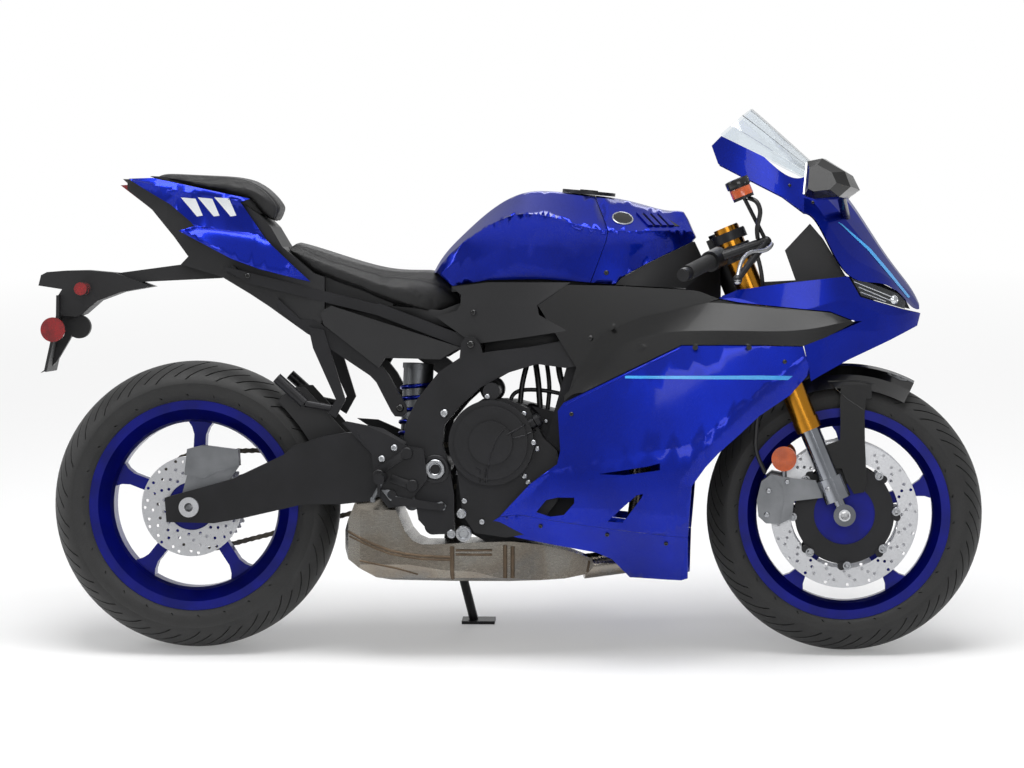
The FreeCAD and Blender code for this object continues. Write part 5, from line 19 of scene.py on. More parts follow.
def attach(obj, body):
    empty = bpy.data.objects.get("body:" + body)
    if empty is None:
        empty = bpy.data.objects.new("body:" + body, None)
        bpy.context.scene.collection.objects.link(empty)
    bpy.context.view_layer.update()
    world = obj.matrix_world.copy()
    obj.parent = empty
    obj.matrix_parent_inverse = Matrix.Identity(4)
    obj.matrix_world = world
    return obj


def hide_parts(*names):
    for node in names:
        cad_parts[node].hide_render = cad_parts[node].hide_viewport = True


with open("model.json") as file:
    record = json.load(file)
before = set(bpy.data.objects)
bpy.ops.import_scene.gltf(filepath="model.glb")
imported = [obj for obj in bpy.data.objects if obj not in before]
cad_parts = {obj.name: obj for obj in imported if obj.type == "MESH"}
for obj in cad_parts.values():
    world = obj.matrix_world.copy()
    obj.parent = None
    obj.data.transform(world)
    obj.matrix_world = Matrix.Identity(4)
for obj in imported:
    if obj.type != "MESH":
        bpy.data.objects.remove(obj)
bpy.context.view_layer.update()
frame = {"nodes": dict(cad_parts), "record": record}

# %% [markdown]
# ## The bike's own upright frame
# The bike leans on its side stand, but it is far easier to think of it upright: x ahead from the rear
# axle, y to the rider's left, z up, in millimetres. The rear axle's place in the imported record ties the
# two together, so the same numbers fit even if the whole model is shifted later.

# %% From upright millimetres to the leaning row frame
MM = 0.001
LEAN = math.radians(9.5)
WHEELBASE = 1420.0
FRONT_RADIUS = 299.9
REAR_RADIUS = 314.9
STEER_SLOPE = 0.4159
mounts = {m["name"]: m for m in frame["record"]["mounts"]}
lean_turn = Matrix.Rotation(-LEAN, 4, "X")
rear_axle_spot = Vector(mounts["rear_axle_bore"]["pos_m"])
BIKE = Matrix.Translation(rear_axle_spot - lean_turn @ Vector((0, 0, REAR_RADIUS * MM))) @ lean_turn
CAD_FRAME = BIKE.inverted()


def at(x, y, z):
    """A point of the upright bike, in millimetres, as a point of the row frame in metres."""
    return BIKE @ Vector((x * MM, y * MM, z * MM))


front_axle_spot = Vector(mounts["front_axle_bore"]["pos_m"])
print("front axle off by mm:", round((at(WHEELBASE, 0, FRONT_RADIUS) - front_axle_spot).length / MM, 3))

# %% [markdown]
# ## Camera, light and floor
# The photograph was taken from the right side with a long lens, almost square to the bike.
# The lens and place were worked out from the two wheels, which are circles of known size.
# The light is a wide soft box overhead with much weaker ones at the camera, the tail and the far side,
# so tops glow and sides fall dark. The sky lights the bike softly, but the camera, and glass, see it as
# pure white, and metal sees a share of that white. The floor fades to the same white away from the bike.

# %% Camera
CAMERA_SPOT = (1284.6, -9802.1, 867.0)
CAMERA_YAW = math.radians(3.452)
CAMERA_PITCH = math.radians(1.678)
LENS_MM = 157.49
SENSOR_MM = 36.0
ahead = Vector((-math.sin(CAMERA_YAW) * math.cos(CAMERA_PITCH),
                math.cos(CAMERA_YAW) * math.cos(CAMERA_PITCH), -math.sin(CAMERA_PITCH)))
right = Vector((math.cos(CAMERA_YAW), math.sin(CAMERA_YAW), 0))
above = right.cross(ahead)


def new_object(name, data):
    """A new object with this data, linked into the scene."""
    made = bpy.data.objects.new(name, data)
    bpy.context.scene.collection.objects.link(made)
    return made


camera = new_object("photo_camera", bpy.data.cameras.new("photo_camera"))
axes = Matrix((right, above, -ahead)).transposed().to_4x4()
camera.matrix_world = BIKE @ Matrix.Translation(Vector(CAMERA_SPOT) * MM) @ axes
camera.data.sensor_width = SENSOR_MM
camera.data.lens = LENS_MM
camera.data.clip_end = 200
bpy.context.scene.camera = camera
print("camera at", [round(v, 3) for v in camera.location])

# %% Colours and one function for nodes


def linear(hex_code, alpha=1.0):
    """An sRGB hex colour as the linear values that Blender's sockets take."""
    parts = [int(hex_code[i:i + 2], 16) / 255 for i in (1, 3, 5)]
    return [p / 12.92 if p <= 0.04045 else ((p + 0.055) / 1.055) ** 2.4 for p in parts] + [alpha]


def add(tree, kind, values=None, links=None, **settings):
    """A node with its settings, plain socket values, and links into its sockets."""
    made = tree.nodes.new(kind)
    for name, value in settings.items():
        setattr(made, name, value)
    for socket, value in (values or {}).items():
        made.inputs[socket].default_value = value
    for socket, source in (links or {}).items():
        tree.links.new(source, made.inputs[socket])
    return made


def begin_material(name):
    """An empty material: its node tree and its output node."""
    material = bpy.data.materials.new(name)
    material.use_nodes = True
    material.node_tree.nodes.clear()
    output = add(material.node_tree, "ShaderNodeOutputMaterial")
    return material, material.node_tree, output


# %% Floor, sky and soft boxes
bpy.context.scene.view_settings.view_transform = "Standard"
world = bpy.data.worlds.new("studio")
bpy.context.scene.world = world
world.use_nodes = True
world.node_tree.nodes.clear()
SKY_STRENGTH = 0.42
sky_place = add(world.node_tree, "ShaderNodeTexCoord")
sky_height = add(world.node_tree, "ShaderNodeSeparateXYZ",
                 links={"Vector": sky_place.outputs["Generated"]})
sky_ramp = add(world.node_tree, "ShaderNodeValToRGB", links={"Fac": sky_height.outputs["Z"]})
sky_ramp.color_ramp.elements[0].color = linear("#6f7378")
sky_ramp.color_ramp.elements[1].color = linear("#ffffff")
sky_ramp.color_ramp.elements[1].position = 0.75
sky_light = add(world.node_tree, "ShaderNodeBackground", {"Strength": SKY_STRENGTH},
                {"Color": sky_ramp.outputs["Color"]})
WHITE_IN_GLOSS = 0.4
white_light = add(world.node_tree, "ShaderNodeBackground",
                  {"Strength": 1.0, "Color": linear("#ffffff")})


def seen_as_background(tree, gloss_share):
    """1 for camera and glass rays and a share for mirrored ones: where the white backdrop shows."""
    ray = add(tree, "ShaderNodeLightPath")
    direct = add(tree, "ShaderNodeMath",
                 links={0: ray.outputs["Is Camera Ray"], 1: ray.outputs["Is Transmission Ray"]},
                 operation="ADD", use_clamp=True)
    return add(tree, "ShaderNodeMath", {1: gloss_share},
               {0: ray.outputs["Is Glossy Ray"], 2: direct.outputs["Value"]},
               operation="MULTIPLY_ADD", use_clamp=True).outputs["Value"]


backdrop = add(world.node_tree, "ShaderNodeMixShader",
               links={"Fac": seen_as_background(world.node_tree, WHITE_IN_GLOSS),
                      1: sky_light.outputs["Background"], 2: white_light.outputs["Background"]})
add(world.node_tree, "ShaderNodeOutputWorld", links={"Surface": backdrop.outputs["Shader"]})

bpy.ops.object.select_all(action="DESELECT")
bpy.ops.mesh.primitive_circle_add(vertices=64, radius=70, fill_type="NGON")
floor = bpy.context.active_object
floor.name = "studio_floor"
floor_paint, tree, output = begin_material("painted_studio_floor")
speck = add(tree, "ShaderNodeTexNoise", {"Scale": 3.0, "Detail": 4.0})
shade = add(tree, "ShaderNodeMix", {"A": linear("#f7f7f7"), "B": linear("#fbfbfb")},
            {"Factor": speck.outputs["Fac"]}, data_type="RGBA")
matt = add(tree, "ShaderNodeBsdfDiffuse", links={"Color": shade.outputs["Result"]})
glow = add(tree, "ShaderNodeEmission", {"Strength": 1.0, "Color": linear("#ffffff")})
floor_place = add(tree, "ShaderNodeTexCoord")
away = add(tree, "ShaderNodeVectorMath", links={0: floor_place.outputs["Object"]}, operation="LENGTH")
FADE_START, FADE_END = 1.5, 5.0
fading = add(tree, "ShaderNodeMapRange",
             {"From Min": FADE_START, "From Max": FADE_END, "To Min": 0.25, "To Max": 1.0},
             {"Value": away.outputs["Value"]})
seen = add(tree, "ShaderNodeMath", links={0: seen_as_background(tree, WHITE_IN_GLOSS),
                                          1: fading.outputs["Result"]}, operation="MULTIPLY")
lit = add(tree, "ShaderNodeMixShader", links={"Fac": seen.outputs["Value"], 1: matt.outputs["BSDF"],
                                              2: glow.outputs["Emission"]})
tree.links.new(lit.outputs["Shader"], output.inputs["Surface"])
floor.data.materials.append(floor_paint)


def soft_box(name, spot, aim, width, height, watts):
    """A rectangular area light that faces a point."""
    lamp = new_object(name, bpy.data.lights.new(name, "AREA"))
    lamp.data.shape = "RECTANGLE"
    lamp.data.size = width
    lamp.data.size_y = height
    lamp.data.energy = watts
    lamp.location = spot
    lamp.rotation_euler = (Vector(aim) - Vector(spot)).to_track_quat("-Z", "Y").to_euler()
    return lamp


soft_box("overhead_box", (0.1, -0.6, 4.2), (0, 0, 0.5), 3.6, 2.2, 165)
soft_box("camera_side_box", (1.2, -5.2, 2.6), (0.1, 0, 0.6), 2.6, 1.6, 38)
soft_box("tail_box", (-4.2, -1.0, 2.4), (-0.2, 0, 0.7), 1.0, 2.2, 35)
soft_box("far_side_box", (0.5, 5.0, 3.0), (0, 0, 0.6), 2.6, 1.6, 38)
# %% [markdown]
# ## Finishes
# Every real surface is uneven at two scales: a slow change of shade over a hand's width, and a fine
# grain that only breaks up the gloss. One builder makes that pair of patterns from real sizes in
# millimetres, and the special finishes, such as heat-tinted steel, add to it.

# %% The two-scale finish builder


def scale_of(size_mm):
    """The texture scale that gives features of this size on coordinates in metres."""
    return 1000.0 / size_mm


def make_finish(name, base, shade, mottle_mm=90.0, metallic=0.0, rough=0.4, rough_spread=0.05,
                grain_mm=3.0, grain_depth_mm=0.1, stretch=(1, 1, 1), **plain):
    """A material with a slow shade change and a fine grain; plain holds sockets set to one value."""
    material, tree, output = begin_material(name)
    place = add(tree, "ShaderNodeTexCoord")
    mapped = add(tree, "ShaderNodeMapping", {"Scale": stretch}, {"Vector": place.outputs["Object"]})
    mottle = add(tree, "ShaderNodeTexNoise", {"Scale": scale_of(mottle_mm), "Detail": 5.0},
                 {"Vector": place.outputs["Object"]})
    soften = add(tree, "ShaderNodeMapRange", {"From Min": 0.35, "From Max": 0.65},
                 {"Value": mottle.outputs["Fac"]})
    colour = add(tree, "ShaderNodeMix", {"A": linear(base), "B": linear(shade)},
                 {"Factor": soften.outputs["Result"]}, data_type="RGBA")
    grain = add(tree, "ShaderNodeTexNoise", {"Scale": scale_of(grain_mm), "Detail": 3.0},
                {"Vector": mapped.outputs["Vector"]})
    gloss = add(tree, "ShaderNodeMapRange",
                {"From Min": 0.3, "From Max": 0.7,
                 "To Min": rough - rough_spread, "To Max": rough + rough_spread},
                {"Value": grain.outputs["Fac"]})
    bump = add(tree, "ShaderNodeBump", {"Distance": grain_depth_mm * MM, "Strength": 1.0},
               {"Height": grain.outputs["Fac"]})
    shader = add(tree, "ShaderNodeBsdfPrincipled", {"Metallic": metallic, **plain},
                 {"Base Color": colour.outputs["Result"], "Roughness": gloss.outputs["Result"],
                  "Normal": bump.outputs["Normal"]})
    tree.links.new(shader.outputs["BSDF"], output.inputs["Surface"])
    return material, tree, {"shader": shader, "colour": colour, "bump": bump, "place": place}


# %% [markdown]
# ### Paint
# The blue is a candy coat: clear lacquer over blue-tinted aluminium flake, which is why it glows on top
# and falls to navy where it turns away from the light. The rims have a plainer powder coat.

# %% Paint finishes
blue_paint, tree, parts = make_finish(
    "candy_blue_lacquer_sprayed", "#0020a4", "#001a8e", mottle_mm=160, metallic=0.9, rough=0.3,
    rough_spread=0.04, grain_mm=1.6, grain_depth_mm=0.012,
    **{"Coat Weight": 0.32, "Coat Roughness": 0.04, "Coat IOR": 1.5})
rim_paint, tree, parts = make_finish(
    "blue_powder_coat_on_cast_aluminium", "#040f84", "#030c6c", mottle_mm=60, metallic=0.6, rough=0.34,
    rough_spread=0.05, grain_mm=2.0, grain_depth_mm=0.02,
    **{"Coat Weight": 0.22, "Coat Roughness": 0.12})
cyan_film, tree, parts = make_finish(
    "cyan_vinyl_stripe_cut", "#3fa9f0", "#3a9fe6", mottle_mm=70, rough=0.25, grain_mm=2.0,
    grain_depth_mm=0.01, **{"Coat Weight": 0.6, "Coat Roughness": 0.08})
white_film, tree, parts = make_finish(
    "white_vinyl_stripe_cut", "#e9ecee", "#dfe3e6", mottle_mm=70, rough=0.28, grain_mm=2.0,
    grain_depth_mm=0.01, **{"Coat Weight": 0.5, "Coat Roughness": 0.1})
gloss_black, tree, parts = make_finish(
    "gloss_black_lacquer_sprayed", "#040405", "#060607", mottle_mm=120, rough=0.18, rough_spread=0.03,
    grain_mm=2.5, grain_depth_mm=0.008, **{"Coat Weight": 0.3, "Coat Roughness": 0.05})

# %% [markdown]
# ### Plastics, rubber and vinyl
# The dark trim is moulded ABS with a fine pebble grain, the tyres are carbon-black rubber with a faint
# sheen, and the seats are grained vinyl. Black things are never truly black: dark grey with a
# soft highlight reads better and keeps their shape visible.

# %% Plastics, rubber and vinyl
black_plastic, tree, parts = make_finish(
    "grained_abs_moulded", "#0e0e10", "#141416", mottle_mm=110, rough=0.48, rough_spread=0.06,
    grain_mm=2.2, grain_depth_mm=0.12)
tyre_rubber, tree, parts = make_finish(
    "tyre_rubber_moulded", "#131313", "#1b1b1b", mottle_mm=45, rough=0.62, rough_spread=0.08,
    grain_mm=2.4, grain_depth_mm=0.1, **{"Sheen Weight": 0.08, "Sheen Roughness": 0.6})
grip_rubber, tree, parts = make_finish(
    "grip_rubber_ribbed", "#101010", "#171717", mottle_mm=30, rough=0.7, grain_mm=2.0,
    grain_depth_mm=0.35)
hose_rubber, tree, parts = make_finish(
    "brake_hose_braided_sleeve", "#0e0e0f", "#161617", mottle_mm=20, rough=0.42, grain_mm=1.5,
    grain_depth_mm=0.15)
seat_vinyl, tree, parts = make_finish(
    "seat_vinyl_embossed", "#070708", "#0a0a0b", mottle_mm=80, rough=0.5, rough_spread=0.07,
    grain_mm=2.0, grain_depth_mm=0.1, **{"Sheen Weight": 0.05, "Sheen Roughness": 0.5})
PEBBLE_WIDE = 2.6
pebble = add(tree, "ShaderNodeTexVoronoi", {"Scale": scale_of(PEBBLE_WIDE)},
             {"Vector": parts["place"].outputs["Object"]}, feature="DISTANCE_TO_EDGE")
pebble_edge = add(tree, "ShaderNodeMapRange", {"From Max": 0.12}, {"Value": pebble.outputs["Distance"]})
pebble_bump = add(tree, "ShaderNodeBump", {"Distance": 0.35 * MM, "Strength": 0.7},
                  {"Height": pebble_edge.outputs["Result"], "Normal": parts["bump"].outputs["Normal"]})
tree.links.new(pebble_bump.outputs["Normal"], parts["shader"].inputs["Normal"])

# %% [markdown]
# ### Metals
# Cast and painted parts are satin black, machined ones silver, and the outer fork tubes gold anodised.
# Machined silver and the exhaust get their grain stretched along one axis. The bare exhaust has been
# hot, so its colour drifts in patches from grey to straw and brown, and its welds are browner still.

# %% Metals
black_metal, tree, parts = make_finish(
    "satin_black_powder_coat_on_cast_aluminium", "#151517", "#1d1d20", mottle_mm=100, metallic=0.35,
    rough=0.4, rough_spread=0.05, grain_mm=2.4, grain_depth_mm=0.08)
engine_metal, tree, parts = make_finish(
    "dark_engine_paint_on_sand_casting", "#19191b", "#232326", mottle_mm=70, metallic=0.55, rough=0.42,
    rough_spread=0.08, grain_mm=3.0, grain_depth_mm=0.22)
grey_alloy, tree, parts = make_finish(
    "bead_blasted_aluminium_casting", "#85878a", "#77797c", mottle_mm=50, metallic=1.0, rough=0.4,
    rough_spread=0.06, grain_mm=2.0, grain_depth_mm=0.08)
silver_alloy, tree, parts = make_finish(
    "machined_aluminium_clear_anodised", "#b5b7ba", "#adafb3", mottle_mm=160, metallic=1.0, rough=0.3,
    rough_spread=0.06, grain_mm=2.0, grain_depth_mm=0.05, stretch=(0.2, 1, 1))
gold_tube, tree, parts = make_finish(
    "gold_anodised_aluminium_tube", "#c2862c", "#b87c28", mottle_mm=240, metallic=1.0, rough=0.24,
    rough_spread=0.02, grain_mm=1.5, grain_depth_mm=0.004)
plated_steel, tree, parts = make_finish(
    "hard_chrome_on_ground_steel", "#9a9da3", "#8a8d93", mottle_mm=60, metallic=1.0, rough=0.12,
    rough_spread=0.03, grain_mm=2.0, grain_depth_mm=0.006)
brushed_steel, tree, parts = make_finish(
    "turned_stainless_steel", "#d8d9dc", "#d3d4d7", mottle_mm=300, metallic=1.0, rough=0.3,
    rough_spread=0.03, grain_mm=1.6, grain_depth_mm=0.006)
chain_steel, tree, parts = make_finish(
    "oiled_chain_steel_stamped", "#6b665c", "#4f4b43", mottle_mm=25, metallic=1.0, rough=0.36,
    rough_spread=0.1, grain_mm=2.0, grain_depth_mm=0.05)
seam_steel, tree, parts = make_finish(
    "heat_browned_steel_weld", "#6b5c4c", "#54483c", mottle_mm=40, metallic=0.9, rough=0.4,
    rough_spread=0.06, grain_mm=1.4, grain_depth_mm=0.03)
mirror_silver, tree, parts = make_finish(
    "silvered_mirror_glass", "#d8dbde", "#d2d5d9", mottle_mm=80, metallic=1.0, rough=0.04,
    rough_spread=0.01, grain_mm=4.0, grain_depth_mm=0.002)

exhaust_steel, tree, parts = make_finish(
    "stainless_exhaust_welded_and_heat_tinted", "#97938c", "#88847d", mottle_mm=140, metallic=1.0,
    rough=0.25, rough_spread=0.06, grain_mm=2.6, grain_depth_mm=0.02, stretch=(0.25, 1, 1))
heat = add(tree, "ShaderNodeTexNoise", {"Scale": scale_of(130), "Detail": 4.0, "Distortion": 0.6},
           {"Vector": parts["place"].outputs["Object"]})
heat_colours = add(tree, "ShaderNodeValToRGB", links={"Fac": heat.outputs["Fac"]})
heat_stops = [(0.36, "#97938b"), (0.48, "#8b7d69"), (0.57, "#74614c"), (0.66, "#6a635c"),
              (0.74, "#5f6672")]
while len(heat_colours.color_ramp.elements) < len(heat_stops):
    heat_colours.color_ramp.elements.new(0.5)
for stop, (spot, code) in zip(heat_colours.color_ramp.elements, heat_stops):
    stop.position = spot
    stop.color = linear(code)
tinted = add(tree, "ShaderNodeMix", {"Factor": 0.3},
             {"A": parts["colour"].outputs["Result"], "B": heat_colours.outputs["Color"]},
             data_type="RGBA")
tree.links.new(tinted.outputs["Result"], parts["shader"].inputs["Base Color"])

# %% [markdown]
# ### Clear parts
# The screen is acrylic, the lamp covers polycarbonate: both let light through, so they take a
# transmission value and their real index of refraction. Reflectors hide small prisms behind the
# lens, drawn here as a cell pattern four millimetres wide.

# %% Clear parts
screen_clear, tree, parts = make_finish(
    "clear_acrylic_blown", "#f0f4f7", "#e9eff3", mottle_mm=200, rough=0.05, rough_spread=0.01,
    grain_mm=6, grain_depth_mm=0.002, **{"Transmission Weight": 1.0, "IOR": 1.49})
lamp_clear, tree, parts = make_finish(
    "headlamp_polycarbonate_smoked", "#1c2026", "#262b33", mottle_mm=50, rough=0.07, rough_spread=0.02,
    grain_mm=5, grain_depth_mm=0.01, **{"Transmission Weight": 0.35, "IOR": 1.58, "Coat Weight": 1.0,
                                        "Coat Roughness": 0.03})


def make_reflector(name, base, shade, cell_mm):
    """Coloured lens plastic over a field of small prisms."""
    material, tree, parts = make_finish(name, base, shade, mottle_mm=20, rough=0.12, rough_spread=0.03,
                                        grain_mm=3, grain_depth_mm=0.02,
                                        **{"Coat Weight": 1.0, "Coat Roughness": 0.04, "IOR": 1.49})
    cells = add(tree, "ShaderNodeTexVoronoi", {"Scale": scale_of(cell_mm), "Randomness": 0.15},
                {"Vector": parts["place"].outputs["Object"]})
    relief = add(tree, "ShaderNodeBump", {"Distance": 0.8 * MM, "Strength": 0.6},
                 {"Height": cells.outputs["Distance"], "Normal": parts["bump"].outputs["Normal"]})
    tree.links.new(relief.outputs["Normal"], parts["shader"].inputs["Normal"])
    return material


red_lens = make_reflector("red_lens_acrylic_moulded", "#8c0d12", "#6d080c", 4.0)
orange_lens = make_reflector("orange_lens_acrylic_moulded", "#d65d12", "#b94a0b", 4.0)

# %% [markdown]
# ### Dressing the frame
# The record says which finish each CAD node has, by slot name, so the blue panels, cast parts and
# machined parts all take their material in one loop.

# %% Every CAD node takes its finish
FINISHES = {
    "blue_paint": blue_paint, "black_plastic": black_plastic, "gloss_black": gloss_black,
    "black_metal": black_metal, "grey_alloy": grey_alloy, "silver_alloy": silver_alloy,
    "gold_tube": gold_tube, "plated": plated_steel, "steel": brushed_steel,
    "exhaust_steel": exhaust_steel, "chain_steel": chain_steel, "tyre_rubber": tyre_rubber,
    "blue_rim": rim_paint, "seat_cover": seat_vinyl, "grip_rubber": grip_rubber,
    "clear_screen": screen_clear, "lamp_clear": lamp_clear, "lamp_red": red_lens,
    "lamp_orange": orange_lens, "mirror": mirror_silver, "rubber_hose": hose_rubber,
    "engine_metal": engine_metal}
node_slots = {row["node"]: row["material_slot"] for row in frame["record"]["subparts"]}
for node_name, node in frame["nodes"].items():
    node.data.materials.clear()
    node.data.materials.append(FINISHES[node_slots[node_name]])
print("finished nodes:", len(node_slots))

# %% [markdown]
# ## Hand tools
# Everything below is modelled the same way: a primitive is added, faces or edges are picked by where
# they are, and an operator pushes, insets or bevels them. These few helpers add the primitive with
# nothing else selected, pick parts in edit mode, and hand the finished piece to the body that it
# moves with.

# %% Helpers for modelling


def primitive(kind, **values):
    """Adds a primitive with everything else deselected and returns it."""
    bpy.ops.object.select_all(action="DESELECT")
    getattr(bpy.ops.mesh, "primitive_%s_add" % kind)(**values)
    return bpy.context.active_object


def take(piece):
    """Makes one object the only selected and active one."""
    bpy.ops.object.select_all(action="DESELECT")
    piece.hide_set(False)
    piece.select_set(True)
    bpy.context.view_layer.objects.active = piece
    return piece


def edit(piece):
    """Takes one object into edit mode."""
    take(piece)
    bpy.ops.object.mode_set(mode="EDIT")


def done():
    """Leaves edit mode."""
    bpy.ops.object.mode_set(mode="OBJECT")


def pick(piece, kind, test):
    """In edit mode, selects only the faces, edges or vertices that pass a test."""
    bpy.ops.mesh.select_mode(type=kind)
    bpy.ops.mesh.select_all(action="DESELECT")
    mesh = bmesh.from_edit_mesh(piece.data)
    items = {"FACE": mesh.faces, "EDGE": mesh.edges, "VERT": mesh.verts}[kind]
    for item in items:
        if test(item):
            item.select_set(True)
    mesh.select_flush_mode()
    bmesh.update_edit_mesh(piece.data)


def face_outward():
    """In edit mode, turns every face of a piece outward."""
    bpy.ops.mesh.select_all(action="SELECT")
    bpy.ops.mesh.normals_make_consistent(inside=False)


def flat_outline(outline, y_mm):
    """One face with this side-view outline, standing at one y."""
    sheet = primitive("circle", vertices=len(outline), radius=1.0, fill_type="NGON")
    for vertex, (x, z) in zip(sheet.data.vertices, outline):
        vertex.co = (x * MM, y_mm * MM, z * MM)
    return sheet


def grid_cuts(xs, zs, step_mm):
    """In edit mode, bisects a piece into side-view squares between the lowest and highest x and z."""
    for values, normal in ((xs, (1, 0, 0)), (zs, (0, 0, 1))):
        for cut in range(1, int((max(values) - min(values)) / step_mm)):
            spot = min(values) + cut * step_mm
            bpy.ops.mesh.select_all(action="SELECT")
            bpy.ops.mesh.bisect(plane_co=[spot * MM * n for n in normal], plane_no=normal)


def modify(piece, kind, **settings):
    """Adds a modifier, sets it and applies it."""
    take(piece)
    modifier = piece.modifiers.new(kind.lower(), kind)
    for name, value in settings.items():
        setattr(modifier, name, value)
    bpy.ops.object.modifier_apply(modifier=modifier.name)


def join(pieces):
    """Joins several objects into the first one."""
    bpy.ops.object.select_all(action="DESELECT")
    for piece in pieces:
        piece.select_set(True)
    bpy.context.view_layer.objects.active = pieces[0]
    bpy.ops.object.join()
    return pieces[0]


def copy_of(piece, change=None):
    """A copy with its own mesh, moved by a matrix if one is given."""
    twin = piece.copy()
    twin.data = piece.data.copy()
    bpy.context.scene.collection.objects.link(twin)
    if change is not None:
        twin.data.transform(change)
        if change.determinant() < 0:
            twin.data.flip_normals()
    return twin


def settle(piece, name, material, body, replaces=(), smooth=35.0, upright=True):
    """Freezes a piece, leans it over with the bike, and gives it its finish and its body."""
    take(piece)
    bpy.ops.object.transform_apply(location=True, rotation=True, scale=True)
    if upright:
        piece.data.transform(BIKE)
    bpy.ops.object.shade_smooth_by_angle(angle=math.radians(smooth))
    piece.name = name
    piece.data.name = name
    piece.data.materials.clear()
    piece.data.materials.append(material)
    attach(piece, body)
    if replaces:
        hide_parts(*replaces)
    print(name, len(piece.data.polygons), "faces")
    return piece


MIRROR = Matrix.Scale(-1, 4, (0, 1, 0))

# %% [markdown]
# ## Tyres
# A road tyre is a surface of revolution with a rounded crown, so its cross-section is drawn once and
# spun about the axle. The tread grooves are real: the faces where a groove runs are inset and sunk.
# The trick that makes them slant is to twist each ring of the tyre a little more the further it
# is from the middle, which leaves the round shape alone but slants every row of faces.

# %% Tyre section, spin and tread
CROWN = [(0.0, 0.0), (0.12, 0.001), (0.24, 0.005), (0.36, 0.0115), (0.48, 0.021), (0.6, 0.034),
         (0.71, 0.051), (0.81, 0.0715), (0.9, 0.097), (0.962, 0.123), (0.99, 0.144), (0.995, 0.152),
         (0.985, 0.157)]
BEAD_RADIUS, FLANGE_RADIUS = 216.4, 230.6
PITCHES = 26
PITCH_STEPS = [0.0, 0.075, 0.29, 0.5, 0.565, 0.8]
GROOVE_DEPTH = 3.5
GROOVE_LIP = 0.7
TREAD_FLOOR = 0.8
TREAD_SLANT, SIDE_OFFSET = 1.3, 0.5


def make_tyre(name, centre_x, radius, half, rim_half, replaced, body):
    """Spins a tyre section about the axle, then sinks the tread grooves."""
    side = [(half * a, radius * (1 - b)) for a, b in CROWN]
    low_y, low_r = side[-1]
    drop = low_r - FLANGE_RADIUS
    side += [(low_y * 0.995, low_r - drop * 0.3), (low_y * 0.975, low_r - drop * 0.6),
             (low_y * 0.95, low_r - drop * 0.72), (rim_half + 5.5, FLANGE_RADIUS + 4.5),
             (rim_half + 2.0, FLANGE_RADIUS + 0.6), (rim_half - 5.8, FLANGE_RADIUS - 1.0),
             (rim_half - 6.2, BEAD_RADIUS)]
    section = side + [(-y, r) for y, r in reversed(side)][:-1]
    ring = primitive("circle", vertices=len(section), radius=radius * MM)
    for vertex, (y, r) in zip(ring.data.vertices, section):
        vertex.co = (centre_x * MM, y * MM, (radius + r) * MM)
    centre = Vector((centre_x, 0, radius)) * MM
    edit(ring)
    bpy.ops.mesh.select_all(action="SELECT")
    steps = PITCHES * len(PITCH_STEPS)
    bpy.ops.mesh.spin(steps=steps, angle=math.tau, center=centre, axis=(0, 1, 0))
    bpy.ops.mesh.select_all(action="SELECT")
    bpy.ops.mesh.remove_doubles(threshold=0.0002)
    face_outward()
    done()
    pitch = math.tau / PITCHES
    marks = PITCH_STEPS + [1.0]

    def step_of(point, offset=0.5):
        arm = point - centre
        return int(math.floor(math.atan2(arm.z, arm.x) % math.tau / math.tau * steps + offset)) % steps

    def share_of(point):
        return abs(point.y) / (half * MM)

    grooves = set()
    for face in ring.data.polygons:
        step, share = step_of(face.center, 0.0) % len(PITCH_STEPS), share_of(face.center)
        if (face.center - centre).length > radius * TREAD_FLOOR * MM:
            if (step == 0 and 0.2 < share < 0.86) or (step == 3 and 0.5 < share < 0.95):
                grooves.add(face.index)
    for vertex in ring.data.vertices:
        arm = vertex.co - centre
        step, share, length = step_of(vertex.co), share_of(vertex.co), math.hypot(arm.x, arm.z)
        turn = (step // len(PITCH_STEPS) + marks[step % len(PITCH_STEPS)]) * pitch
        left_shift = SIDE_OFFSET * min(1.0, share * 4) if arm.y > 0 else 0.0
        turn += pitch * (TREAD_SLANT * share * share + left_shift)
        vertex.co = centre + Vector((math.cos(turn) * length, arm.y, math.sin(turn) * length))
    edit(ring)
    pick(ring, "FACE", lambda face: face.index in grooves)
    bpy.ops.mesh.inset(thickness=GROOVE_LIP * MM, depth=-GROOVE_DEPTH * MM, use_even_offset=True)
    done()
    return settle(ring, name, tyre_rubber, body, (replaced,), smooth=32)


make_tyre("front_tyre_treaded", WHEELBASE, FRONT_RADIUS, 60.0, 50.0, "front_tyre", "front_wheel")
make_tyre("rear_tyre_treaded", 0.0, REAR_RADIUS, 90.0, 75.0, "rear_tyre", "rear_wheel")

# %% [markdown]
# ## Brake discs
# A disc is a flat steel ring drilled with small holes that shed heat and clean the pads. The ring is a
# cylinder with its middle cut out, the drills are cylinders set round in slanting rows, and a single
# Boolean takes them all out at once. The front disc is made once and mirrored to the other side.

# %% Drilled discs


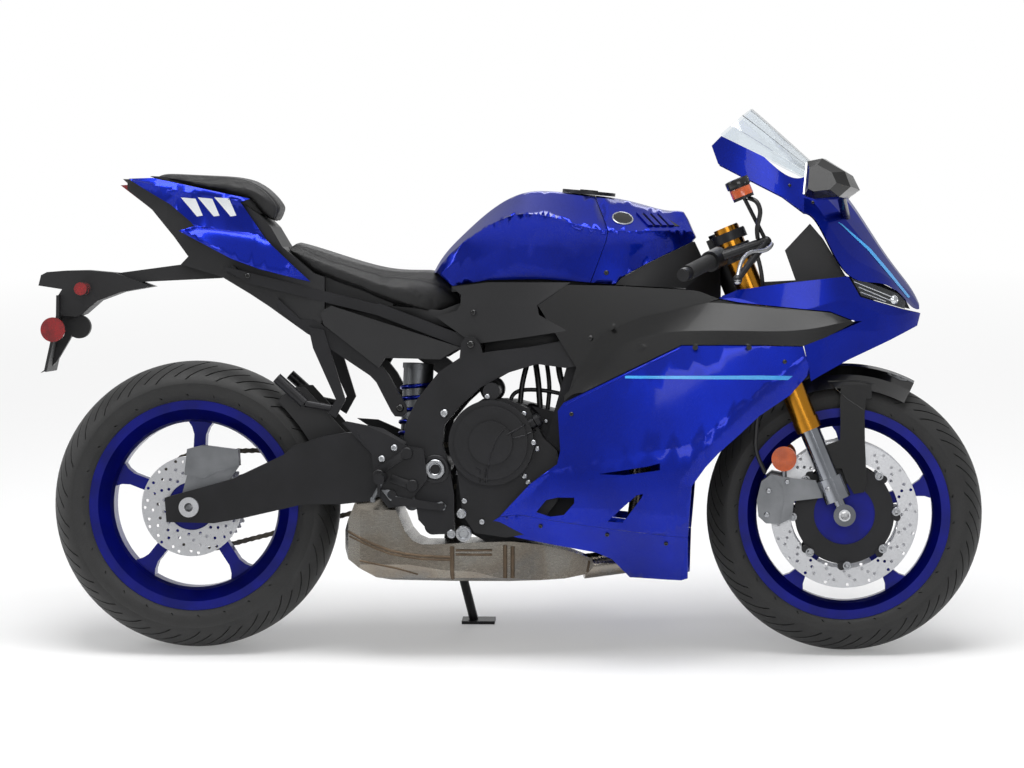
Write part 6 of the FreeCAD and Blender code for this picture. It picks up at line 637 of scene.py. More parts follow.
def make_disc(centre_x, centre_z, plane, outer, inner, thick, groups, rows, hole, notches=()):
    """A drilled ring: rows holds (radius, turn in degrees) of each hole in a group."""
    where = Vector((centre_x, plane, centre_z)) * MM

    def drum(vertices, radius, depth, distance=0.0, angle=0.0):
        spot = where + Vector((math.cos(angle), 0, math.sin(angle))) * distance * MM
        return primitive("cylinder", vertices=vertices, radius=radius * MM, depth=depth * MM,
                         location=spot, rotation=(math.pi / 2, 0, 0))

    disc = drum(144, outer, thick)
    edit(disc)
    pick(disc, "EDGE", lambda edge: any(len(face.verts) > 4 for face in edge.link_faces))
    bpy.ops.mesh.bevel(offset=0.5 * MM, segments=1)
    done()
    bores = [drum(144, inner, thick * 3)]
    for group in range(groups):
        for distance, turn in rows:
            angle = math.tau * group / groups + math.radians(turn)
            bores.append(drum(14, hole, thick * 3, distance, angle))
    for distance, size, count, turn in notches:
        for index in range(count):
            angle = math.tau * index / count + math.radians(turn)
            bores.append(drum(24, size, thick * 3, distance, -angle))
    tool = join(bores)
    modify(disc, "BOOLEAN", operation="DIFFERENCE", object=tool, solver="EXACT", use_self=True)
    bpy.data.objects.remove(tool)
    return disc


front_rows = [(124, 0), (134, 4.5), (144, 9), (153, 2.5)]
right_disc = make_disc(WHEELBASE, FRONT_RADIUS, -68.0, 159.6, 117.4, 4.4, 20, front_rows, 3.4,
                       [(113.0, 9.0, 8, 3.0)])
left_disc = copy_of(right_disc)
take(left_disc)
bpy.ops.object.transform_apply(location=True, rotation=True, scale=True)
left_disc.data.transform(MIRROR)
left_disc.data.flip_normals()
settle(right_disc, "front_disc_right_drilled", brushed_steel, "front_wheel", ("front_discs",))
settle(left_disc, "front_disc_left_drilled", brushed_steel, "front_wheel", ("front_discs",))
rear_rows = [(62, 0), (74, 9), (86, 18), (98, 5), (103, 14)]
rear_disc = make_disc(0.0, REAR_RADIUS, -103.0, 109.6, 52.4, 4.9, 15, rear_rows, 3.4)
settle(rear_disc, "rear_disc_drilled", brushed_steel, "rear_wheel", ("rear_disc",))

# %% [markdown]
# ## Drive chain
# A roller chain alternates narrow inner links and wider outer ones. One of each is modelled with few
# faces, then copied along the loop: two arcs round the sprockets joined by two straight runs.
# The loop's length is shared out evenly, so the last link meets the first.

# %% The chain's path
REAR_SPROCKET, DRIVE_SPROCKET = (0.0, 314.9, 108.7), (605.0, 402.0, 40.7)
CHAIN_PLANE = 106.0
CHAIN_PITCHES = 106


def chain_path():
    """The loop as runs: ("line", start, end) and ("arc", centre, radius, start angle, sweep)."""
    (ax, az, ar), (bx, bz, br) = REAR_SPROCKET, DRIVE_SPROCKET
    reach, tilt = math.hypot(bx - ax, bz - az), math.atan2(bz - az, bx - ax)
    lean = math.acos((ar - br) / reach)
    top, low = tilt + lean, tilt - lean

    def rim(cx, cz, r, angle):
        return Vector((cx + r * math.cos(angle), cz + r * math.sin(angle)))

    return [("line", rim(ax, az, ar, top), rim(bx, bz, br, top)),
            ("arc", (bx, bz), br, top, low - top),
            ("line", rim(bx, bz, br, low), rim(ax, az, ar, low)),
            ("arc", (ax, az), ar, low, (top - math.tau) - low)]


def along_path(runs, distance):
    """The point that lies this far along the loop."""
    for run in runs:
        length = (run[2] - run[1]).length if run[0] == "line" else abs(run[2] * run[4])
        if distance <= length:
            share = distance / length
            if run[0] == "line":
                return run[1].lerp(run[2], share)
            angle = run[3] + run[4] * share
            return Vector((run[1][0] + run[2] * math.cos(angle), run[1][1] + run[2] * math.sin(angle)))
        distance -= length
    return along_path(runs, distance)


chain_runs = chain_path()
chain_length = sum((r[2] - r[1]).length if r[0] == "line" else abs(r[2] * r[4]) for r in chain_runs)
print("chain length", round(chain_length), "mm, pitch", round(chain_length / CHAIN_PITCHES, 3))

# %% One outer and one inner link


def link_plate(middle_y, thick):
    """A side plate: a flat cylinder stretched over two pins and pinched at its waist."""
    plate = primitive("cylinder", vertices=16, radius=6.1 * MM, depth=thick * MM,
                      rotation=(math.pi / 2, 0, 0), location=(0, middle_y * MM, 0))
    bpy.ops.object.transform_apply(location=True, rotation=True, scale=True)
    for vertex in plate.data.vertices:
        side = 1 if vertex.co.x > 0 else -1
        if abs(vertex.co.x) < 1.0 * MM:
            vertex.co.z *= 0.72
        else:
            vertex.co.x += side * 7.6 * MM
    return plate


def link(plate_y, thick, pin_radius, pin_half):
    """One chain link: two side plates and their two pins or rollers."""
    parts = [link_plate(plate_y, thick), link_plate(-plate_y, thick)]
    for x in (-7.9, 7.9):
        parts.append(primitive("cylinder", vertices=10, radius=pin_radius * MM, depth=2 * pin_half * MM,
                               rotation=(math.pi / 2, 0, 0), location=(x * MM, 0, 0)))
    made = join(parts)
    bpy.ops.object.transform_apply(location=True, rotation=True, scale=True)
    return made


outer_link = link(8.6, 1.6, 2.4, 10.3)
inner_link = link(6.6, 1.6, 4.6, 5.7)
links = []
for index in range(CHAIN_PITCHES):
    start = along_path(chain_runs, chain_length * index / CHAIN_PITCHES)
    end = along_path(chain_runs, chain_length * (index + 1) / CHAIN_PITCHES - 0.001)
    middle, heading = (start + end) / 2, end - start
    place = Matrix.Translation(Vector((middle.x, CHAIN_PLANE, middle.y)) * MM)
    turn = Matrix.Rotation(-math.atan2(heading.y, heading.x), 4, "Y")
    links.append(copy_of(outer_link if index % 2 else inner_link, place @ turn))
bpy.data.objects.remove(outer_link)
bpy.data.objects.remove(inner_link)
settle(join(links), "drive_chain_links", chain_steel, "chassis", ("drive_chain",))

# %% [markdown]
# ## Seats
# A motorcycle seat is foam under a tight vinyl cover, so it bulges between the edges that hold it.
# The CAD block is copied and remeshed evenly, then blown up very gently as cloth with the air pressure
# of a cushion. How far any point may move is capped, so the seat keeps its size and stays clear of the
# tank. The seam is then pressed in.

# %% Seat pads
SEAT_FRAMES = 20


def pad_from(node_name, voxel_mm, shrink_mm, cap_mm):
    """A copy of a CAD pad, remeshed evenly and shrunk a little to leave room to swell."""
    pad = new_object(node_name + "_pad", frame["nodes"][node_name].data.copy())
    edit(pad)
    bpy.ops.mesh.select_all(action="SELECT")
    bpy.ops.mesh.remove_doubles(threshold=0.00005)
    done()
    modify(pad, "REMESH", mode="VOXEL", voxel_size=voxel_mm * MM)
    modify(pad, "SMOOTH", factor=0.5, iterations=6)
    modify(pad, "DISPLACE", strength=-shrink_mm * MM, mid_level=0.0)
    rest = [vertex.co.copy() for vertex in pad.data.vertices]
    cloth = pad.modifiers.new("foam", "CLOTH")
    cloth.settings.use_pressure = True
    cloth.settings.uniform_pressure_force = 4.0
    cloth.settings.effector_weights.gravity = 0.0
    cloth.point_cache.frame_end = SEAT_FRAMES
    for step in range(1, SEAT_FRAMES + 1):
        bpy.context.scene.frame_set(step)
    swollen = pad.evaluated_get(bpy.context.evaluated_depsgraph_get()).to_mesh()
    moved = [vertex.co.copy() for vertex in swollen.vertices]
    pad.modifiers.clear()
    for vertex, start, end in zip(pad.data.vertices, rest, moved):
        shift = end - start
        if shift.length > cap_mm * MM:
            shift *= cap_mm * MM / shift.length
        vertex.co = start + shift
    bpy.context.scene.frame_set(1)
    modify(pad, "SMOOTH", factor=0.5, iterations=3)
    return pad


def upright(point):
    """A row-frame point in the upright bike's millimetres."""
    return (CAD_FRAME @ point) / MM


def press_seam(pad, distance_to_seam, wide_mm, deep_mm):
    """Pulls the cover in along a seam; distance_to_seam gives a vertex's distance from it in mm."""
    normals = [vertex.normal.copy() for vertex in pad.data.vertices]
    for vertex, normal in zip(pad.data.vertices, normals):
        gap = abs(distance_to_seam(upright(vertex.co)))
        if gap < wide_mm:
            vertex.co -= normal * deep_mm * MM * (0.5 + 0.5 * math.cos(math.pi * gap / wide_mm))


RIDER_SEAM_HALF, PILLION_SEAM_HALF = 92, 58
rider_pad = pad_from("rider_seat", 5.0, 3.5, 6.0)
modify(rider_pad, "SUBSURF", levels=1, render_levels=1)
press_seam(rider_pad, lambda p: abs(p.y) - (RIDER_SEAM_HALF - 0.0009 * (p.x - 380) ** 2), 5.0, 2.2)
settle(rider_pad, "rider_seat_cushion", seat_vinyl, "chassis", ("rider_seat",),
                 smooth=60, upright=False)
pillion_pad = pad_from("pillion_seat", 5.0, 3.0, 6.0)
modify(pillion_pad, "SUBSURF", levels=1, render_levels=1)
press_seam(pillion_pad, lambda p: abs(p.y) - PILLION_SEAM_HALF, 5.0, 1.8)
settle(pillion_pad, "pillion_seat_cushion", seat_vinyl, "chassis", ("pillion_seat",),
                 smooth=60, upright=False)

# %% [markdown]
# ## Pressed panels
# The CAD panels are smooth, but the real ones are pressed into facets: a crease runs the length of the
# side fairing, the tank is hollowed where the knees go, and the tail has a fin. Each panel's mesh is
# copied, cut into a finer net, and its points are pushed sideways by an amount that depends on how far
# they lie from a crease. The catch with a finer net is shading: it shows every flat of the old one. So
# each corner gets the smooth normal of the untouched panel, turned by the slope of the push, which
# leaves only the creases sharp.

# %% A finer net, a sideways push and smooth normals
SLIVER = 3e-6
PANEL_ANGLE, FALLBACK_ANGLE = 28.0, 50.0
WINDOW_INNER, WINDOW_OUTER = 120.0, 420.0


def height_on(line, x):
    """The height of a side-view line at x, held level past its ends."""
    if x <= line[0][0]:
        return line[0][1]
    for (ax, az), (bx, bz) in zip(line, line[1:]):
        if x <= bx:
            return az + (bz - az) * (x - ax) / (bx - ax)
    return line[-1][1]


def gap_to(line, x, z):
    """How far a point of the side view lies from a line."""
    best = 1e9
    for (ax, az), (bx, bz) in zip(line, line[1:]):
        rx, rz = bx - ax, bz - az
        share = max(0.0, min(1.0, ((x - ax) * rx + (z - az) * rz) / (rx * rx + rz * rz)))
        best = min(best, math.hypot(x - ax - rx * share, z - az - rz * share))
    return best


def merged_copy(node_name):
    """A CAD node's mesh in the upright frame, with its loose triangles joined."""
    panel = new_object(node_name + "_copy", frame["nodes"][node_name].data.copy())
    panel.data.transform(CAD_FRAME)
    edit(panel)
    bpy.ops.mesh.select_all(action="SELECT")
    bpy.ops.mesh.remove_doubles(threshold=0.00003)
    done()
    return panel


def bisect_at(spot, normal):
    """In edit mode, cuts the selected faces at a point in millimetres."""
    bpy.ops.mesh.bisect(plane_co=[v * MM for v in spot], plane_no=normal)


def cut_window(panel, outline):
    """Cuts a side-view outline through both sides of a panel."""
    for side in (-1, 1):
        tool = flat_outline(outline, side * WINDOW_INNER)
        edit(tool)
        bpy.ops.mesh.select_all(action="SELECT")
        bpy.ops.mesh.extrude_region_move(
            TRANSFORM_OT_translate={"value": (0, side * (WINDOW_OUTER - WINDOW_INNER) * MM, 0)})
        face_outward()
        done()
        modify(panel, "BOOLEAN", operation="DIFFERENCE", object=tool, solver="EXACT")
        bpy.data.objects.remove(tool)


def smooth_lookup(panel):
    """The panel's faces for lookup, and its smooth corner normals before anything is pushed."""
    take(panel)
    bpy.ops.object.shade_smooth_by_angle(angle=math.radians(PANEL_ANGLE))
    mesh = panel.data
    corners = [[mesh.vertices[i].co.copy() for i in p.vertices] for p in mesh.polygons]
    normals = [[mesh.corner_normals[i].vector.copy() for i in p.loop_indices] for p in mesh.polygons]
    tree = BVHTree.FromPolygons([v.co for v in mesh.vertices], [p.vertices for p in mesh.polygons])
    return tree, corners, normals


def pressed_normal(probe, flat, area, lookup, push):
    """The smooth normal at a probe point, turned by the slope of the push there."""
    tree, corners, normals = lookup
    spot, _, index, _ = tree.find_nearest(probe)
    weights = poly_3d_calc(corners[index], spot)
    smooth = sum((n * w for n, w in zip(normals[index], weights)), Vector()).normalized()
    if area > SLIVER and smooth.dot(flat) < math.cos(math.radians(FALLBACK_ANGLE)):
        smooth = flat.copy()
    x, y, z = probe / MM
    side, y = (1 if y > 0 else -1) * min(abs(y), 1.0), abs(y)
    step = 0.05
    slope_x = (push(x + step, y, z) - push(x - step, y, z)) / (2 * step)
    slope_z = (push(x, y, z + step) - push(x, y, z - step)) / (2 * step)
    return Vector((smooth.x - side * slope_x * smooth.y, smooth.y,
                   smooth.z - side * slope_z * smooth.y)).normalized()


shaped = {}


def press_panel(node_name, creases, push, windows=(), step_mm=18.0):
    """Replaces a CAD panel by a copy that is cut along its creases and pushed sideways."""
    panel = merged_copy(node_name)
    lookup = smooth_lookup(panel)
    xs = [vertex.co.x / MM for vertex in panel.data.vertices]
    zs = [vertex.co.z / MM for vertex in panel.data.vertices]
    edit(panel)
    grid_cuts(xs, zs, step_mm)
    for line in creases:
        for (ax, az), (bx, bz) in zip(line, line[1:]):
            for x in (ax, bx):
                bpy.ops.mesh.select_all(action="SELECT")
                bisect_at((x, 0, 0), (1, 0, 0))
            low, high = min(ax, bx) * MM, max(ax, bx) * MM
            pick(panel, "FACE", lambda face: low < face.calc_center_median().x < high)
            bisect_at((ax, 0, az), (az - bz, 0, bx - ax))
    done()
    for window in windows:
        cut_window(panel, window)
    edit(panel)
    bpy.ops.mesh.select_all(action="SELECT")
    bpy.ops.mesh.quads_convert_to_tris()
    done()
    normals = []
    for face in panel.data.polygons:
        middle, flat = face.center.copy(), face.normal.copy()
        for index in face.vertices:
            probe = panel.data.vertices[index].co.lerp(middle, 0.15)
            normals.append(BIKE.to_3x3() @ pressed_normal(probe, flat, face.area, lookup, push))
    for vertex in panel.data.vertices:
        x, y, z = vertex.co / MM
        side = (1 if y > 0 else -1) * min(abs(y), 1.0)
        vertex.co.y += side * push(x, abs(y), z) * MM
    settle(panel, node_name + "_pressed", blue_paint, "chassis", (node_name,), smooth=180)
    panel.data.normals_split_custom_set(normals)
    shaped[node_name] = panel


# %% Side fairings
FAIRING_CREASE = [(676, 300), (751, 352), (788, 395), (1029, 445), (1107, 463), (1237, 570),
                  (1345, 660)]
FAIRING_LOW_CREASE = [(676, 300), (712, 308), (774, 322), (895, 318), (1010, 306), (1090, 300)]
FAIRING_EDGE = [(1066, 157), (1083, 255), (1092, 367), (1121, 408), (1150, 439), (1194, 478),
                (1237, 518),
                (1302, 562), (1345, 611)]
FAIRING_EDGE_INNER = [(1057, 255), (1066, 372), (1100, 423), (1131, 457), (1176, 497), (1220, 538),
                      (1286, 584)]
FAIRING_BULGE, FAIRING_RISE, LOW_BULGE, LOW_RISE = 9.0, 55.0, 6.0, 30.0
EDGE_WIDE, EDGE_DEEP = 26.0, 7.0


def fairing_push(x, y, z):
    """How far the fairing is pushed out at a side-view point."""
    below = max(0.0, height_on(FAIRING_CREASE, x) - z)
    push = FAIRING_BULGE * (1 - math.exp(-below / FAIRING_RISE))
    low = max(0.0, height_on(FAIRING_LOW_CREASE, x) - z)
    push -= LOW_BULGE * (1 - math.exp(-low / LOW_RISE))
    edge = gap_to(FAIRING_EDGE, x, z)
    return push - EDGE_DEEP * max(0.0, 1 - edge / EDGE_WIDE)


GILL = [(757, 309), (779, 336), (804, 342), (840, 342), (840, 330), (817, 304), (788, 300)]
SILVER_VENT = [(911, 291), (974, 348), (988, 351), (985, 343), (944, 288)]
SLIT = [(892, 393), (998, 410), (1024, 417), (1024, 402), (949, 391)]
press_panel("side_fairings", [FAIRING_CREASE, FAIRING_LOW_CREASE, FAIRING_EDGE_INNER], fairing_push,
            (GILL, SILVER_VENT, SLIT))

# %% Tank and its front cover
TANK_CREASE = [(560, 830), (596, 896), (637, 918), (681, 940), (704, 951), (734, 951), (786, 942),
               (841, 929),
               (897, 914), (913, 910), (989, 911), (1074, 918)]
KNEE_DEEP, KNEE_HIGH, KNEE_RISE, KNEE_KEPT = 13.0, 110.0, 28.0, 0.35
TANK_BACK, TANK_FRONT, TANK_FADE = 560, 1096, 60


def tank_push(x, y, z):
    """How far the knee hollow is pushed in at a side-view point."""
    below = max(0.0, height_on(TANK_CREASE, x) - z)
    fade = min(1.0, max(0.0, (x - TANK_BACK) / TANK_FADE))
    fade *= min(1.0, max(0.0, (TANK_FRONT - x) / TANK_FADE))
    depth = KNEE_KEPT + (1 - KNEE_KEPT) * max(0.0, 1 - below / KNEE_HIGH)
    return -KNEE_DEEP * (1 - math.exp(-below / KNEE_RISE)) * depth * fade


press_panel("fuel_tank", [TANK_CREASE], tank_push, step_mm=14.0)
press_panel("tank_cover", [TANK_CREASE], tank_push, step_mm=14.0)

# %% Tail cowls
TAIL_CREASE = [(-146, 1018), (-94, 1003), (-7, 989), (105, 970), (127, 968)]
TAIL_FIN = [(-28, 914), (6, 925), (37, 922), (140, 907), (162, 896)]
BROW_PROUD, BROW_RISE, FIN_PROUD, FIN_RISE, FIN_HIGH = 4.0, 6.0, 8.0, 7.0, 80.0


def tail_push(x, y, z):
    """How far the tail's brow and fin are pushed out at a side-view point."""
    above = max(0.0, z - height_on(TAIL_CREASE, x))
    fin = max(0.0, height_on(TAIL_FIN, x) - z)
    return (BROW_PROUD * (1 - math.exp(-above / BROW_RISE))
            + FIN_PROUD * (1 - math.exp(-fin / FIN_RISE)) * max(0.0, 1 - fin / FIN_HIGH))


press_panel("tail_cowls", [TAIL_CREASE, TAIL_FIN], tail_push, step_mm=12.0)

# %% [markdown]
# ## Stripes on the panels
# Stripes are thin vinyl laid on the paint, and they follow the curved panels. So each outline is drawn
# flat in the side view, cut into small squares by bisecting, and then projected onto the panel with
# Shrinkwrap. A little thickness afterwards makes it a real piece.

# %% Projecting an outline onto a panel
panel_targets = {}
FILM_START = 420.0


def target_of(names):
    """The CAD nodes joined into one hidden helper that outlines can be projected onto."""
    if names not in panel_targets:
        copies = []
        for name in names:
            source = shaped.get(name, frame["nodes"][name])
            copies.append(new_object(name + "_target", source.data.copy()))
        panel_targets[names] = join(copies)
        panel_targets[names].hide_render = True
    return panel_targets[names]


def lay_film(outline, targets, side=-1, lift_mm=0.5, thick_mm=0.4, strip_mm=9.0):
    """A thin skin with this side-view outline, laid on the panels from one side of the bike."""
    film = flat_outline(outline, side * FILM_START)
    edit(film)
    grid_cuts([p[0] for p in outline], [p[1] for p in outline], strip_mm)
    done()
    film.matrix_world = BIKE
    modify(film, "SHRINKWRAP", target=target_of(targets), wrap_method="PROJECT", use_project_y=True,
           use_project_x=False, use_project_z=False, use_positive_direction=side < 0,
           use_negative_direction=side > 0, offset=lift_mm * MM, wrap_mode="ABOVE_SURFACE")
    strays = {v.index for v in film.data.vertices if abs(abs(v.co.y) - FILM_START * MM) < 0.002}
    if strays:
        edit(film)
        pick(film, "VERT", lambda vertex: vertex.index in strays)
        bpy.ops.mesh.delete(type="VERT")
        done()
    edit(film)
    face_outward()
    done()
    facing = sum((p.normal.y for p in film.data.polygons), 0.0)
    if facing * side < 0:
        film.data.flip_normals()
    modify(film, "SOLIDIFY", thickness=thick_mm * MM, offset=1.0)
    return film


def both_sides(outlines, targets, name, material, body, slot, **how):
    """The same outlines on the right and the left, joined into one piece."""
    films = [lay_film(outline, targets, side, **how) for side in (-1, 1) for outline in outlines]
    return settle(join(films), name, material, body, upright=False, smooth=50)


def ribbon(points, wide):
    """The outline of a line of constant width through some side-view points."""
    upper, lower = [], []
    for index, (x, z) in enumerate(points):
        before, after = points[max(0, index - 1)], points[min(len(points) - 1, index + 1)]
        along = Vector((after[0] - before[0], after[1] - before[1])).normalized()
        upper.append((x - along.y * wide / 2, z + along.x * wide / 2))
        lower.append((x + along.y * wide / 2, z - along.x * wide / 2))
    return upper + lower[::-1]


# %% Cyan and white stripes
nose_stripe = [(1404, 933), (1412, 929), (1474, 876), (1516, 827), (1561, 771), (1556, 769), (1510, 824),
               (1468, 873)]
side_stripe = [(949, 598), (949, 603.5), (1237, 604.5), (1307, 603.5), (1297, 595), (1237, 596)]
both_sides([nose_stripe], ("upper_cowl",), "nose_stripes_cyan", cyan_film, "chassis", "blue_paint")
both_sides([side_stripe], ("side_fairings",), "fairing_stripes_cyan", cyan_film, "chassis", "blue_paint")
tail_bars = [[(-27 + d, 988), (6 + d, 985), (22 + d, 948), (9 + d, 946)] for d in (0, 38, 76)]
both_sides(tail_bars, ("tail_cowls",), "tail_bars_white", white_film, "chassis", "blue_paint")

# %% [markdown]
# ## Fasteners and turned parts
# Small bright fasteners give a machine its scale. A button-head bolt is modelled once, with its
# hexagonal socket, and copied. To seat a copy, a line is cast square to the bike's side at the bolt's
# place in the side view, and the bolt stands on the first surface that it meets, along its normal.

# %% Finding the surface under a side-view point
side_trees = {}
RAY_START = 600


def surface(names, x, z, side=-1):
    """Where a line square to the bike's side first meets some nodes: point and outward normal."""
    if names not in side_trees:
        mesh = target_of(names).data
        side_trees[names] = BVHTree.FromPolygons([CAD_FRAME @ v.co for v in mesh.vertices],
                                                 [p.vertices for p in mesh.polygons])
    outside = Vector((x, side * RAY_START, z)) * MM
    hit, normal, _, _ = side_trees[names].ray_cast(outside, Vector((0, -side, 0)))
    if hit is None:
        print("nothing of", names[0], "under", x, z)
        return None, None
    return hit, normal if normal.y * side > 0 else -normal


def seat(piece, spot, direction, size=1.0):
    """A copy of a piece, its z axis along a direction."""
    turn = Vector(direction).to_track_quat("Z", "Y").to_matrix().to_4x4()
    return copy_of(piece, Matrix.Translation(spot) @ turn @ Matrix.Scale(size, 4))


masters = []


def turned(profile, segments=40):
    """A turned solid: a filled ring carried up z through (radius, height) steps in millimetres."""
    radius, height = profile[0]
    piece = primitive("circle", vertices=segments, radius=radius * MM, fill_type="NGON",
                      location=(0, 0, height * MM))
    bpy.ops.object.transform_apply(location=True, rotation=True, scale=True)
    edit(piece)
    bpy.ops.mesh.select_all(action="SELECT")
    for (r, h), (next_r, next_h) in zip(profile, profile[1:]):
        bpy.ops.mesh.extrude_region_move(TRANSFORM_OT_translate={"value": (0, 0, (next_h - h) * MM)})
        bpy.ops.transform.resize(value=(next_r / r, next_r / r, 1), center_override=(0, 0, next_h * MM))
    face_outward()
    done()
    masters.append(piece)
    return piece


# %% One bolt, and rows of its copies
bolt = turned([(5.6, -1.0), (6.0, 0.6), (6.0, 2.6), (5.2, 4.0), (3.6, 4.6)], 20)
socket = primitive("cylinder", vertices=6, radius=3.0 * MM, depth=6 * MM, location=(0, 0, 4.6 * MM))
modify(bolt, "BOOLEAN", operation="DIFFERENCE", object=socket, solver="EXACT")
bpy.data.objects.remove(socket)


def bolt_row(name, names, spots, material, sides=(-1, 1), body="chassis"):
    """Bolts on the surface under each (x, z), or (x, z, size)."""
    made = []
    for side in sides:
        for x, z, *own in spots:
            spot, normal = surface(names, x, z, side)
            if spot is not None:
                made.append(seat(bolt, spot, normal, own[0] if own else 1.0))
    return settle(join(made), name, material, body, smooth=40)


CASE = ("engine", "clutch_cover", "frame", "footrests", "swingarm", "side_fairings", "subframe")
bolt_row("engine_bolts", CASE,
         [(592, 528), (651, 557), (559, 460), (581, 389), (729, 520), (751, 459), (757, 444), (730, 385),
          (738, 372), (600, 331), (638, 286), (596, 300, 1.6), (773, 501, 0.8), (449, 446, 1.25),
          (422, 422, 1.25), (474, 433, 1.25), (486, 364, 1.25)], silver_alloy, (-1,))
bolt_row("frame_bolts", ("frame", "subframe", "side_covers"), [(556, 520, 1.5)], silver_alloy)
bolt_row("black_bolts",
         ("subframe", "frame", "side_covers", "intake_covers", "duct_panels", "undertail"),
         [(613, 669, 1.4), (457, 530, 1.4), (618, 738), (873, 683), (125, 817)], gloss_black)
PANELS = ("side_fairings", "tank_cover", "fuel_tank", "upper_cowl", "tail_cowls")
bolt_row("panel_bolts", PANELS, [(834, 521, 0.8), (766, 279, 0.8), (910, 262, 0.8), (1036, 243, 0.8),
                                 (906, 824, 0.9), (1290, 634, 0.8)], gloss_black)
bolt_row("caliper_bolts", ("front_calipers", "fork_legs"),
         [(1252, 300), (1256, 352), (1296, 372, 0.9), (1384, 358)], silver_alloy,
         body="steering")
bolt_row("cowl_bolts", ("windscreen", "upper_cowl"), [(1300, 1012, 0.6), (1350, 975, 0.6)], gloss_black)

# %% Pivot socket, disc bobbins and the bare disc on the tank
BOBBIN_CIRCLE, BOBBIN_PLANE, BOBBIN_COUNT = 112, 70.6, 8
HUB_RING = [(21, -2), (21, 5), (19.5, 6.5), (14, 6.5), (12.5, 4), (11, 3), (10, -1)]
pin_end = min((CAD_FRAME @ v.co).y for v in frame["nodes"]["pivot_pin"].data.vertices)
pivot_spot = Vector((536 * MM, pin_end, 399 * MM))
print("swingarm pin ends at y", round(pin_end / MM))
pivot_ring = seat(turned([(31, -3), (31, 2.5), (29, 4), (23, 4), (22, 1)]), pivot_spot, (0, -1, 0))
settle(pivot_ring, "pivot_surround", black_metal, "chassis", smooth=40)
settle(seat(turned(HUB_RING), pivot_spot, (0, -1, 0)), "pivot_socket", silver_alloy, "chassis")

bobbin = turned([(9.5, -4), (9.5, 1.6), (8.6, 2.6), (6.0, 2.6), (5.2, 1.0), (4.0, 1.0), (3.4, 2.0)], 24)
bobbins = []
for index in range(BOBBIN_COUNT):
    angle = math.tau * index / BOBBIN_COUNT + math.radians(3)
    for side in (-1, 1):
        spot = Vector((WHEELBASE + BOBBIN_CIRCLE * math.cos(angle), side * BOBBIN_PLANE,
                       FRONT_RADIUS + BOBBIN_CIRCLE * math.sin(angle))) * MM
        bobbins.append(seat(bobbin, spot, (0, side, 0)))
settle(join(bobbins), "front_disc_bobbins", silver_alloy, "front_wheel")

badges, rims = [], []
badge = turned([(20, -2), (20, 1.0), (17, 1.5)])
badge_rim = turned([(23.5, -2), (23.5, 1.4), (22, 2.4), (20.5, 2.2), (20, 0.6)])
for side in (-1, 1):
    spot, normal = surface(("tank_cover",), 940, 941, side)
    badges.append(seat(badge, spot, normal))
    rims.append(seat(badge_rim, spot, normal))
settle(join(rims), "tank_disc_rims", silver_alloy, "chassis")
settle(join(badges), "tank_disc_bare", gloss_black, "chassis")

# %% [markdown]
# ## Beads, tubes and hoses
# A weld bead, a rolled seam and a rubber hose are all a round line along a path. A curve with a round
# bevel makes them, and is turned into a mesh at once. Beads are laid on the surface under their
# side-view path; hoses run freely through given points.

# %% Round lines
BEAD_STEP = 7.0


def tube(points, radius_mm, resolution=3, smooth_path=True):
    """A round tube through points in upright millimetres."""
    curve = bpy.data.curves.new("tube", "CURVE")
    curve.dimensions = "3D"
    curve.bevel_depth = radius_mm * MM
    curve.bevel_resolution = resolution
    curve.use_fill_caps = True
    curve.resolution_u = 6
    spline = curve.splines.new("NURBS" if smooth_path else "POLY")
    spline.points.add(len(points) - 1)
    for point, place in zip(spline.points, points):
        point.co = (*(Vector(place) * MM), 1.0)
    if smooth_path:
        spline.order_u = 3
        spline.use_endpoint_u = True
    take(new_object("tube", curve))
    bpy.ops.object.convert(target="MESH")
    return bpy.context.active_object


def bead(names, path, radius_mm, side=-1, sink=0.3):
    """A round bead on the surface under a side-view path."""
    points = []
    for (ax, az), (bx, bz) in zip(path, path[1:]):
        count = max(1, int(math.hypot(bx - ax, bz - az) / BEAD_STEP))
        for index in range(count + 1):
            share = index / count
            spot, normal = surface(names, ax + (bx - ax) * share, az + (bz - az) * share, side)
            if spot is not None:
                points.append(spot / MM - normal * radius_mm * sink)
    return tube(points, radius_mm, 2)


seams = [bead(("silencer",), path, radius) for path, radius in (
    ([(345, 262), (372, 249), (405, 234), (438, 222), (471, 215), (505, 211), (538, 209),
      (570, 208)], 3.4),
    ([(348, 252), (372, 242), (405, 227), (438, 215), (471, 209), (505, 204), (570, 202)], 2.6),
    ([(572, 246), (572, 161)], 5.5), ([(686, 234), (686, 162)], 5.0), ([(702, 231), (702, 162)], 5.0),
    ([(580, 223), (658, 223)], 3.0), ([(580, 214), (658, 213)], 3.0), ([(868, 205), (862, 172)], 3.0),
    ([(371, 200), (391, 196), (454, 183), (497, 170)], 2.4))]
settle(join(seams), "silencer_seams", seam_steel, "chassis", smooth=60)
settle(join([bead(("clutch_cover", "engine"), path, 2.2) for path in (
    [(688, 488), (672, 466), (660, 436), (652, 400), (650, 373)],
    [(628, 404), (636, 398), (636, 372)], [(648, 404), (646, 372)],
    [(694, 476), (726, 493), (748, 509)], [(707, 468), (732, 474), (762, 488)])]),
    "clutch_cover_ribs", engine_metal, "chassis", smooth=60)

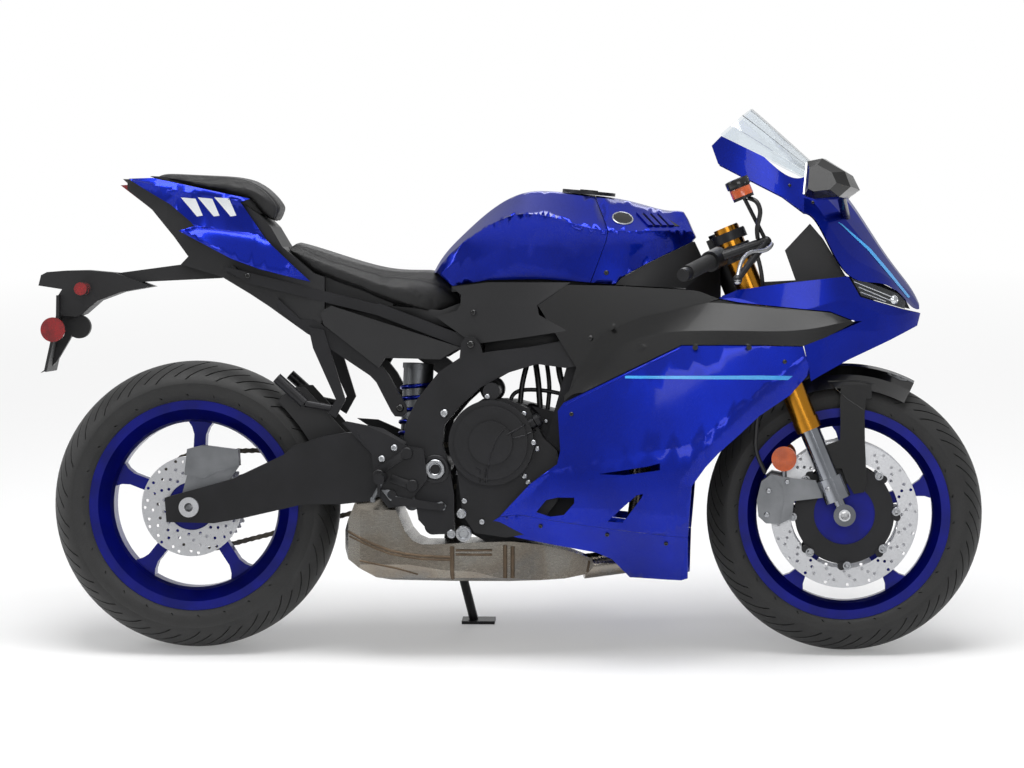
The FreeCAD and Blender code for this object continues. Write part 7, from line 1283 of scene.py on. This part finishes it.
# %% Wires and hoses seen through the frame
wires = [tube(points, radius) for points, radius in (
    ([(736, -40, 650), (722, -50, 600), (716, -55, 560), (712, -60, 500)], 6.0),
    ([(742, -30, 655), (752, -40, 600), (756, -50, 560), (760, -60, 500)], 6.5),
    ([(690, -60, 520), (692, -60, 548), (706, -55, 566), (735, -45, 569), (775, -40, 566),
      (800, -40, 560)], 4.5),
    ([(796, -50, 640), (800, -60, 600), (812, -60, 570), (806, -60, 520)], 7.0),
    ([(768, -20, 640), (778, -30, 590), (776, -40, 540), (770, -50, 500)], 5.0))]
settle(join(wires), "frame_window_hoses", hose_rubber, "chassis", smooth=60)
sensor = seat(turned([(12, -6), (15, 2), (15, 26), (12, 28), (12, 60), (15, 62), (15, 72),
                      (11, 76)], 28),
              Vector((700, -166, 473)) * MM, (0.87, 0.0, 0.49))
round_cap = seat(turned([(27, 0), (27, 30), (23, 34), (21, 34), (20, 31)]),
                 Vector((656, -60, 571)) * MM, (0, -1, 0))
pump = seat(turned([(17, 0), (17, 34), (14, 38)]), Vector((726, -70, 506)) * MM, (0.6, -0.5, 0.6))
settle(join([sensor, round_cap, pump]), "water_pump_and_cap", engine_metal, "chassis",
       smooth=35)

# %% Brake lever, reservoir hose and fluid window
LEVER = [(1262, -206, 886), (1258, -222, 876), (1240, -240, 870), (1216, -262, 869), (1200, -288, 854),
         (1193, -316, 832), (1190, -334, 814)]
lever = tube(LEVER, 4.6)
lever_ball = seat(turned([(1.5, -9.5), (7, -7), (9.5, 0), (7, 7), (1.5, 9.5)], 24),
                  Vector((1190, -337, 809)) * MM, (0, 0, 1))
settle(join([lever, lever_ball]), "front_brake_lever", silver_alloy, "steering",
       smooth=60)
POT = Vector((1203, -232, 982))
STEER_AXIS = Vector((-STEER_SLOPE, 0, 1)).normalized()
glass = turned([(23.6, 6), (23.6, 24), (23.2, 25)], 32)
settle(seat(glass, POT * MM, STEER_AXIS), "fluid_window", orange_lens, "steering")
lid = seat(turned([(26, 0), (26.4, 3), (26.4, 12), (25, 14.5), (20, 15.5)], 32),
           (POT + STEER_AXIS * 30) * MM, STEER_AXIS)
settle(lid, "reservoir_lid", gloss_black, "steering")
RESERVOIR_HOSE = [(1212, -228, 984), (1226, -236, 980), (1234, -240, 970), (1238, -240, 956),
                  (1236, -236, 942), (1232, -228, 928), (1230, -216, 914), (1232, -206, 898)]
settle(tube(RESERVOIR_HOSE, 5.0), "reservoir_hose", hose_rubber, "steering", smooth=60)

# %% [markdown]
# ## Plates, links and the spring
# Flat brackets are cut from sheet: their side outline is filled, given a thickness and a small bevel.
# Thick dark plates of the same kind stand behind the panels and close the view through the bike, as
# the air box and seat base do on a real one. The rear spring is a helix around the shock absorber's
# own axis, found from its mesh.

# %% Sheet plates


def plate(outline, y_mm, thick_mm, bevel_mm=1.0):
    """A sheet plate with a side-view outline, its middle at one y."""
    sheet = flat_outline(outline, y_mm)
    modify(sheet, "SOLIDIFY", thickness=thick_mm * MM, offset=0.0)
    edit(sheet)
    face_outward()
    done()
    modify(sheet, "BEVEL", width=bevel_mm * MM, segments=2, limit_method="ANGLE",
           angle_limit=math.radians(40))
    return sheet


AIR_BOX = [(640, 640), (640, 684), (802, 706), (815, 690), (815, 666), (760, 660)]
SEAT_BASE = [(432, 752), (544, 742), (592, 760), (570, 700), (530, 712), (440, 738)]
TANK_BASE = [(566, 818), (940, 818), (940, 782), (566, 782)]
RAIL_BASE = [(288, 758), (430, 734), (560, 692), (556, 676), (430, 700), (300, 732)]
LAMP_BED = [(1422, 814), (1474, 814), (1546, 778), (1561, 745), (1457, 771)]
PILLION_BASE = [(-99, 1035), (-33, 1033), (134, 998), (152, 952), (121, 952), (-33, 1004)]
for name, beds in (
        ("lamp_bed_and_pillion_base", ((LAMP_BED, 110), (PILLION_BASE, 90))),
        ("air_box_and_seat_base",
         ((AIR_BOX, 170), (SEAT_BASE, 170), (TANK_BASE, 150), (RAIL_BASE, 150)))):
    settle(join([plate(outline, 0, wide) for outline, wide in beds]), name, black_plastic, "chassis",
           smooth=35)

HEEL_OUTER = [(335, 500), (346, 503), (424, 488), (476, 458), (456, 430), (425, 402), (404, 428)]
heel = plate(HEEL_OUTER, -166, 4)
heel_hole = plate([(356, 490), (400, 481), (430, 459), (403, 452), (378, 466)], -166, 20)
modify(heel, "BOOLEAN", operation="DIFFERENCE", object=heel_hole, solver="EXACT")
bpy.data.objects.remove(heel_hole)
LINK_PLANE, LINK_WIDE = -172, 17
links = [heel] + [plate(ribbon(path, LINK_WIDE), LINK_PLANE, 6)
                  for path in ([(412, 392), (476, 436)], [(442, 381), (490, 363)])]
links += [seat(turned([(13, -8), (13, 4), (11.5, 5.5), (9, 5.5)], 28), Vector((x, LINK_PLANE, z)) * MM,
               (0, -1, 0)) for x, z in ((476, 434), (488, 364), (415, 386))]
settle(join(links), "heel_plate_and_links", black_metal, "chassis", smooth=35)
PEDAL = [(420, 356), (438, 356), (455, 341), (540, 327), (552, 331), (562, 322), (558, 311), (548, 313),
         (472, 324), (440, 332)]
rod = tube([(428, -178, 384), (415, -178, 358), (403, -178, 336)], 4.0, smooth_path=False)
ball = seat(turned([(2, -7), (5.5, -5), (7, 0), (5.5, 5), (2, 7)], 24), Vector((403, -178, 334)) * MM,
            (0, 0, 1))
pedal = plate(PEDAL, LINK_PLANE, 9, 2.0)
settle(join([pedal, rod, ball]), "brake_pedal", grey_alloy, "chassis", smooth=35)
collar = turned([(17, -6), (17, 8), (15, 10), (11, 10), (9, 6), (4, 6)], 32)
COLLARS = [((598, -150, 260), 1.0), ((571, -150, 259), 0.55), ((594, -162, 304), 0.6)]
settle(join([seat(collar, Vector(spot) * MM, (0, -1, 0), size) for spot, size in COLLARS]),
       "silencer_mount_collars", silver_alloy, "chassis", smooth=40)

# %% Rear spring
COIL_TURNS, COIL_STEPS, COIL_START, COIL_SHARE, COIL_FIT = 7, 14, 0.3, 0.6, 0.98
shock_points = [CAD_FRAME @ v.co for v in frame["nodes"]["shock_absorber"].data.vertices]
low_z, high_z = min(p.z for p in shock_points), max(p.z for p in shock_points)
ends = []
for share in (0.0, 1.0):
    near = [p for p in shock_points if abs(p.z - (low_z + share * (high_z - low_z))) < 0.04]
    ends.append(sum(near, Vector()) / len(near))
spring_axis = ends[1] - ends[0]
spring_turn = spring_axis.to_track_quat("Z", "Y")
spring_wide = max((p - ends[0]).cross(spring_axis.normalized()).length for p in shock_points)
coil = []
for step in range(COIL_TURNS * COIL_STEPS + 1):
    turn = math.tau * step / COIL_STEPS
    along = COIL_START + COIL_SHARE * turn / (math.tau * COIL_TURNS)
    coil.append(Vector((math.cos(turn) * spring_wide * COIL_FIT, math.sin(turn) * spring_wide * COIL_FIT,
                        spring_axis.length * along)))
settle(tube([(ends[0] + spring_turn @ spot) / MM for spot in coil], 5.0), "rear_spring_coil", blue_paint,
       "chassis", smooth=60)
print("shock axis", [round(v / MM) for v in spring_axis], "widest mm", round(spring_wide / MM))

# %% [markdown]
# ## Headlamp lines, louvres and small trim
# In the slot of the headlamp three chrome blinds and a small projector catch the light. The tank's
# front cover has four louvres on a dark bed, and the fairing's upper edge has a bright lip. A grey film
# on the front fender's tip is a painted highlight. All are laid on the panel under their outline, thick
# enough to stand as real edges.

# %% Headlamp
LAMP = ("headlamps", "upper_cowl")
LAMP_LINES = ([(1439, 805), (1523, 771)], [(1442, 796), (1525, 761)], [(1446, 785), (1507, 762)])
settle(join([bead(LAMP, line, 1.4, side, sink=0.0) for line in LAMP_LINES for side in (-1, 1)]),
       "headlamp_blinds", mirror_silver, "chassis", smooth=60)
projector = turned([(10, -4), (10, 1.2), (8.6, 2.2), (7.6, 1.6), (5.5, 3.6), (2.5, 4.8)], 28)
lamps = []
for side in (-1, 1):
    spot, normal = surface(LAMP, 1526, 766, side)
    lamps.append(seat(projector, spot, normal))
settle(join(lamps), "headlamp_projectors", mirror_silver, "chassis")

# %% Louvres
LOUVRE_BED = [(969, 952), (1022, 948), (1062, 924), (999, 924)]
both_sides([LOUVRE_BED], ("tank_cover",), "louvre_beds", gloss_black, "chassis", "gloss_black",
           strip_mm=12,
           thick_mm=0.8)
LOUVRES = [[(x, 952 - 0.1 * i), (x + 9, 951 - 0.1 * i), (x + 37, 924), (x + 27, 924)]
           for i, x in enumerate((968, 983, 998, 1013))]
both_sides(LOUVRES, ("tank_cover",), "louvre_blades", blue_paint, "chassis", "blue_paint", strip_mm=10,
           lift_mm=0.8, thick_mm=3.2)

# %% Lip of the fairing, painted highlight on the fender tip, and fender creases
settle(join([bead(("side_fairings",), [(820, 540), (834, 549), (950, 606), (1066, 662)], 2.6, side)
             for side in (-1, 1)]), "fairing_lips", blue_paint, "chassis", smooth=60)
# The grey film on the fender's tip is a painted highlight: light grey where the gloss black tip catches
# the light from above.
FENDER_TIP_HIGHLIGHT = [(1512, 604), (1524, 606), (1560, 592), (1570, 586), (1540, 590)]
both_sides([FENDER_TIP_HIGHLIGHT], ("front_fender",), "fender_tip_painted_highlight", grey_alloy, "steering", "grey_alloy",
           strip_mm=6)
FENDER_CREASES = [[(1384, 588), (1420, 590), (1452, 589), (1486, 581)],
                  [(1388, 584), (1424, 552), (1460, 528)]]
settle(join([bead(("front_fender",), path, 1.8, side) for path in FENDER_CREASES for side in (-1, 1)]),
       "fender_creases", gloss_black, "steering", smooth=60)

# %% Clear the helpers and finish
for helper in [*masters, *panel_targets.values()]:
    bpy.data.objects.remove(helper)
